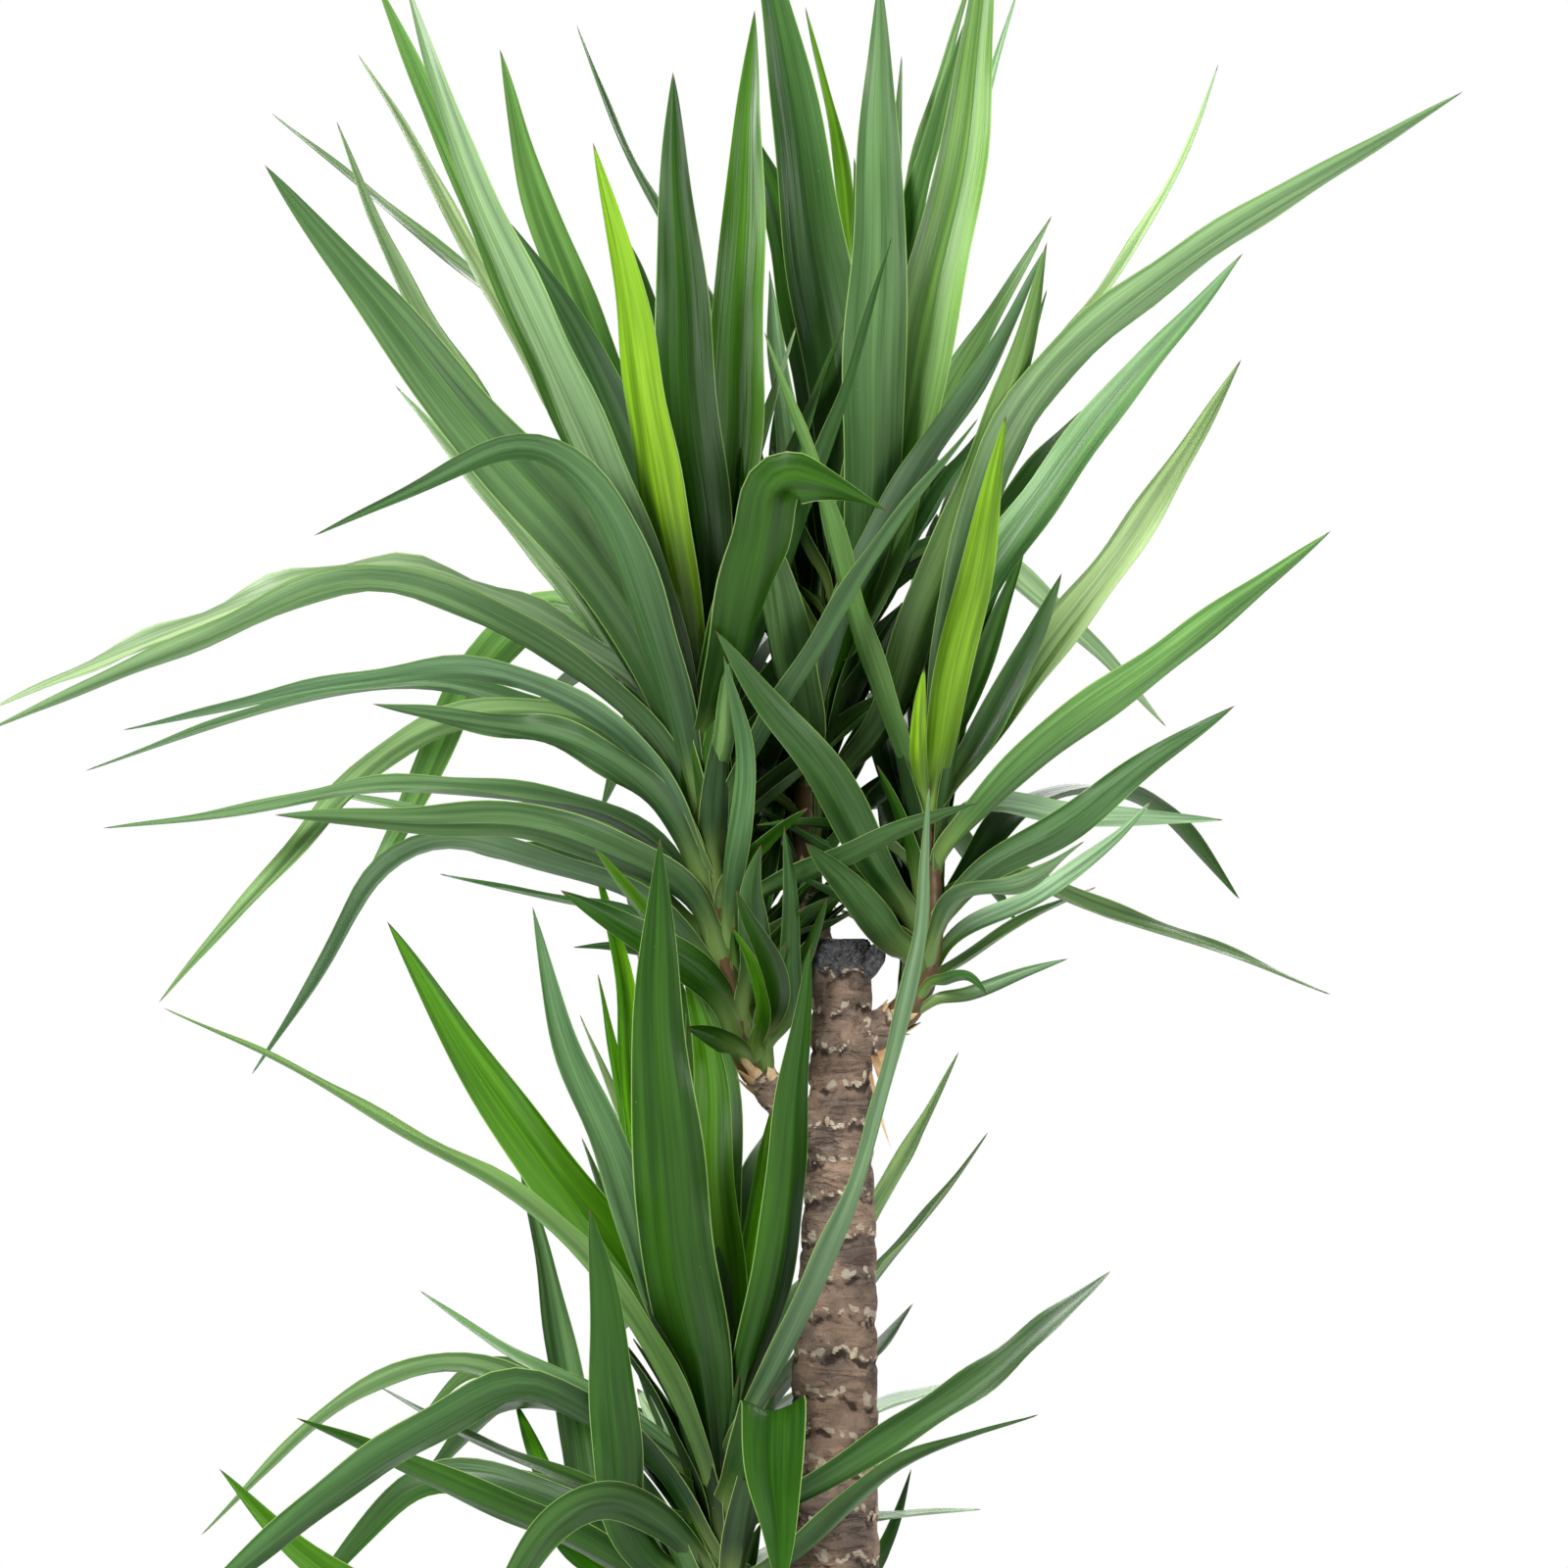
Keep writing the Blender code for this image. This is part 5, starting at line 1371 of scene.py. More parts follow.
@dataclass(frozen=True)
class BarkFinish(Finish):
    """Bark: crumpled papery skin in pinkish and greyish brown, with cream torn lips, painted highlights and
    shade on its crumples, and painted shade in its dark creases and recesses.
    """

    warm: Colour = (0.345, 0.235, 0.165)
    grey: Colour = (0.165, 0.122, 0.098)
    # The colour of the painted shade in the creases and recesses.
    dark: Colour = (0.045, 0.030, 0.022)
    cream: Colour = (0.680, 0.590, 0.450)
    chalk: Colour = (0.600, 0.520, 0.390)

    def dress(self, graph: Graph, shader: Any) -> None:
        """Wire the patterns of the finish to the shader's sockets.

        Args:
            graph: The material's node tree.
            shader: The inputs of its main shader.
        """
        lip, recess, band, chalk = (graph.attribute(name) for name in ("lip", "recess", "band", "chalk"))
        cloud = graph.noise(graph.place(), 38.0, 4.0, 0.6)
        fine = graph.noise(graph.place(), 620.0, 4.0, 0.6)
        fibre = graph.noise(graph.place((1.0, 1.0, 0.10)), 1050.0, 3.0)
        crumple = graph.noise(graph.place((0.42, 0.42, 1.25)), 105.0, 6.0, 0.66, 1.6)
        slanting = graph.noise(graph.place((0.35, 0.35, 1.3)), 60.0, 4.0, 0.6, 0.8)
        share = graph.plus(graph.times(band, 0.35), graph.times(cloud, 0.8))
        colour = graph.mix(graph.ramp(share, 0.42, 0.72), self.warm, self.grey)
        # Painted highlight on the ridges of the crumpled relief, and painted shade in its hollows.
        colour = graph.shaded(graph.ramp(crumple, 0.52, 0.70, 0.0, 0.7), colour, (1.5, 1.5, 1.5))
        colour = graph.shaded(graph.ramp(crumple, 0.47, 0.30, 0.0, 0.75), colour, (0.30, 0.26, 0.24))
        colour = graph.shaded(graph.ramp(fibre, 0.38, 0.7, 0.0, 0.35), colour, (1.4, 1.4, 1.4))
        # Painted shade in the slanting creases.
        crease = graph.math("ABSOLUTE", graph.minus(slanting, 0.5))
        creased = graph.times(graph.ramp(crease, 0.030, 0.004), graph.ramp(cloud, 0.35, 0.6))
        colour = graph.mix(graph.times(creased, 0.35), colour, self.dark)
        pale = graph.plus(chalk, graph.times(crumple, 1.3))
        colour = graph.mix(graph.ramp(pale, 1.00, 1.22, 0.0, 0.85), colour, self.chalk)
        # Painted shade in the recess under each torn lip.
        deep = graph.minus(recess, graph.times(crumple, 1.1))
        colour = graph.mix(graph.ramp(deep, -0.42, 0.22, 0.0, 0.92), colour, self.dark)
        torn = graph.plus(lip, graph.times(fine, 0.7))
        colour = graph.mix(graph.ramp(torn, 0.66, 0.86, 0.0, 0.9), colour, self.cream)
        graph.feed(shader["Base Color"], colour)
        graph.feed(shader["Roughness"], graph.ramp(cloud, 0.3, 0.7, 0.62, 0.85))
        relief = graph.plus(graph.times(crumple, 1.6), graph.times(fibre, 0.25))
        relief = graph.minus(relief, graph.times(creased, 0.5))
        graph.feed(shader["Normal"], graph.bump(relief, 1.0, 0.0034))


@dataclass(frozen=True)
class WaxFinish(Finish):
    """Sealing wax: charcoal, granular, with a dull shine on its lumps."""

    dark: Colour = (0.030, 0.030, 0.034)
    worn: Colour = (0.135, 0.132, 0.136)

    def dress(self, graph: Graph, shader: Any) -> None:
        """Wire the patterns of the finish to the shader's sockets.

        Args:
            graph: The material's node tree.
            shader: The inputs of its main shader.
        """
        grain = graph.noise(graph.place(), 330.0, 5.0, 0.65)
        pits = graph.cells(graph.place(), 420.0)
        colour = graph.mix(graph.ramp(grain, 0.38, 0.72), self.dark, self.worn)
        graph.feed(shader["Base Color"], colour)
        graph.feed(shader["Roughness"], graph.ramp(grain, 0.3, 0.7, 0.42, 0.75))
        relief = graph.plus(graph.times(grain, 1.4), graph.ramp(pits, 0.0, 0.6))
        graph.feed(shader["Normal"], graph.bump(relief, 0.9, 0.0016))


@dataclass(frozen=True)
class PotFinish(Finish):
    """The pot's moulded plastic: near black, finely grained, with dust and water marks."""

    body: Colour = (0.020, 0.021, 0.022)
    dust: Colour = (0.15, 0.135, 0.115)

    def dress(self, graph: Graph, shader: Any) -> None:
        """Wire the patterns of the finish to the shader's sockets.

        Args:
            graph: The material's node tree.
            shader: The inputs of its main shader.
        """
        cloud = graph.noise(graph.place((1.0, 1.0, 0.35)), 26.0, 5.0, 0.6)
        grain = graph.noise(graph.place(), 1400.0, 2.0)
        runs = graph.noise(graph.place((1.0, 1.0, 0.05)), 130.0, 3.0)
        film = graph.times(graph.ramp(cloud, 0.45, 0.8), graph.ramp(runs, 0.35, 0.75, 0.2, 1.0))
        graph.feed(shader["Base Color"], graph.mix(graph.times(film, 0.6), self.body, self.dust))
        graph.feed(shader["Roughness"], graph.ramp(film, 0.0, 0.8, self.roughness, 0.8))
        graph.feed(shader["Normal"], graph.bump(grain, 0.25, 0.0002))


@dataclass(frozen=True)
class EarthFinish(Finish):
    """Earth: dark peat with browner fibres, damp in places."""

    peat: Colour = (0.022, 0.014, 0.010)
    fibre: Colour = (0.105, 0.062, 0.034)

    def dress(self, graph: Graph, shader: Any) -> None:
        """Wire the patterns of the finish to the shader's sockets.

        Args:
            graph: The material's node tree.
            shader: The inputs of its main shader.
        """
        cloud = graph.noise(graph.place(), 60.0, 5.0, 0.65)
        fine = graph.noise(graph.place(), 700.0, 4.0, 0.7)
        share = graph.plus(graph.times(cloud, 0.5), graph.times(fine, 0.6))
        graph.feed(shader["Base Color"], graph.mix(graph.ramp(share, 0.45, 0.75), self.peat, self.fibre))
        graph.feed(shader["Roughness"], graph.ramp(cloud, 0.35, 0.65, 0.75, 0.98))
        graph.feed(shader["Normal"], graph.bump(fine, 0.8, 0.002))


@dataclass(frozen=True)
class SpeckledFinish(Finish):
    """A finish of two colours in a fine cloud, for perlite, flakes of bark and dry scraps."""

    light: Colour = (0.8, 0.8, 0.8)
    deep: Colour = (0.5, 0.5, 0.5)
    scale: float = 300.0

    def dress(self, graph: Graph, shader: Any) -> None:
        """Wire the patterns of the finish to the shader's sockets.

        Args:
            graph: The material's node tree.
            shader: The inputs of its main shader.
        """
        cloud = graph.noise(graph.place(), self.scale, 4.0, 0.6)
        coarse = graph.noise(graph.place(), self.scale / 9, 2.0)
        share = graph.plus(graph.times(cloud, 0.5), graph.times(coarse, 0.6))
        graph.feed(shader["Base Color"], graph.mix(graph.ramp(share, 0.4, 0.7), self.deep, self.light))
        graph.feed(shader["Normal"], graph.bump(cloud, 0.5, 0.0008))


class Batch:
    """Points and faces, with point attributes, that become one mesh."""

    def __init__(self) -> None:
        """Begin with nothing."""
        self.points: list[Vector] = []
        self.faces: Polygons = []
        self.slots: list[int] = []
        self.columns: dict[str, list[Any]] = {}

    def add(self, points: Sequence[Vector], faces: Polygons, slot: int = 0, **columns: Sequence[Any]) -> None:
        """Add a closed surface.

        Args:
            points: Its points, in millimetres.
            faces: Its faces, as numbers of points.
            slot: The number of its material.
            columns: A value for each point, for each attribute by its name.
        """
        before = len(self.points)
        self.points += points
        self.faces += [tuple(k + before for k in face) for face in faces]
        self.slots += [slot] * len(faces)
        for name in {*self.columns, *columns}:
            given = columns.get(name)
            blank = (0.0, 0.0, 0.0, 1.0) if name == "tone" else 0.0
            column = self.columns.setdefault(name, [blank] * before)
            column += list(given) if given is not None else [blank] * len(points)

    def piece(self, name: str, materials: Sequence[bpy.types.Material],
              crease: float = 50.0) -> bpy.types.Object:
        """Turn the batch into an object whose faces point out.

        Args:
            name: The piece's name.
            materials: Its materials, in the order of the slots.
            crease: The angle in degrees past which an edge stays sharp.

        Returns:
            The object.
        """
        mesh = bpy.data.meshes.new(name)
        mesh.from_pydata([point * MM for point in self.points], [], self.faces)
        mesh.polygons.foreach_set("material_index", self.slots)
        for key, column in self.columns.items():
            if key == "tone":
                colours = mesh.attributes.new(key, "FLOAT_COLOR", "POINT")
                colours.data.foreach_set("color", [part for value in column for part in value])
            else:
                mesh.attributes.new(key, "FLOAT", "POINT").data.foreach_set("value", column)
        bm = bmesh.new()
        bm.from_mesh(mesh)
        bmesh.ops.recalc_face_normals(bm, faces=bm.faces)
        bm.to_mesh(mesh)
        bm.free()
        return placed(name, mesh, materials, crease)


def linked(name: str, data: Any) -> bpy.types.Object:
    """A new object in the scene.

    Args:
        name: The object's name.
        data: Its mesh, lamp or lens.

    Returns:
        The object.
    """
    thing = bpy.data.objects.new(name, data)
    bpy.context.scene.collection.objects.link(thing)
    return thing


def placed(name: str, mesh: bpy.types.Mesh, materials: Sequence[bpy.types.Material],
           crease: float) -> bpy.types.Object:
    """An object for a mesh, smooth but for its creases.

    Args:
        name: The object's name.
        mesh: The mesh.
        materials: Its materials.
        crease: The angle in degrees past which an edge stays sharp.

    Returns:
        The object, linked to the scene.
    """
    mesh.shade_smooth()
    mesh.set_sharp_from_angle(angle=math.radians(crease))
    mesh.materials.clear()
    for material in materials:
        mesh.materials.append(material)
    return linked(name, mesh)


def eased(value: float) -> float:
    """A share from 0 to 1 that starts and stops softly."""
    value = min(max(value, 0.0), 1.0)
    return value * value * (3 - 2 * value)


@dataclass(frozen=True)
class LeafForm:
    """How a fine leaf is cut and bent, in millimetres where it isn't a share or an angle."""

    sections: int = 44
    lanes: tuple[float, ...] = (-1.0, -0.82, -0.56, -0.28, 0.0, 0.28, 0.56, 0.82, 1.0)
    rib_thickness: float = 1.5
    edge_thickness: float = 0.45
    channel: float = 0.17
    root_channel: float = 0.30
    root_length: float = 75.0
    clasp_length: float = 34.0
    clasp_drop: float = 9.0
    clasp_turn: float = 1.15
    clasp_lift: float = 1.2
    root_depth: float = 3.6
    root_fade: float = 15.0
    wander: float = 1.3
    wander_length: float = 150.0
    wave: float = 1.2
    easing: int = 4
    wave_length: float = 84.0
    ripple: float = 0.03

    def grow(self, batch: Batch, blade: Blade, stem: Sequence[Row], number: int, wave: float = 1.0) -> None:
        """Add a fine leaf over a plain blade.

        Args:
            batch: What the leaf is added to.
            blade: The plain blade.
            stem: The rows of the stem that it clasps.
            number: The seed of its small differences.
            wave: How much its margins wave, over the usual.
        """
        chance = random.Random(number)
        phases = [chance.uniform(0, math.tau) for _ in range(6)]
        length = blade.curve.length
        shares = [0.5 * (t + 0.5 - 0.5 * math.cos(math.pi * t))
                  for t in (i / self.sections for i in range(self.sections))]
        root_height = blade.curve.point(0.0).z
        axis = (on_stem(stem, root_height + 5) - on_stem(stem, root_height - 5)).normalized()
        away = blade.curve.point(45 / length) - on_stem(stem, root_height + 30)
        outward = (away - axis * away.dot(axis)).normalized()
        lift = self.clasp_lift * (0.6 + chance.random())
        ribs, holds, arcs = [], [], []
        for share in shares:
            reach = share * length
            hold = eased(1 - reach / self.clasp_length)
            height = root_height - self.clasp_drop + 0.9 * reach
            girth = radius_on(stem, height) + lift - self.root_depth * eased(1 - reach / self.root_fade)
            rib = self.wandered(blade, share, phases)
            ribs.append(rib.lerp(on_stem(stem, height) + outward * girth, hold))
            holds.append(hold)
            arcs.append(girth)
        ribs = self.evened([*ribs, blade.curve.point(1.0)])
        points, across, along = [], [], []
        for i, share in enumerate(shares):
            tangent = (ribs[i + 1] - ribs[max(i - 1, 0)]).normalized()
            upward, _ = blade.facing(tangent, share)
            upward = upward.lerp(-outward, holds[i])
            upward = (upward - tangent * tangent.dot(upward)).normalized()
            points += self.section(blade, share, ribs[i], upward, upward.cross(tangent),
                                   holds[i], arcs[i], phases, wave)
            ring = [*self.lanes, *self.lanes[-2:0:-1]]
            across += ring
            along += [share] * len(ring)
        points.append(ribs[-1])
        across.append(0.0)
        along.append(1.0)
        count = 2 * len(self.lanes) - 2
        side = ([0.0] * len(self.lanes) + [1.0] * (len(self.lanes) - 2)) * self.sections + [0.0]
        shade = chance.uniform(0.86, 1.14)
        warmth = chance.uniform(0.93, 1.07)
        red, green, blue = blade.tone.value
        tone = (red * shade * warmth, green * shade, blue * shade / warmth, 1.0)
        batch.add(points, self.faces(count), 0, across=across, along=along, side=side,
                  reach=[share * length * MM for share in along],
                  left=[(1 - share) * length * MM for share in along],
                  girth=[min(1.0, blade.full_width / 34)] * len(points),
                  seed=[chance.random()] * len(points), tone=[tone] * len(points))

    def evened(self, course: list[Vector]) -> list[Vector]:
        """A midrib with its sharp turns eased, and both of its ends kept.

        Args:
            course: Its points.

        Returns:
            The eased points.
        """
        for _ in range(self.easing):
            between = [(a + 2 * b + c) / 4 for a, b, c in zip(course, course[1:], course[2:])]
            course = [course[0], *between, course[-1]]
        return course

    def wandered(self, blade: Blade, share: float, phases: Sequence[float]) -> Vector:
        """The midrib at a share of its length, with the slight wander of a grown leaf.

        Args:
            blade: The plain blade.
            share: From 0 at the root to 1 at the tip.
            phases: Where the waves of this leaf begin.

        Returns:
            The point.
        """
        turns = math.tau * share * blade.curve.length / self.wander_length
        upward, across = blade.facing(blade.curve.tangent(share), share)
        sway = self.wander * math.sin(math.pi * share)
        return (blade.curve.point(share) + across * (sway * math.sin(turns + phases[0]))
                + upward * (sway * math.sin(0.8 * turns + phases[1])))

    def section(self, blade: Blade, share: float, rib: Vector, upward: Vector, across: Vector, hold: float,
                girth: float, phases: Sequence[float], wave: float) -> list[Vector]:
        """The points round a leaf at a share of its length, from edge to edge and back underneath.

        Args:
            blade: The plain blade.
            share: From 0 at the root to 1 at the tip.
            rib: The point on the midrib.
            upward: The direction of the upper side.
            across: The direction across.
            hold: How far the leaf clasps its stem here, from 0 to 1.
            girth: The radius that it clasps.
            phases: Where the waves of this leaf begin.
            wave: How much its margins wave, over the usual.

        Returns:
            The points.
        """
        reach = share * blade.curve.length
        slender = min(1.0, blade.full_width / 24)
        turns = math.tau * reach / self.wave_length
        half = 0.5 * blade.full_width * breadth(share) * (1 + 0.03 * math.sin(0.7 * turns + phases[2]))
        half += (self.clasp_turn * girth * slender - half) * hold
        channel = self.channel + self.root_channel * math.exp(-reach / self.root_length)
        free = 1 - hold
        tops, bottoms = [], []
        for lane in self.lanes:
            bend = hold / girth
            lateral = math.sin(half * lane * bend) / bend if bend > 1e-4 else half * lane
            rise = (1 - math.cos(half * lane * bend)) / bend if bend > 1e-4 else 0.0
            rise += free * half * channel * (2 * abs(lane)**1.2 - 1)
            rise += free * half * self.ripple * math.cos(2.5 * math.pi * lane + phases[3])
            phase = phases[4] if lane < 0 else phases[5]
            rise += (free * self.wave * wave * slender * abs(lane)**3 * math.sin(math.pi * share)
                     * math.sin(turns + phase))
            thick = self.edge_thickness + (self.rib_thickness - self.edge_thickness) * (1 - lane * lane)
            thick *= 1 - 0.4 * share
            middle = rib + across * lateral + upward * rise
            tops.append(middle + upward * thick / 2)
            bottoms.append(middle - upward * thick / 2)
        edges = [(tops[k] + bottoms[k]) / 2 for k in (0, -1)]
        return [edges[0], *tops[1:-1], edges[1], *bottoms[-2:0:-1]]

    def faces(self, count: int) -> Polygons:
        """The faces of a leaf: its foot, its sides and its tip.

        Args:
            count: How many points a ring has.

        Returns:
            The faces.
        """
        lanes = len(self.lanes)
        made: Polygons = [(0, 1, count - 1), (lanes - 1, lanes, lanes - 2)]
        made += [(k, k + 1, count - k - 1, count - k) for k in range(1, lanes - 2)]
        tip = count * self.sections
        return [*made, *ring_faces(count, self.sections), *fan(tip - count, count, tip)]


def radius_on(rows: Sequence[Row], height: float) -> float:
    """The radius of a stem or cane at a height, between the rows of its axis.

    Args:
        rows: The rows of the axis.
        height: The height.

    Returns:
        The radius.
    """
    for low, high in zip(rows, rows[1:]):
        if height <= high[2] or high is rows[-1]:
            share = min(max((height - low[2]) / (high[2] - low[2]), 0.0), 1.0)
            return low[3] + (high[3] - low[3]) * share
    raise ValueError("a stem has two points or more")


def fine_rows(rows: Sequence[Row], step: float) -> list[Row]:
    """The rows of an axis, resampled along a smooth curve.

    Args:
        rows: The rows to go through.
        step: The distance between the new rows.

    Returns:
        The new rows.
    """
    curve = Curve([row[:3] for row in rows])
    count = max(2, round(curve.length / step))
    made = []
    for i in range(count + 1):
        place = i / count * curve.length
        k = max(n for n in range(len(rows) - 1) if curve.at[n] <= place or n == 0)
        share = min(1.0, (place - curve.at[k]) / (curve.at[k + 1] - curve.at[k]))
        made.append((*curve.point(i / count), rows[k][3] + (rows[k + 1][3] - rows[k][3]) * share))
    return made


@dataclass(frozen=True)
class Shoot:
    """A leafy shoot: its green stem and its fine leaves, as one piece."""

    crown: Crown
    blades: Sequence[Blade]
    form: LeafForm = LeafForm()
    wavy: Sequence[tuple[int, float]] = ()
    sides: int = 20
    row_step: float = 2.5
    ring_spacing: float = 10.0
    ring_height: float = 0.5

    def build(self, leaf: bpy.types.Material, stem: bpy.types.Material) -> bpy.types.Object:
        """Make the shoot in the place of its plain node.

        Args:
            leaf: The leaves' material.
            stem: The stem's material.

        Returns:
            The piece.
        """
        batch = Batch()
        self.add_stem(batch)
        waves = dict(self.wavy)
        seed = CROWNS.index(self.crown) * 1000
        for number, blade in enumerate(self.blades):
            self.form.grow(batch, blade, self.crown.stem, seed + number, waves.get(number, 1.0))
        return batch.piece(self.crown.name.replace("crown", "shoot"), [leaf, stem])

    def add_stem(self, batch: Batch) -> None:
        """Add the green stem, with a low ring where each old leaf sat.

        Args:
            batch: What it is added to.
        """
        rows = fine_rows(green_axis(self.crown), self.row_step)
        rings, shares = [], []
        for i, (x, y, z, radius) in enumerate(rows):
            groove = 0.5 + 0.5 * math.cos(math.tau * i * self.row_step / self.ring_spacing)
            rings.append((x, y, z, radius - self.ring_height * groove))
            shares.append((groove, i / (len(rows) - 1)))
        points, faces = tube(rings, self.sides)
        batch.add(points, faces, 1, across=[share[0] for share in shares for _ in range(self.sides)],
                  along=[share[1] for share in shares for _ in range(self.sides)])


@dataclass(frozen=True)
class Bark:
    """The relief of a cane's bark: wavy plates with a torn lip below and a crinkled recess above."""

    seed: float
    slant: float = 3.0
    wander: float = 9.0
    ragged: float = 3.4
    bulge: float = 0.9
    recess_depth: float = 1.1
    lip_height: float = 0.8
    lump_height: float = 1.1

    def at(self, angle: float, height: float) -> tuple[float, dict[str, float]]:
        """The bark at a place on the cane.

        Args:
            angle: The angle round the axis.
            height: The height.

        Returns:
            How far it stands out, and how much of each mark of the bark finish it has, from 0 to 1.
        """
        x, y = math.cos(angle), math.sin(angle)

        def cloud(scale: float, third: float, aside: float = 0.0) -> float:
            """Noise round the cane, from -1 to 1, in clouds of a fineness."""
            return noise.noise(Vector((scale * x + aside, scale * y, third)))

        def near(place: float, width: float) -> float:
            """How near this is to a place past the lip, in rings, from 0 to 1."""
            return math.exp(-((past_lip - place) / width) ** 2)

        slid = height + self.wander * cloud(1.1, height / 46 + self.seed)
        slid += self.ragged * cloud(5.5, height / 9 + self.seed)
        slid += self.slant * math.sin(angle + height / 61)
        number, share = divmod(slid / SCAR_SPACING, 1.0)
        past_lip = share if share < 0.5 else share - 1
        tear = 0.5 + cloud(1.9, 7.3 * number + self.seed)
        depth = 0.5 + cloud(2.4, 5.1 * number, 9)
        broken = 0.5 + cloud(6.5, height / 7 + self.seed)
        lip = near(0.05, 0.05) * eased(2.6 * tear - 0.6) * eased(2.6 * broken - 0.35)
        recess = near(-0.08, 0.03 + 0.09 * depth) * eased(0.25 + 1.7 * depth * broken)
        chalk = near(0.16, 0.11) * eased(2.6 * (1 - tear) - 0.7) * eased(2 * broken - 0.3)
        lump = cloud(3.2, height / 11) + 0.5 * cloud(8, height / 5)
        rise = self.bulge * (math.sin(math.pi * (1 - share) ** 1.4) - 0.5) - self.recess_depth * recess
        rise += self.lip_height * lip + self.lump_height * lump
        band = 0.5 + 0.5 * cloud(1.1, 3.7 * number)
        return rise, {"lip": lip, "recess": recess, "band": band, "chalk": chalk}


@dataclass(frozen=True)
class Cane:
    """A sawn cane with the woody bases of its branches, in place of its plain node."""

    name: str
    axis: Sequence[Row]
    branches: Sequence[Sequence[Row]]
    bark: Bark
    sides: int = 96
    row_step: float = 1.5
    branch_sides: int = 36
    branch_step: float = 1.6
    flare: float = 0.45
    flare_length: float = 9.0

    def shoulder(self) -> float:
        """The height where the wax begins."""
        return self.axis[-1][2] - WAX_HEIGHT

    def rows(self) -> list[Row]:
        """The rows of the cane, close together, with the narrower tip inside the wax.

        Returns:
            The rows.
        """
        foot, shoulder = self.axis[0], self.shoulder()
        count = round((shoulder - foot[2]) / self.row_step)
        made = []
        for i in range(count + 1):
            height = foot[2] + (shoulder - foot[2]) * i / count
            made.append((*on_stem(self.axis, height), radius_on(self.axis, height)))
        x, y, top, radius = self.axis[-1]
        tip = radius - WAX_WALL - GAP
        return [*made, (x, y, shoulder, tip), (x, y, top - WAX_WALL - GAP, tip)]

    def fade(self, height: float) -> float:
        """How much relief there is at a height: none in the soil and at the wax.

        Args:
            height: The height.

        Returns:
            From 0 to 1.
        """
        above = (height - SOIL_TOP - SOIL_MOUND) / BARK_FADE
        below = (self.shoulder() - height) / BARK_FADE
        return min(1.0, max(0.0, above)) * min(1.0, max(0.0, 0.15 + below))

    def build(self, finish: bpy.types.Material) -> bpy.types.Object:
        """Make the cane.

        Args:
            finish: The bark's material.

        Returns:
            The piece.
        """
        batch = Batch()
        rows = self.rows()
        marks: list[dict[str, float]] = []

        def radius_at(radius: float, angle: float, height: float) -> float:
            """The radius of the bark, which also notes its marks for the finish.

            Args:
                radius: The plain radius.
                angle: The angle round the axis.
                height: The height.

            Returns:
                The radius.
            """
            rise, mark = self.bark.at(angle, height)
            marks.append(mark)
            lobes = BARK_LOBE * radius * math.sin(3 * angle + height / LOBE_TWIST)
            return radius + (lobes + rise) * self.fade(height)

        points, faces = tube(rows, self.sides, radius_at)
        batch.add(points, faces, **{name: [mark[name] for mark in marks] for name in marks[0]})
        for branch in self.branches:
            self.add_branch(batch, branch)
        return batch.piece(self.name + "_bark", [finish], 60.0)

    def add_branch(self, batch: Batch, branch: Sequence[Row]) -> None:
        """Add the woody base of a branch, swollen where it leaves the cane and knobbly above.

        Args:
            batch: What it is added to.
            branch: The rows of its axis.
        """
        rows = fine_rows(branch, self.branch_step)
        length = self.branch_step * (len(rows) - 1)
        swollen = []
        for i, (x, y, z, radius) in enumerate(rows):
            past = abs(i * self.branch_step - radius_on(self.axis, z))
            swell = self.flare * math.exp(-past / self.flare_length)
            swollen.append((x, y, z, radius * (1 + swell * (1 - i * self.branch_step / length))))
        marks: list[dict[str, float]] = []

        def radius_at(radius: float, angle: float, height: float) -> float:
            """The knobbly radius, which also notes its marks for the finish.

            Args:
                radius: The plain radius.
                angle: The angle round the axis.
                height: The height.

            Returns:
                The radius.
            """
            rise, mark = self.bark.at(angle, 2.6 * height)
            marks.append(mark)
            return radius + 0.6 * rise

        points, faces = tube(swollen, self.branch_sides, radius_at)
        batch.add(points, faces, **{name: [mark[name] for mark in marks] for name in marks[0]})


def lathe(profile: Sequence[tuple[float, float]], centre: tuple[float, float], sides: int,
          shift: Callable[[float, float, float], tuple[float, float]] | None = None,
          ) -> tuple[list[Vector], Polygons]:
    """A closed surface turned about an upright axis.

    Args:
        profile: Its (radius, height) points, of which the first and the last lie on the axis.
        centre: Where the axis stands.
        sides: How many sides it has.
        shift: Gives the changed radius and height for a radius, a height and an angle.

    Returns:
        Its points and faces.
    """
    points = [Vector((*centre, profile[0][1]))]
    for radius, height in profile[1:-1]:
        for k in range(sides):
            angle = math.tau * k / sides
            r, z = shift(radius, height, angle) if shift else (radius, height)
            points.append(Vector((centre[0] + r * math.cos(angle), centre[1] + r * math.sin(angle), z)))
    points.append(Vector((*centre, profile[-1][1])))
    last = len(points) - 1
    foot: Polygons = [(0, 1 + (k + 1) % sides, 1 + k) for k in range(sides)]
    return points, [*foot, *ring_faces(sides, len(profile) - 2, 1), *fan(last - sides, sides, last)]


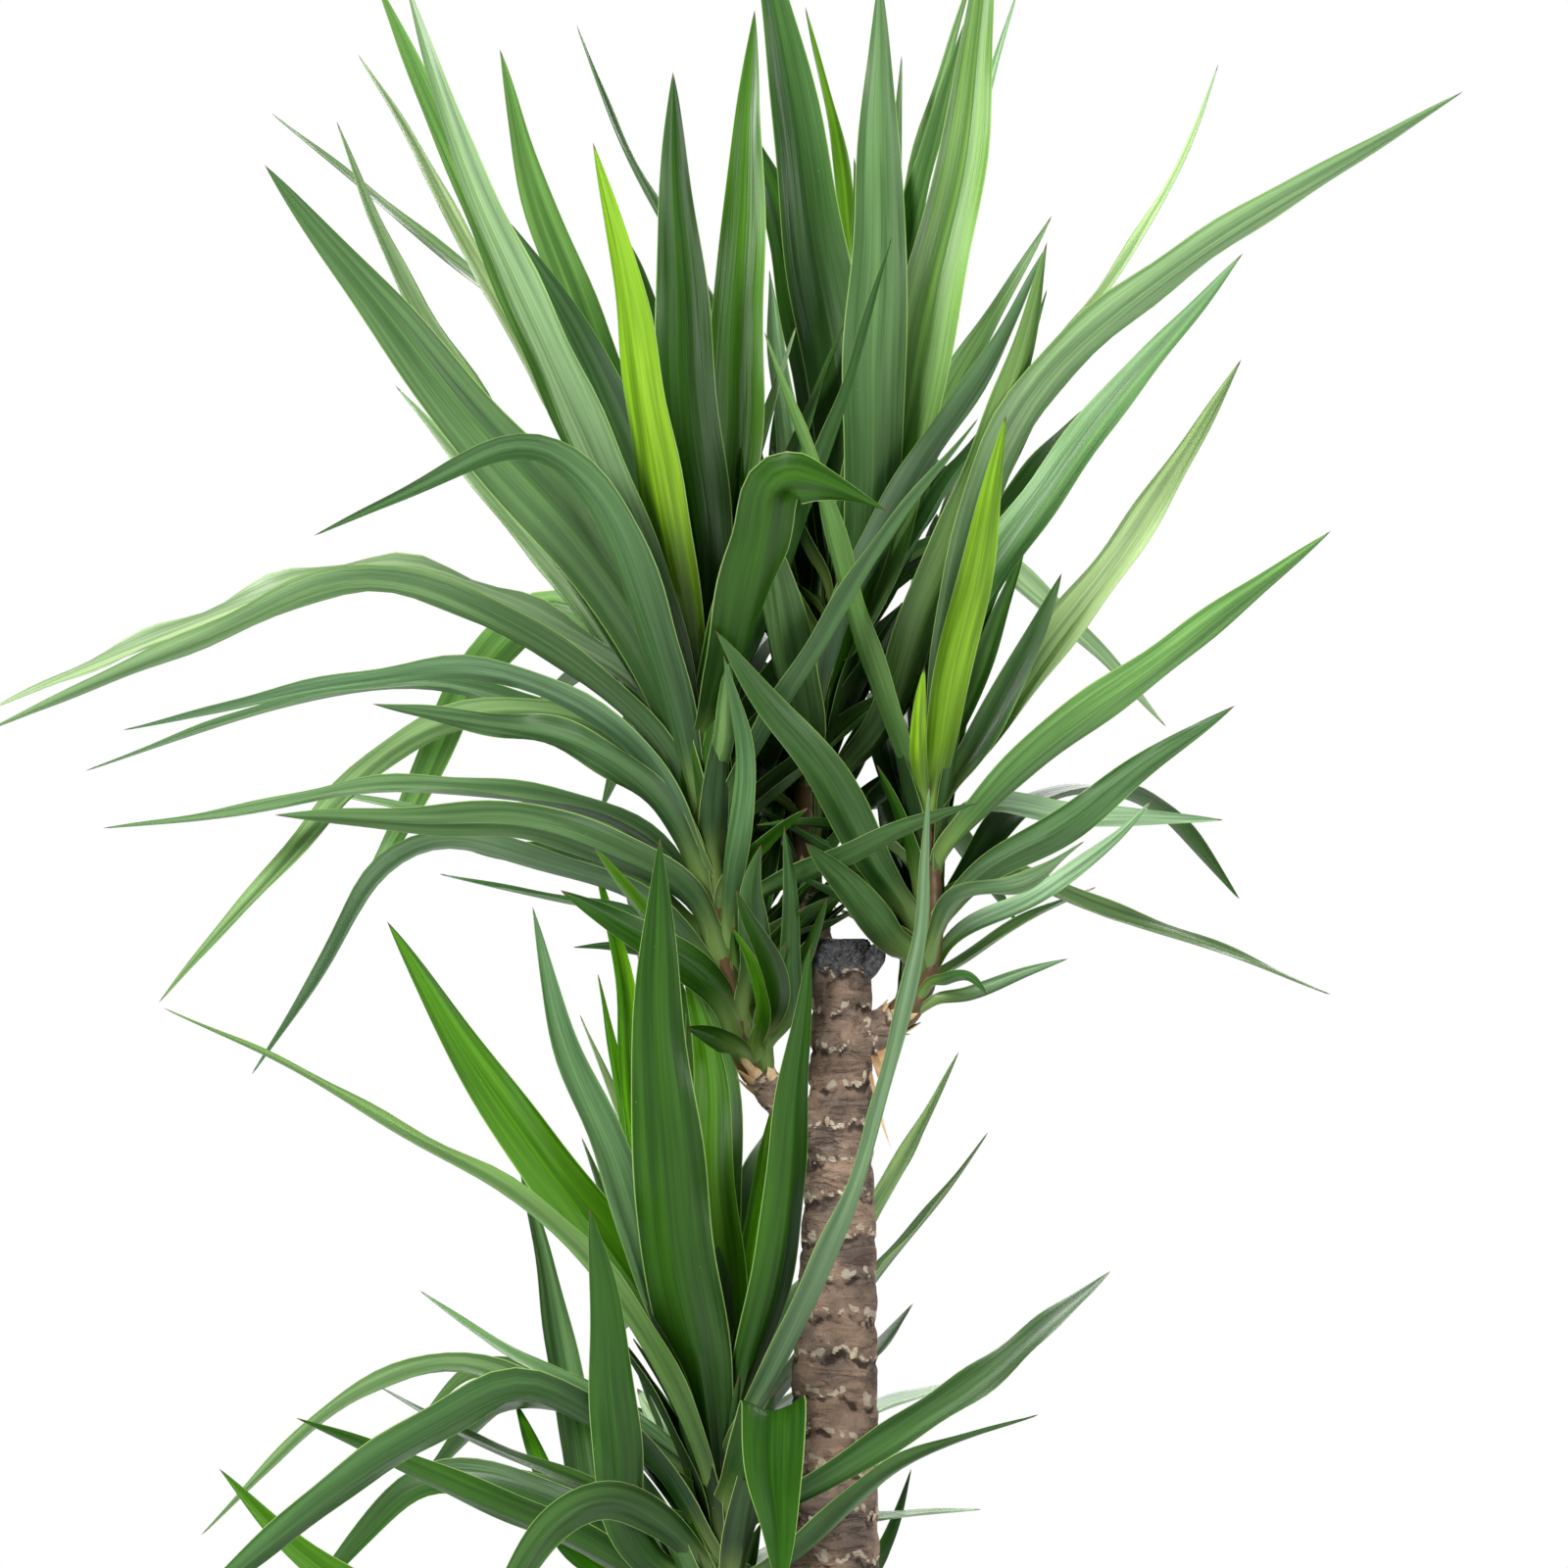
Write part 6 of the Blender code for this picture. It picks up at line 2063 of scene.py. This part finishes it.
def rounded(corners: Sequence[tuple[float, float, float]], steps: int = 4) -> list[tuple[float, float]]:
    """A profile with its corners rounded.

    Args:
        corners: Rows of (radius, height, how far from the corner its round begins).
        steps: How many stretches a round has.

    Returns:
        The (radius, height) points.
    """
    made = [corners[0][:2]]
    for before, here, after in zip(corners, corners[1:], corners[2:]):
        corner = Vector(here[:2])
        back, on = Vector(before[:2]) - corner, Vector(after[:2]) - corner
        start = corner + back.normalized() * min(here[2], back.length * 0.45)
        end = corner + on.normalized() * min(here[2], on.length * 0.45)
        if here[2] == 0:
            made.append(tuple(corner))
            continue
        for k in range(steps + 1):
            t = k / steps
            made.append(tuple(start * (1 - t) ** 2 + corner * (2 * t * (1 - t)) + end * t**2))
    return [*made, corners[-1][:2]]


@dataclass(frozen=True)
class WaxCap:
    """The wax on a cane's sawn top: a lumpy lid, with a skirt that ends in uneven runs."""

    cane: Cane
    sides: int = 96
    longest_run: float = 9.0
    lump: float = 2.6

    def build(self, finish: bpy.types.Material) -> bpy.types.Object:
        """Make the cap.

        Args:
            finish: The wax's material.

        Returns:
            The piece.
        """
        x, y, top, radius = self.cane.axis[-1]
        shoulder = self.cane.shoulder() + GAP
        inside, brim = radius - WAX_WALL, radius + WAX_PROUD
        middle = (shoulder + top) / 2
        rise = middle - shoulder
        wall = [(brim + WAX_PROUD, shoulder + rise * k / 4) for k in range(1, 8)]
        skirt = [(brim + 0.3, shoulder - 1), *wall,
                 (brim - 0.6, top - 2), (brim - 2.2, top - 0.9), (inside - 2.5, top - 0.5)]
        lid = [((inside - 2) * (1 - k / 6), top - 0.5 + 0.4 * math.sin(0.5 * math.pi * k / 6))
               for k in range(1, 6)]
        under = [(inside, top - WAX_WALL), (inside, shoulder), (brim - WAX_PROUD + 0.1, shoulder - 1)]
        profile = [(0, top - WAX_WALL), *under, *skirt, *lid, (0, top - 0.1)]

        def shift(r: float, z: float, angle: float) -> tuple[float, float]:
            """Lumps all over the outside, and runs where the skirt ends.

            Args:
                r: The plain radius.
                z: The plain height.
                angle: The angle round the axis.

            Returns:
                The radius and height.
            """
            spot = Vector((1.8 * math.cos(angle), 1.8 * math.sin(angle), z / 9 + x))
            run = self.longest_run * max(0.0, noise.noise(Vector((spot.x * 1.6, spot.y * 1.6, x))) + 0.25)
            if z < shoulder:
                return r, z - run
            if r <= inside and z <= top - WAX_WALL:
                return r, z
            lump = self.lump * (noise.noise(2.2 * spot) + 0.5 * noise.noise(5 * spot))
            return r + lump - abs(self.lump) / 2 * (r > inside), min(z + 0.5 * lump, top)

        batch = Batch()
        batch.add(*lathe(profile, (x, y), self.sides, shift))
        return batch.piece(self.cane.name + "_wax_cap", [finish], 60.0)


@dataclass(frozen=True)
class Strewn:
    """Small rounded or flat bits strewn over a surface by Geometry Nodes, in millimetres."""

    name: str
    per_square_metre: float
    smallest: float
    largest: float
    height_share: float
    length_share: float
    seed: int
    weight: str
    rounds: int = 1
    rough: float = 0.35

    def inputs(self) -> dict[str, float | int]:
        """The named inputs of the tree, by name.

        Returns:
            Their values.
        """
        return {
            "Density": self.per_square_metre, "Smallest": self.smallest * MM, "Largest": self.largest * MM,
            "Height share": self.height_share, "Length share": self.length_share, "Rough": self.rough,
            "Seed": self.seed,
        }

    def tree(self, material: bpy.types.Material) -> bpy.types.GeometryNodeTree:
        """Build the tree.

        Args:
            material: The bits' material.

        Returns:
            The tree.
        """
        tree = bpy.data.node_groups.new(self.name, "GeometryNodeTree")
        tree.interface.new_socket("Geometry", in_out="INPUT", socket_type="NodeSocketGeometry")
        for name in self.inputs():
            kind = "NodeSocketInt" if name == "Seed" else "NodeSocketFloat"
            tree.interface.new_socket(name, in_out="INPUT", socket_type=kind)
        tree.interface.new_socket("Geometry", in_out="OUTPUT", socket_type="NodeSocketGeometry")
        graph = Graph(tree)
        given = graph.node("NodeGroupInput").outputs
        weight = graph.wired("GeometryNodeInputNamedAttribute", {"Name": self.weight}, data_type="FLOAT")
        points = graph.wired("GeometryNodeDistributePointsOnFaces", {
            "Mesh": given["Geometry"], "Seed": given["Seed"],
            "Density": graph.times(weight.outputs[0], given["Density"]),
        })
        size = self.chance(graph, given, 1, given["Smallest"], given["Largest"])
        turn = graph.node("FunctionNodeRotateRotation", rotation_space="LOCAL")
        spin = graph.vector(0.0, 0.0, self.chance(graph, given, 2, -math.pi, math.pi))
        graph.feed(turn.inputs[0], points.outputs["Rotation"])
        graph.feed(turn.inputs[1], spin)
        scale = graph.vector(graph.times(size, given["Length share"]), size,
                             graph.times(size, given["Height share"]))
        copies = graph.wired("GeometryNodeInstanceOnPoints", {
            "Points": points.outputs["Points"], "Instance": self.bit(graph, given["Rough"]),
            "Rotation": turn.outputs[0], "Scale": scale,
        })
        real = graph.wired("GeometryNodeRealizeInstances", {"Geometry": copies.outputs[0]})
        dressed = graph.wired("GeometryNodeSetMaterial", {"Geometry": real.outputs[0], "Material": material})
        graph.feed(graph.node("NodeGroupOutput").inputs[0], dressed.outputs[0])
        return tree

    def bit(self, graph: Graph, rough: Socket) -> Socket:
        """One bit: a small ball of unit width with a dented skin.

        Args:
            graph: The tree under construction.
            rough: How deep the dents are.

        Returns:
            The ball's socket.
        """
        ball = graph.wired("GeometryNodeMeshIcoSphere", {"Radius": 0.5, "Subdivisions": self.rounds})
        dents = graph.wired("ShaderNodeTexNoise", {"Scale": 1.7})
        out = graph.node("ShaderNodeVectorMath", operation="SCALE")
        graph.feed(out.inputs[0], graph.node("GeometryNodeInputPosition").outputs[0])
        depth = graph.times(rough, 4.0)
        graph.feed(out.inputs["Scale"], graph.times(graph.minus(dents.outputs[0], 0.5), depth))
        given = {"Geometry": ball.outputs["Mesh"], "Offset": out.outputs[0]}
        dented = graph.wired("GeometryNodeSetPosition", given)
        return dented.outputs[0]

    def chance(self, graph: Graph, given: Any, step: int, low: Value, high: Value) -> Socket:
        """A random number for each bit, from the tree's seed.

        Args:
            graph: The tree under construction.
            given: The tree's inputs.
            step: Added to the seed.
            low: The least.
            high: The most.

        Returns:
            The number's socket.
        """
        draw = graph.node("FunctionNodeRandomValue", data_type="FLOAT")
        sockets = {socket.identifier: socket for socket in draw.inputs}
        graph.feed(sockets["Min_001"], low)
        graph.feed(sockets["Max_001"], high)
        graph.feed(sockets["Seed"], graph.plus(given["Seed"], float(step)))
        return next(socket for socket in draw.outputs if socket.identifier == "Value_001")

    def build(self, ground: bpy.types.Mesh, material: bpy.types.Material) -> bpy.types.Object:
        """Strew the bits over a surface, and turn them into a plain mesh.

        Args:
            ground: The surface.
            material: The bits' material.

        Returns:
            The piece.
        """
        tree = self.tree(material)
        thing = linked(self.name, ground)
        strewing = thing.modifiers.new("strew", "NODES")
        strewing.node_group = tree
        values = self.inputs()
        for item in tree.interface.items_tree:
            if item.in_out == "INPUT" and item.name in values:
                strewing[item.identifier] = values[item.name]
        graph = bpy.context.evaluated_depsgraph_get()
        mesh = bpy.data.meshes.new_from_object(thing.evaluated_get(graph))
        thing.modifiers.remove(strewing)
        bpy.data.objects.remove(thing)
        return placed(self.name, mesh, [material], 40.0)


def cut(body: bpy.types.Object, tools: Sequence[bpy.types.Object]) -> None:
    """Cut tools out of a body by one Boolean, and drop them.

    Args:
        body: What is cut.
        tools: What it is cut with.
    """
    group = bpy.data.collections.new(body.name + "_tools")
    bpy.context.scene.collection.children.link(group)
    for tool in tools:
        bpy.context.scene.collection.objects.unlink(tool)
        group.objects.link(tool)
    boolean = body.modifiers.new("cut", "BOOLEAN")
    boolean.operation = "DIFFERENCE"
    boolean.operand_type = "COLLECTION"
    boolean.collection = group
    boolean.solver = "EXACT"
    graph = bpy.context.evaluated_depsgraph_get()
    result = bpy.data.meshes.new_from_object(body.evaluated_get(graph))
    body.modifiers.remove(boolean)
    body.data = result
    for tool in tools:
        bpy.data.objects.remove(tool)
    bpy.data.collections.remove(group)


def drill(name: str, x: float, y: float, low: float, high: float, radius: float) -> bpy.types.Object:
    """An upright cylinder to cut with.

    Args:
        name: Its name.
        x: Where its axis stands.
        y: Where its axis stands.
        low: The height of its foot.
        high: The height of its top.
        radius: Its radius.

    Returns:
        The cylinder.
    """
    batch = Batch()
    batch.add(*tube(((x, y, low, radius), (x, y, high, radius)), 32))
    return batch.piece(name, [])


@dataclass(frozen=True)
class Pot:
    """The nursery pot: a leaning wall with shallow steps, a rolled rim and drain holes."""

    sides: int = 144
    groove_heights: tuple[float, ...] = (60.0, 66.0)
    groove_depth: float = 0.7
    groove_width: float = 1.6

    def wall(self, height: float) -> float:
        """The outer radius of the wall at a height."""
        return POT_FOOT_RADIUS + (POT_TOP_RADIUS - POT_FOOT_RADIUS) * height / POT_HEIGHT

    def profile(self) -> list[tuple[float, float]]:
        """The pot's outline, from the middle of its underside to the middle of its floor inside.

        Returns:
            Its (radius, height) points.
        """
        band, brim, floor = POT_HEIGHT - POT_RIM_HEIGHT, POT_TOP_RADIUS + POT_RIM_PROUD, POT_FLOOR
        outside = [(0, 0, 0), (POT_FOOT_RADIUS - 2, 0, 0.5), (POT_FOOT_RADIUS, 2, 1.5)]
        for height in self.groove_heights:
            half = self.groove_width / 2
            outside += [(self.wall(height - half), height - half, 0.3),
                        (self.wall(height) - self.groove_depth, height, 0.6),
                        (self.wall(height + half), height + half, 0.3)]
        rim = [(self.wall(band), band, 0.6), (brim - 0.6, band + 0.4, 1.2), (brim - 1.2, POT_HEIGHT - 6, 2.0),
               (brim, POT_HEIGHT - 4, 1.5), (brim, POT_HEIGHT, 2.0)]
        inside = [(self.wall(POT_HEIGHT) - POT_WALL, POT_HEIGHT, 1.2),
                  (self.wall(floor) - POT_WALL, floor, 1.5), (0, floor, 0)]
        return rounded([*outside, *rim, *inside])

    def build(self, finish: bpy.types.Material) -> bpy.types.Object:
        """Make the pot.

        Args:
            finish: The plastic's material.

        Returns:
            The piece.
        """
        batch = Batch()
        batch.add(*lathe(self.profile(), (0, 0), self.sides))
        pot = batch.piece("nursery_pot", [finish], 40.0)
        holes = []
        for k in range(DRAIN_COUNT):
            angle = math.tau * k / DRAIN_COUNT
            x, y = DRAIN_CIRCLE * math.cos(angle), DRAIN_CIRCLE * math.sin(angle)
            holes.append(drill(f"drain_{k}", x, y, -5, POT_FLOOR + 5, DRAIN_RADIUS))
        cut(pot, holes)
        return pot


@dataclass(frozen=True)
class Soil:
    """The soil: a low lumpy mound, strewn with crumbs, fibres and perlite."""

    pot: Pot
    sides: int = 132
    rings: int = 34
    lump_height: float = 1.8
    clear_of_canes: float = 4.0

    def build(self, earth: bpy.types.Material, perlite: bpy.types.Material,
              chips: bpy.types.Material) -> list[bpy.types.Object]:
        """Make the soil and what lies on it.

        Args:
            earth: The soil's material.
            perlite: The white grains' material.
            chips: The bark chips' material.

        Returns:
            The soil first, and then what is strewn on it.
        """
        floor = POT_FLOOR + GAP
        wall = [(self.pot.wall(z) - POT_WALL - GAP, z) for z in (floor, SOIL_TOP)]
        brim = wall[1][0]
        rises = [math.sin(0.5 * math.pi * k / self.rings) for k in range(1, self.rings)]
        mound = [(brim * (1 - k / self.rings), SOIL_TOP + SOIL_MOUND * rise)
                 for k, rise in enumerate(rises, 1)]
        points, faces = lathe([(0, floor), *wall, *mound, (0, SOIL_TOP + SOIL_MOUND)], (0, 0), self.sides)
        open_shares = []
        for point in points:
            on_top = point.z >= SOIL_TOP
            if on_top and math.hypot(point.x, point.y) < brim - 1:
                spot = Vector((point.x, point.y, 0))
                point.z += self.lump_height * (noise.noise(spot / 17) + 0.5 * noise.noise(spot / 6))
            near = min(math.dist(point[:2], cane[0][:2]) - cane[0][3] for cane in (TALL_CANE, SHORT_CANE))
            open_shares.append(float(on_top and near > self.clear_of_canes))
        batch = Batch()
        batch.add(points, faces, open=open_shares)
        soil = batch.piece("potting_soil", [earth], 70.0)
        strewn = [
            Strewn("soil_crumbs", 52000, 1.6, 5.2, 0.7, 1.2, 11, "open").build(soil.data, earth),
            Strewn("perlite_grains", 3600, 1.5, 4.2, 0.85, 1.1, 23, "open", 2).build(soil.data, perlite),
            Strewn("bark_chips", 2600, 3.0, 8.0, 0.3, 1.9, 37, "open").build(soil.data, chips),
        ]
        holes = [drill(f"hole_{k}", x, y, foot - GAP, POT_HEIGHT + 10, radius + HOLE_PLAY)
                 for k, (x, y, foot, radius) in enumerate((TALL_CANE[0], SHORT_CANE[0]))]
        cut(soil, holes)
        return [soil, *strewn]


@dataclass(frozen=True)
class Scrap:
    """A dry papery strip that tapers to a point, in millimetres."""

    course: tuple[tuple[float, float, float], ...]
    width: float
    facing: tuple[float, float, float]
    curl: float = 0.25
    thickness: float = 0.5
    sections: int = 14
    lanes: int = 5

    def add_to(self, batch: Batch) -> None:
        """Add the strip.

        Args:
            batch: What it is added to.
        """
        curve = Curve(self.course)
        points: list[Vector] = []
        count = 2 * self.lanes
        for i in range(self.sections):
            share = i / self.sections
            along = curve.tangent(share)
            across = along.cross(Vector(self.facing)).normalized()
            upward = across.cross(along)
            half = 0.5 * self.width * (1 - share**2) * (1 + 0.15 * math.sin(9 * share + self.width))
            tops, unders = [], []
            for k in range(self.lanes):
                lane = 2 * k / (self.lanes - 1) - 1
                rise = self.curl * half * (lane**2 - 0.4)
                middle = curve.point(share) + across * (half * lane) + upward * rise
                tops.append(middle + upward * self.thickness / 2)
                unders.append(middle - upward * self.thickness / 2)
            points += [*tops, *reversed(unders)]
        points.append(curve.point(1.0))
        tip = count * self.sections
        foot = tuple(range(count))
        batch.add(points, [foot, *ring_faces(count, self.sections), *fan(tip - count, count, tip)])


@dataclass(frozen=True)
class DryScraps:
    """The papery sheaths and slivers that still hang on the tall cane and its branches."""

    scraps: Sequence[Scrap]

    def build(self, finish: bpy.types.Material) -> bpy.types.Object:
        """Make the scraps.

        Args:
            finish: Their material.

        Returns:
            The piece.
        """
        batch = Batch()
        for scrap in self.scraps:
            scrap.add_to(batch)
        return batch.piece("dry_sheath_scraps", [finish])


@dataclass(frozen=True)
class SideStub:
    """A side shoot sawn short beside the tall cane's top, and sealed with wax, in millimetres."""

    axis: Sequence[Row] = ((44, 12, 974, 5.5), (50, 10, 982, 7), (56, 9, 990, 6.8), (59, 9, 996, 4.0))
    lump: float = 1.3
    sides: int = 32

    def build(self, finish: bpy.types.Material) -> bpy.types.Object:
        """Make the stub.

        Args:
            finish: The wax's material.

        Returns:
            The piece.
        """

        def radius_at(radius: float, angle: float, height: float) -> float:
            """The lumpy radius."""
            spot = Vector((1.6 * math.cos(angle), 1.6 * math.sin(angle), height / 6))
            return radius + self.lump * noise.noise(spot)

        batch = Batch()
        batch.add(*tube(fine_rows(self.axis, 1.2), self.sides, radius_at))
        return batch.piece("side_stub_wax", [finish], 60.0)


def sheath_round(crown: Crown, count: int, seed: int) -> list[Scrap]:
    """The torn sheaths of fallen leaves round the foot of a green stem.

    Args:
        crown: The shoot.
        count: How many strips there are.
        seed: Of their sizes and places.

    Returns:
        The strips.
    """
    chance = random.Random(seed)
    before, foot = (Vector(row[:3]) for row in crown.wood[-2:])
    along = (foot - before).normalized()
    side = along.cross(Vector((0, 1, 0))).normalized()
    radius = crown.stem[0][3]
    strips = []
    for k in range(count):
        angle = math.tau * (k + chance.uniform(-0.3, 0.3)) / count
        out = side * math.cos(angle) + side.cross(along) * math.sin(angle)
        length = chance.uniform(8, 19)
        start = foot + along * chance.uniform(-9, 2)
        course = [start + out * (radius * flare) + along * (length * share)
                  for share, flare in ((0.0, 0.93), (0.5, 1.10), (1.0, chance.uniform(1.12, 1.45)))]
        strips.append(Scrap(tuple(tuple(point) for point in course), chance.uniform(5, 10), tuple(out), -0.3))
    return strips


SCRAPS = (
    Scrap(((58, 3, 938), (61, 0, 930), (61, 1, 920)), 9.0, (0.3, -1, 0)),
    Scrap(((54, 4, 940), (57, 2, 928), (58, 1, 914)), 9.0, (0.3, -1, 0)),
    Scrap(((53, 6, 918), (58, 2, 896), (66, 0, 871)), 2.6, (0, -1, 0)),
)


@dataclass(frozen=True)
class Studio:
    """The floor, the lights, the white surroundings and the camera."""

    floor_radius: float = 3400.0
    fade_from: float = 1.6
    surroundings: float = 0.32

    def build(self) -> None:
        """Set everything up."""
        self.lay_floor()
        self.whiten()
        self.light("key", (-2.6, -3.2, 3.3), 1.5, 275.0)
        self.light("fill", (3.2, -2.6, 1.9), 1.8, 85.0)
        self.light("rim", (0.8, 3.4, 3.2), 2.4, 120.0)
        self.place_camera()
        scene = bpy.context.scene
        scene.view_settings.view_transform = "Standard"
        scene.cycles.use_denoising = True
        scene.cycles.transmission_bounces = 6
        scene.cycles.diffuse_bounces = 4

    def lay_floor(self) -> None:
        """Lay a round pale floor that fades into the white surroundings at its rim."""
        batch = Batch()
        profile = [(0, -12), (self.floor_radius, -12), (self.floor_radius, 0), (0, 0)]
        batch.add(*lathe(profile, (0, 0), 96))
        material = bpy.data.materials.new("pale_floor")
        material.use_nodes = True
        graph = Graph(material.node_tree)
        shader = material.node_tree.nodes["Principled BSDF"]
        shader.inputs["Base Color"].default_value = (0.86, 0.86, 0.85, 1.0)
        shader.inputs["Roughness"].default_value = 0.9
        far = graph.node("ShaderNodeVectorMath", operation="LENGTH")
        graph.feed(far.inputs[0], graph.place())
        glow = graph.node("ShaderNodeEmission")
        both = graph.node("ShaderNodeMixShader")
        edge = self.floor_radius * MM
        graph.feed(both.inputs[0], graph.ramp(far.outputs["Value"], self.fade_from, edge - 0.1))
        graph.feed(both.inputs[1], shader.outputs[0])
        graph.feed(both.inputs[2], glow.outputs[0])
        graph.feed(material.node_tree.nodes["Material Output"].inputs["Surface"], both.outputs[0])
        floor = batch.piece("pale_floor", [material])
        floor.location.z = -0.0005
        floor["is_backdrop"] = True

    def whiten(self) -> None:
        """White surroundings, a little dimmer as a light than as a background."""
        world = bpy.data.worlds.new("white_studio")
        world.use_nodes = True
        bpy.context.scene.world = world
        graph = Graph(world.node_tree)
        background = world.node_tree.nodes["Background"]
        background.inputs["Color"].default_value = (1.0, 1.0, 1.0, 1.0)
        seen = graph.node("ShaderNodeLightPath").outputs["Is Camera Ray"]
        graph.feed(background.inputs["Strength"], graph.ramp(seen, 0.0, 1.0, self.surroundings, 1.0))

    def light(self, name: str, place: Colour, size: float, power: float) -> None:
        """Hang a soft square light that looks at the plant's middle.

        Args:
            name: The light's name.
            place: Where it hangs, in metres.
            size: The length of its side, in metres.
            power: Its power in watts.
        """
        lamp = bpy.data.lights.new(name, "AREA")
        lamp.size = size
        lamp.energy = power
        thing = linked(name, lamp)
        thing.location = place
        aim = Vector((0, 0, EYE_HEIGHT * MM)) - thing.location
        thing.rotation_euler = aim.to_track_quat("-Z", "Y").to_euler()

    def place_camera(self) -> None:
        """Stand the camera level at the eye, so that the plant fills the frame as in the photograph."""
        lens = bpy.data.cameras.new("front")
        lens.sensor_width = LENS_WIDTH
        lens.lens = LENS_WIDTH * EYE_DISTANCE / VIEW_WIDTH
        lens.clip_end = 100.0
        camera = linked("front", lens)
        camera.location = (0.0, -EYE_DISTANCE * MM, EYE_HEIGHT * MM)
        camera.rotation_euler = (math.pi / 2, 0.0, 0.0)
        bpy.context.scene.camera = camera


def fasten(piece: bpy.types.Object, slot: str, *nodes: str) -> None:
    """Let a piece ride with the plant, in the place of its plain nodes, and report it.

    Args:
        piece: The piece.
        slot: The record's material slot for its finish; not used.
        nodes: The plain nodes that it stands for.
    """
    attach(piece, "root")
    if nodes:
        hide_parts(*nodes)
    LOG.info("%s: %d faces, for %s", piece.name, len(piece.data.polygons), ", ".join(nodes) or "no node")


def corners() -> list[list[float]]:
    """The shown object's lowest and highest corners, as plain numbers."""
    return [list(corner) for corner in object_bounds()]


def main() -> None:
    """Dress the whole plant and its pot, and set up the studio."""
    logging.basicConfig(level=logging.INFO, format="%(name)s %(message)s")
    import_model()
    Studio().build()
    leaf = BladeFinish("leaf_blade", roughness=0.37, specular=0.4).build()
    stem = StemFinish("green_stem", roughness=0.45).build()
    bark = BarkFinish("cane_bark", roughness=0.85, specular=0.3).build()
    wax = WaxFinish("sealing_wax").build()
    tan = SpeckledFinish("bark_flake", 0.85, 0.2, (0.56, 0.47, 0.34), (0.25, 0.17, 0.11)).build()
    dry = SpeckledFinish("dry_sheath", 0.7, 0.3, (0.72, 0.54, 0.30), (0.38, 0.20, 0.09), 130.0).build()
    chips = SpeckledFinish("bark_chip", 0.9, 0.2, (0.20, 0.12, 0.07), (0.07, 0.04, 0.025)).build()
    perlite = SpeckledFinish("perlite", 0.9, 0.3, (0.86, 0.85, 0.81), (0.62, 0.60, 0.55)).build()
    standing = standing_solids()
    blades = settle(CROWNS, standing)
    for crown, number, turn in TURNED_BACK:
        blades[crown.name][len(crown.leaves) + number] = hidden_blade(crown, number, math.radians(turn))
    for heart in HEARTS:
        inner = heart.fill(blades, standing)
        LOG.info("%s: %d inner leaves", heart.crown.name, len(inner))
        blades[heart.crown.name] += inner
    for crown in CROWNS:
        shoot = Shoot(crown, blades[crown.name], wavy=WAVY.get(crown.name, ()))
        fasten(shoot.build(leaf, stem), "leaf", crown.name)
    tall = Cane("tall_cane", TALL_CANE, (LEFT_WOOD, RIGHT_WOOD, BACK_WOOD), Bark(2.0))
    short = Cane("short_cane", SHORT_CANE, (LOW_WOOD,), Bark(31.0))
    for cane in (tall, short):
        piece = cane.build(bark)
        fasten(piece, "bark", cane.name)
        flakes = Strewn(cane.name + "_flakes", 30000, 1.6, 5.5, 0.16, 1.9, 5, "lip")
        fasten(flakes.build(piece.data, tan), "bark")
        fasten(WaxCap(cane).build(wax), "wax", cane.name + "_wax")
    fasten(SideStub().build(wax), "wax")
    sheaths = [scrap for k, crown in enumerate(CROWNS) for scrap in sheath_round(crown, 9, 40 + k)]
    fasten(DryScraps([*SCRAPS, *sheaths]).build(dry), "bark")
    pot = Pot()
    fasten(pot.build(PotFinish("nursery_plastic", roughness=0.42).build()), "pot_plastic", "pot")
    soil, *strewn = Soil(pot).build(EarthFinish("peat").build(), perlite, chips)
    fasten(soil, "soil", "soil")
    for piece in strewn:
        fasten(piece, "soil")


if __name__ == "__main__":
    main()
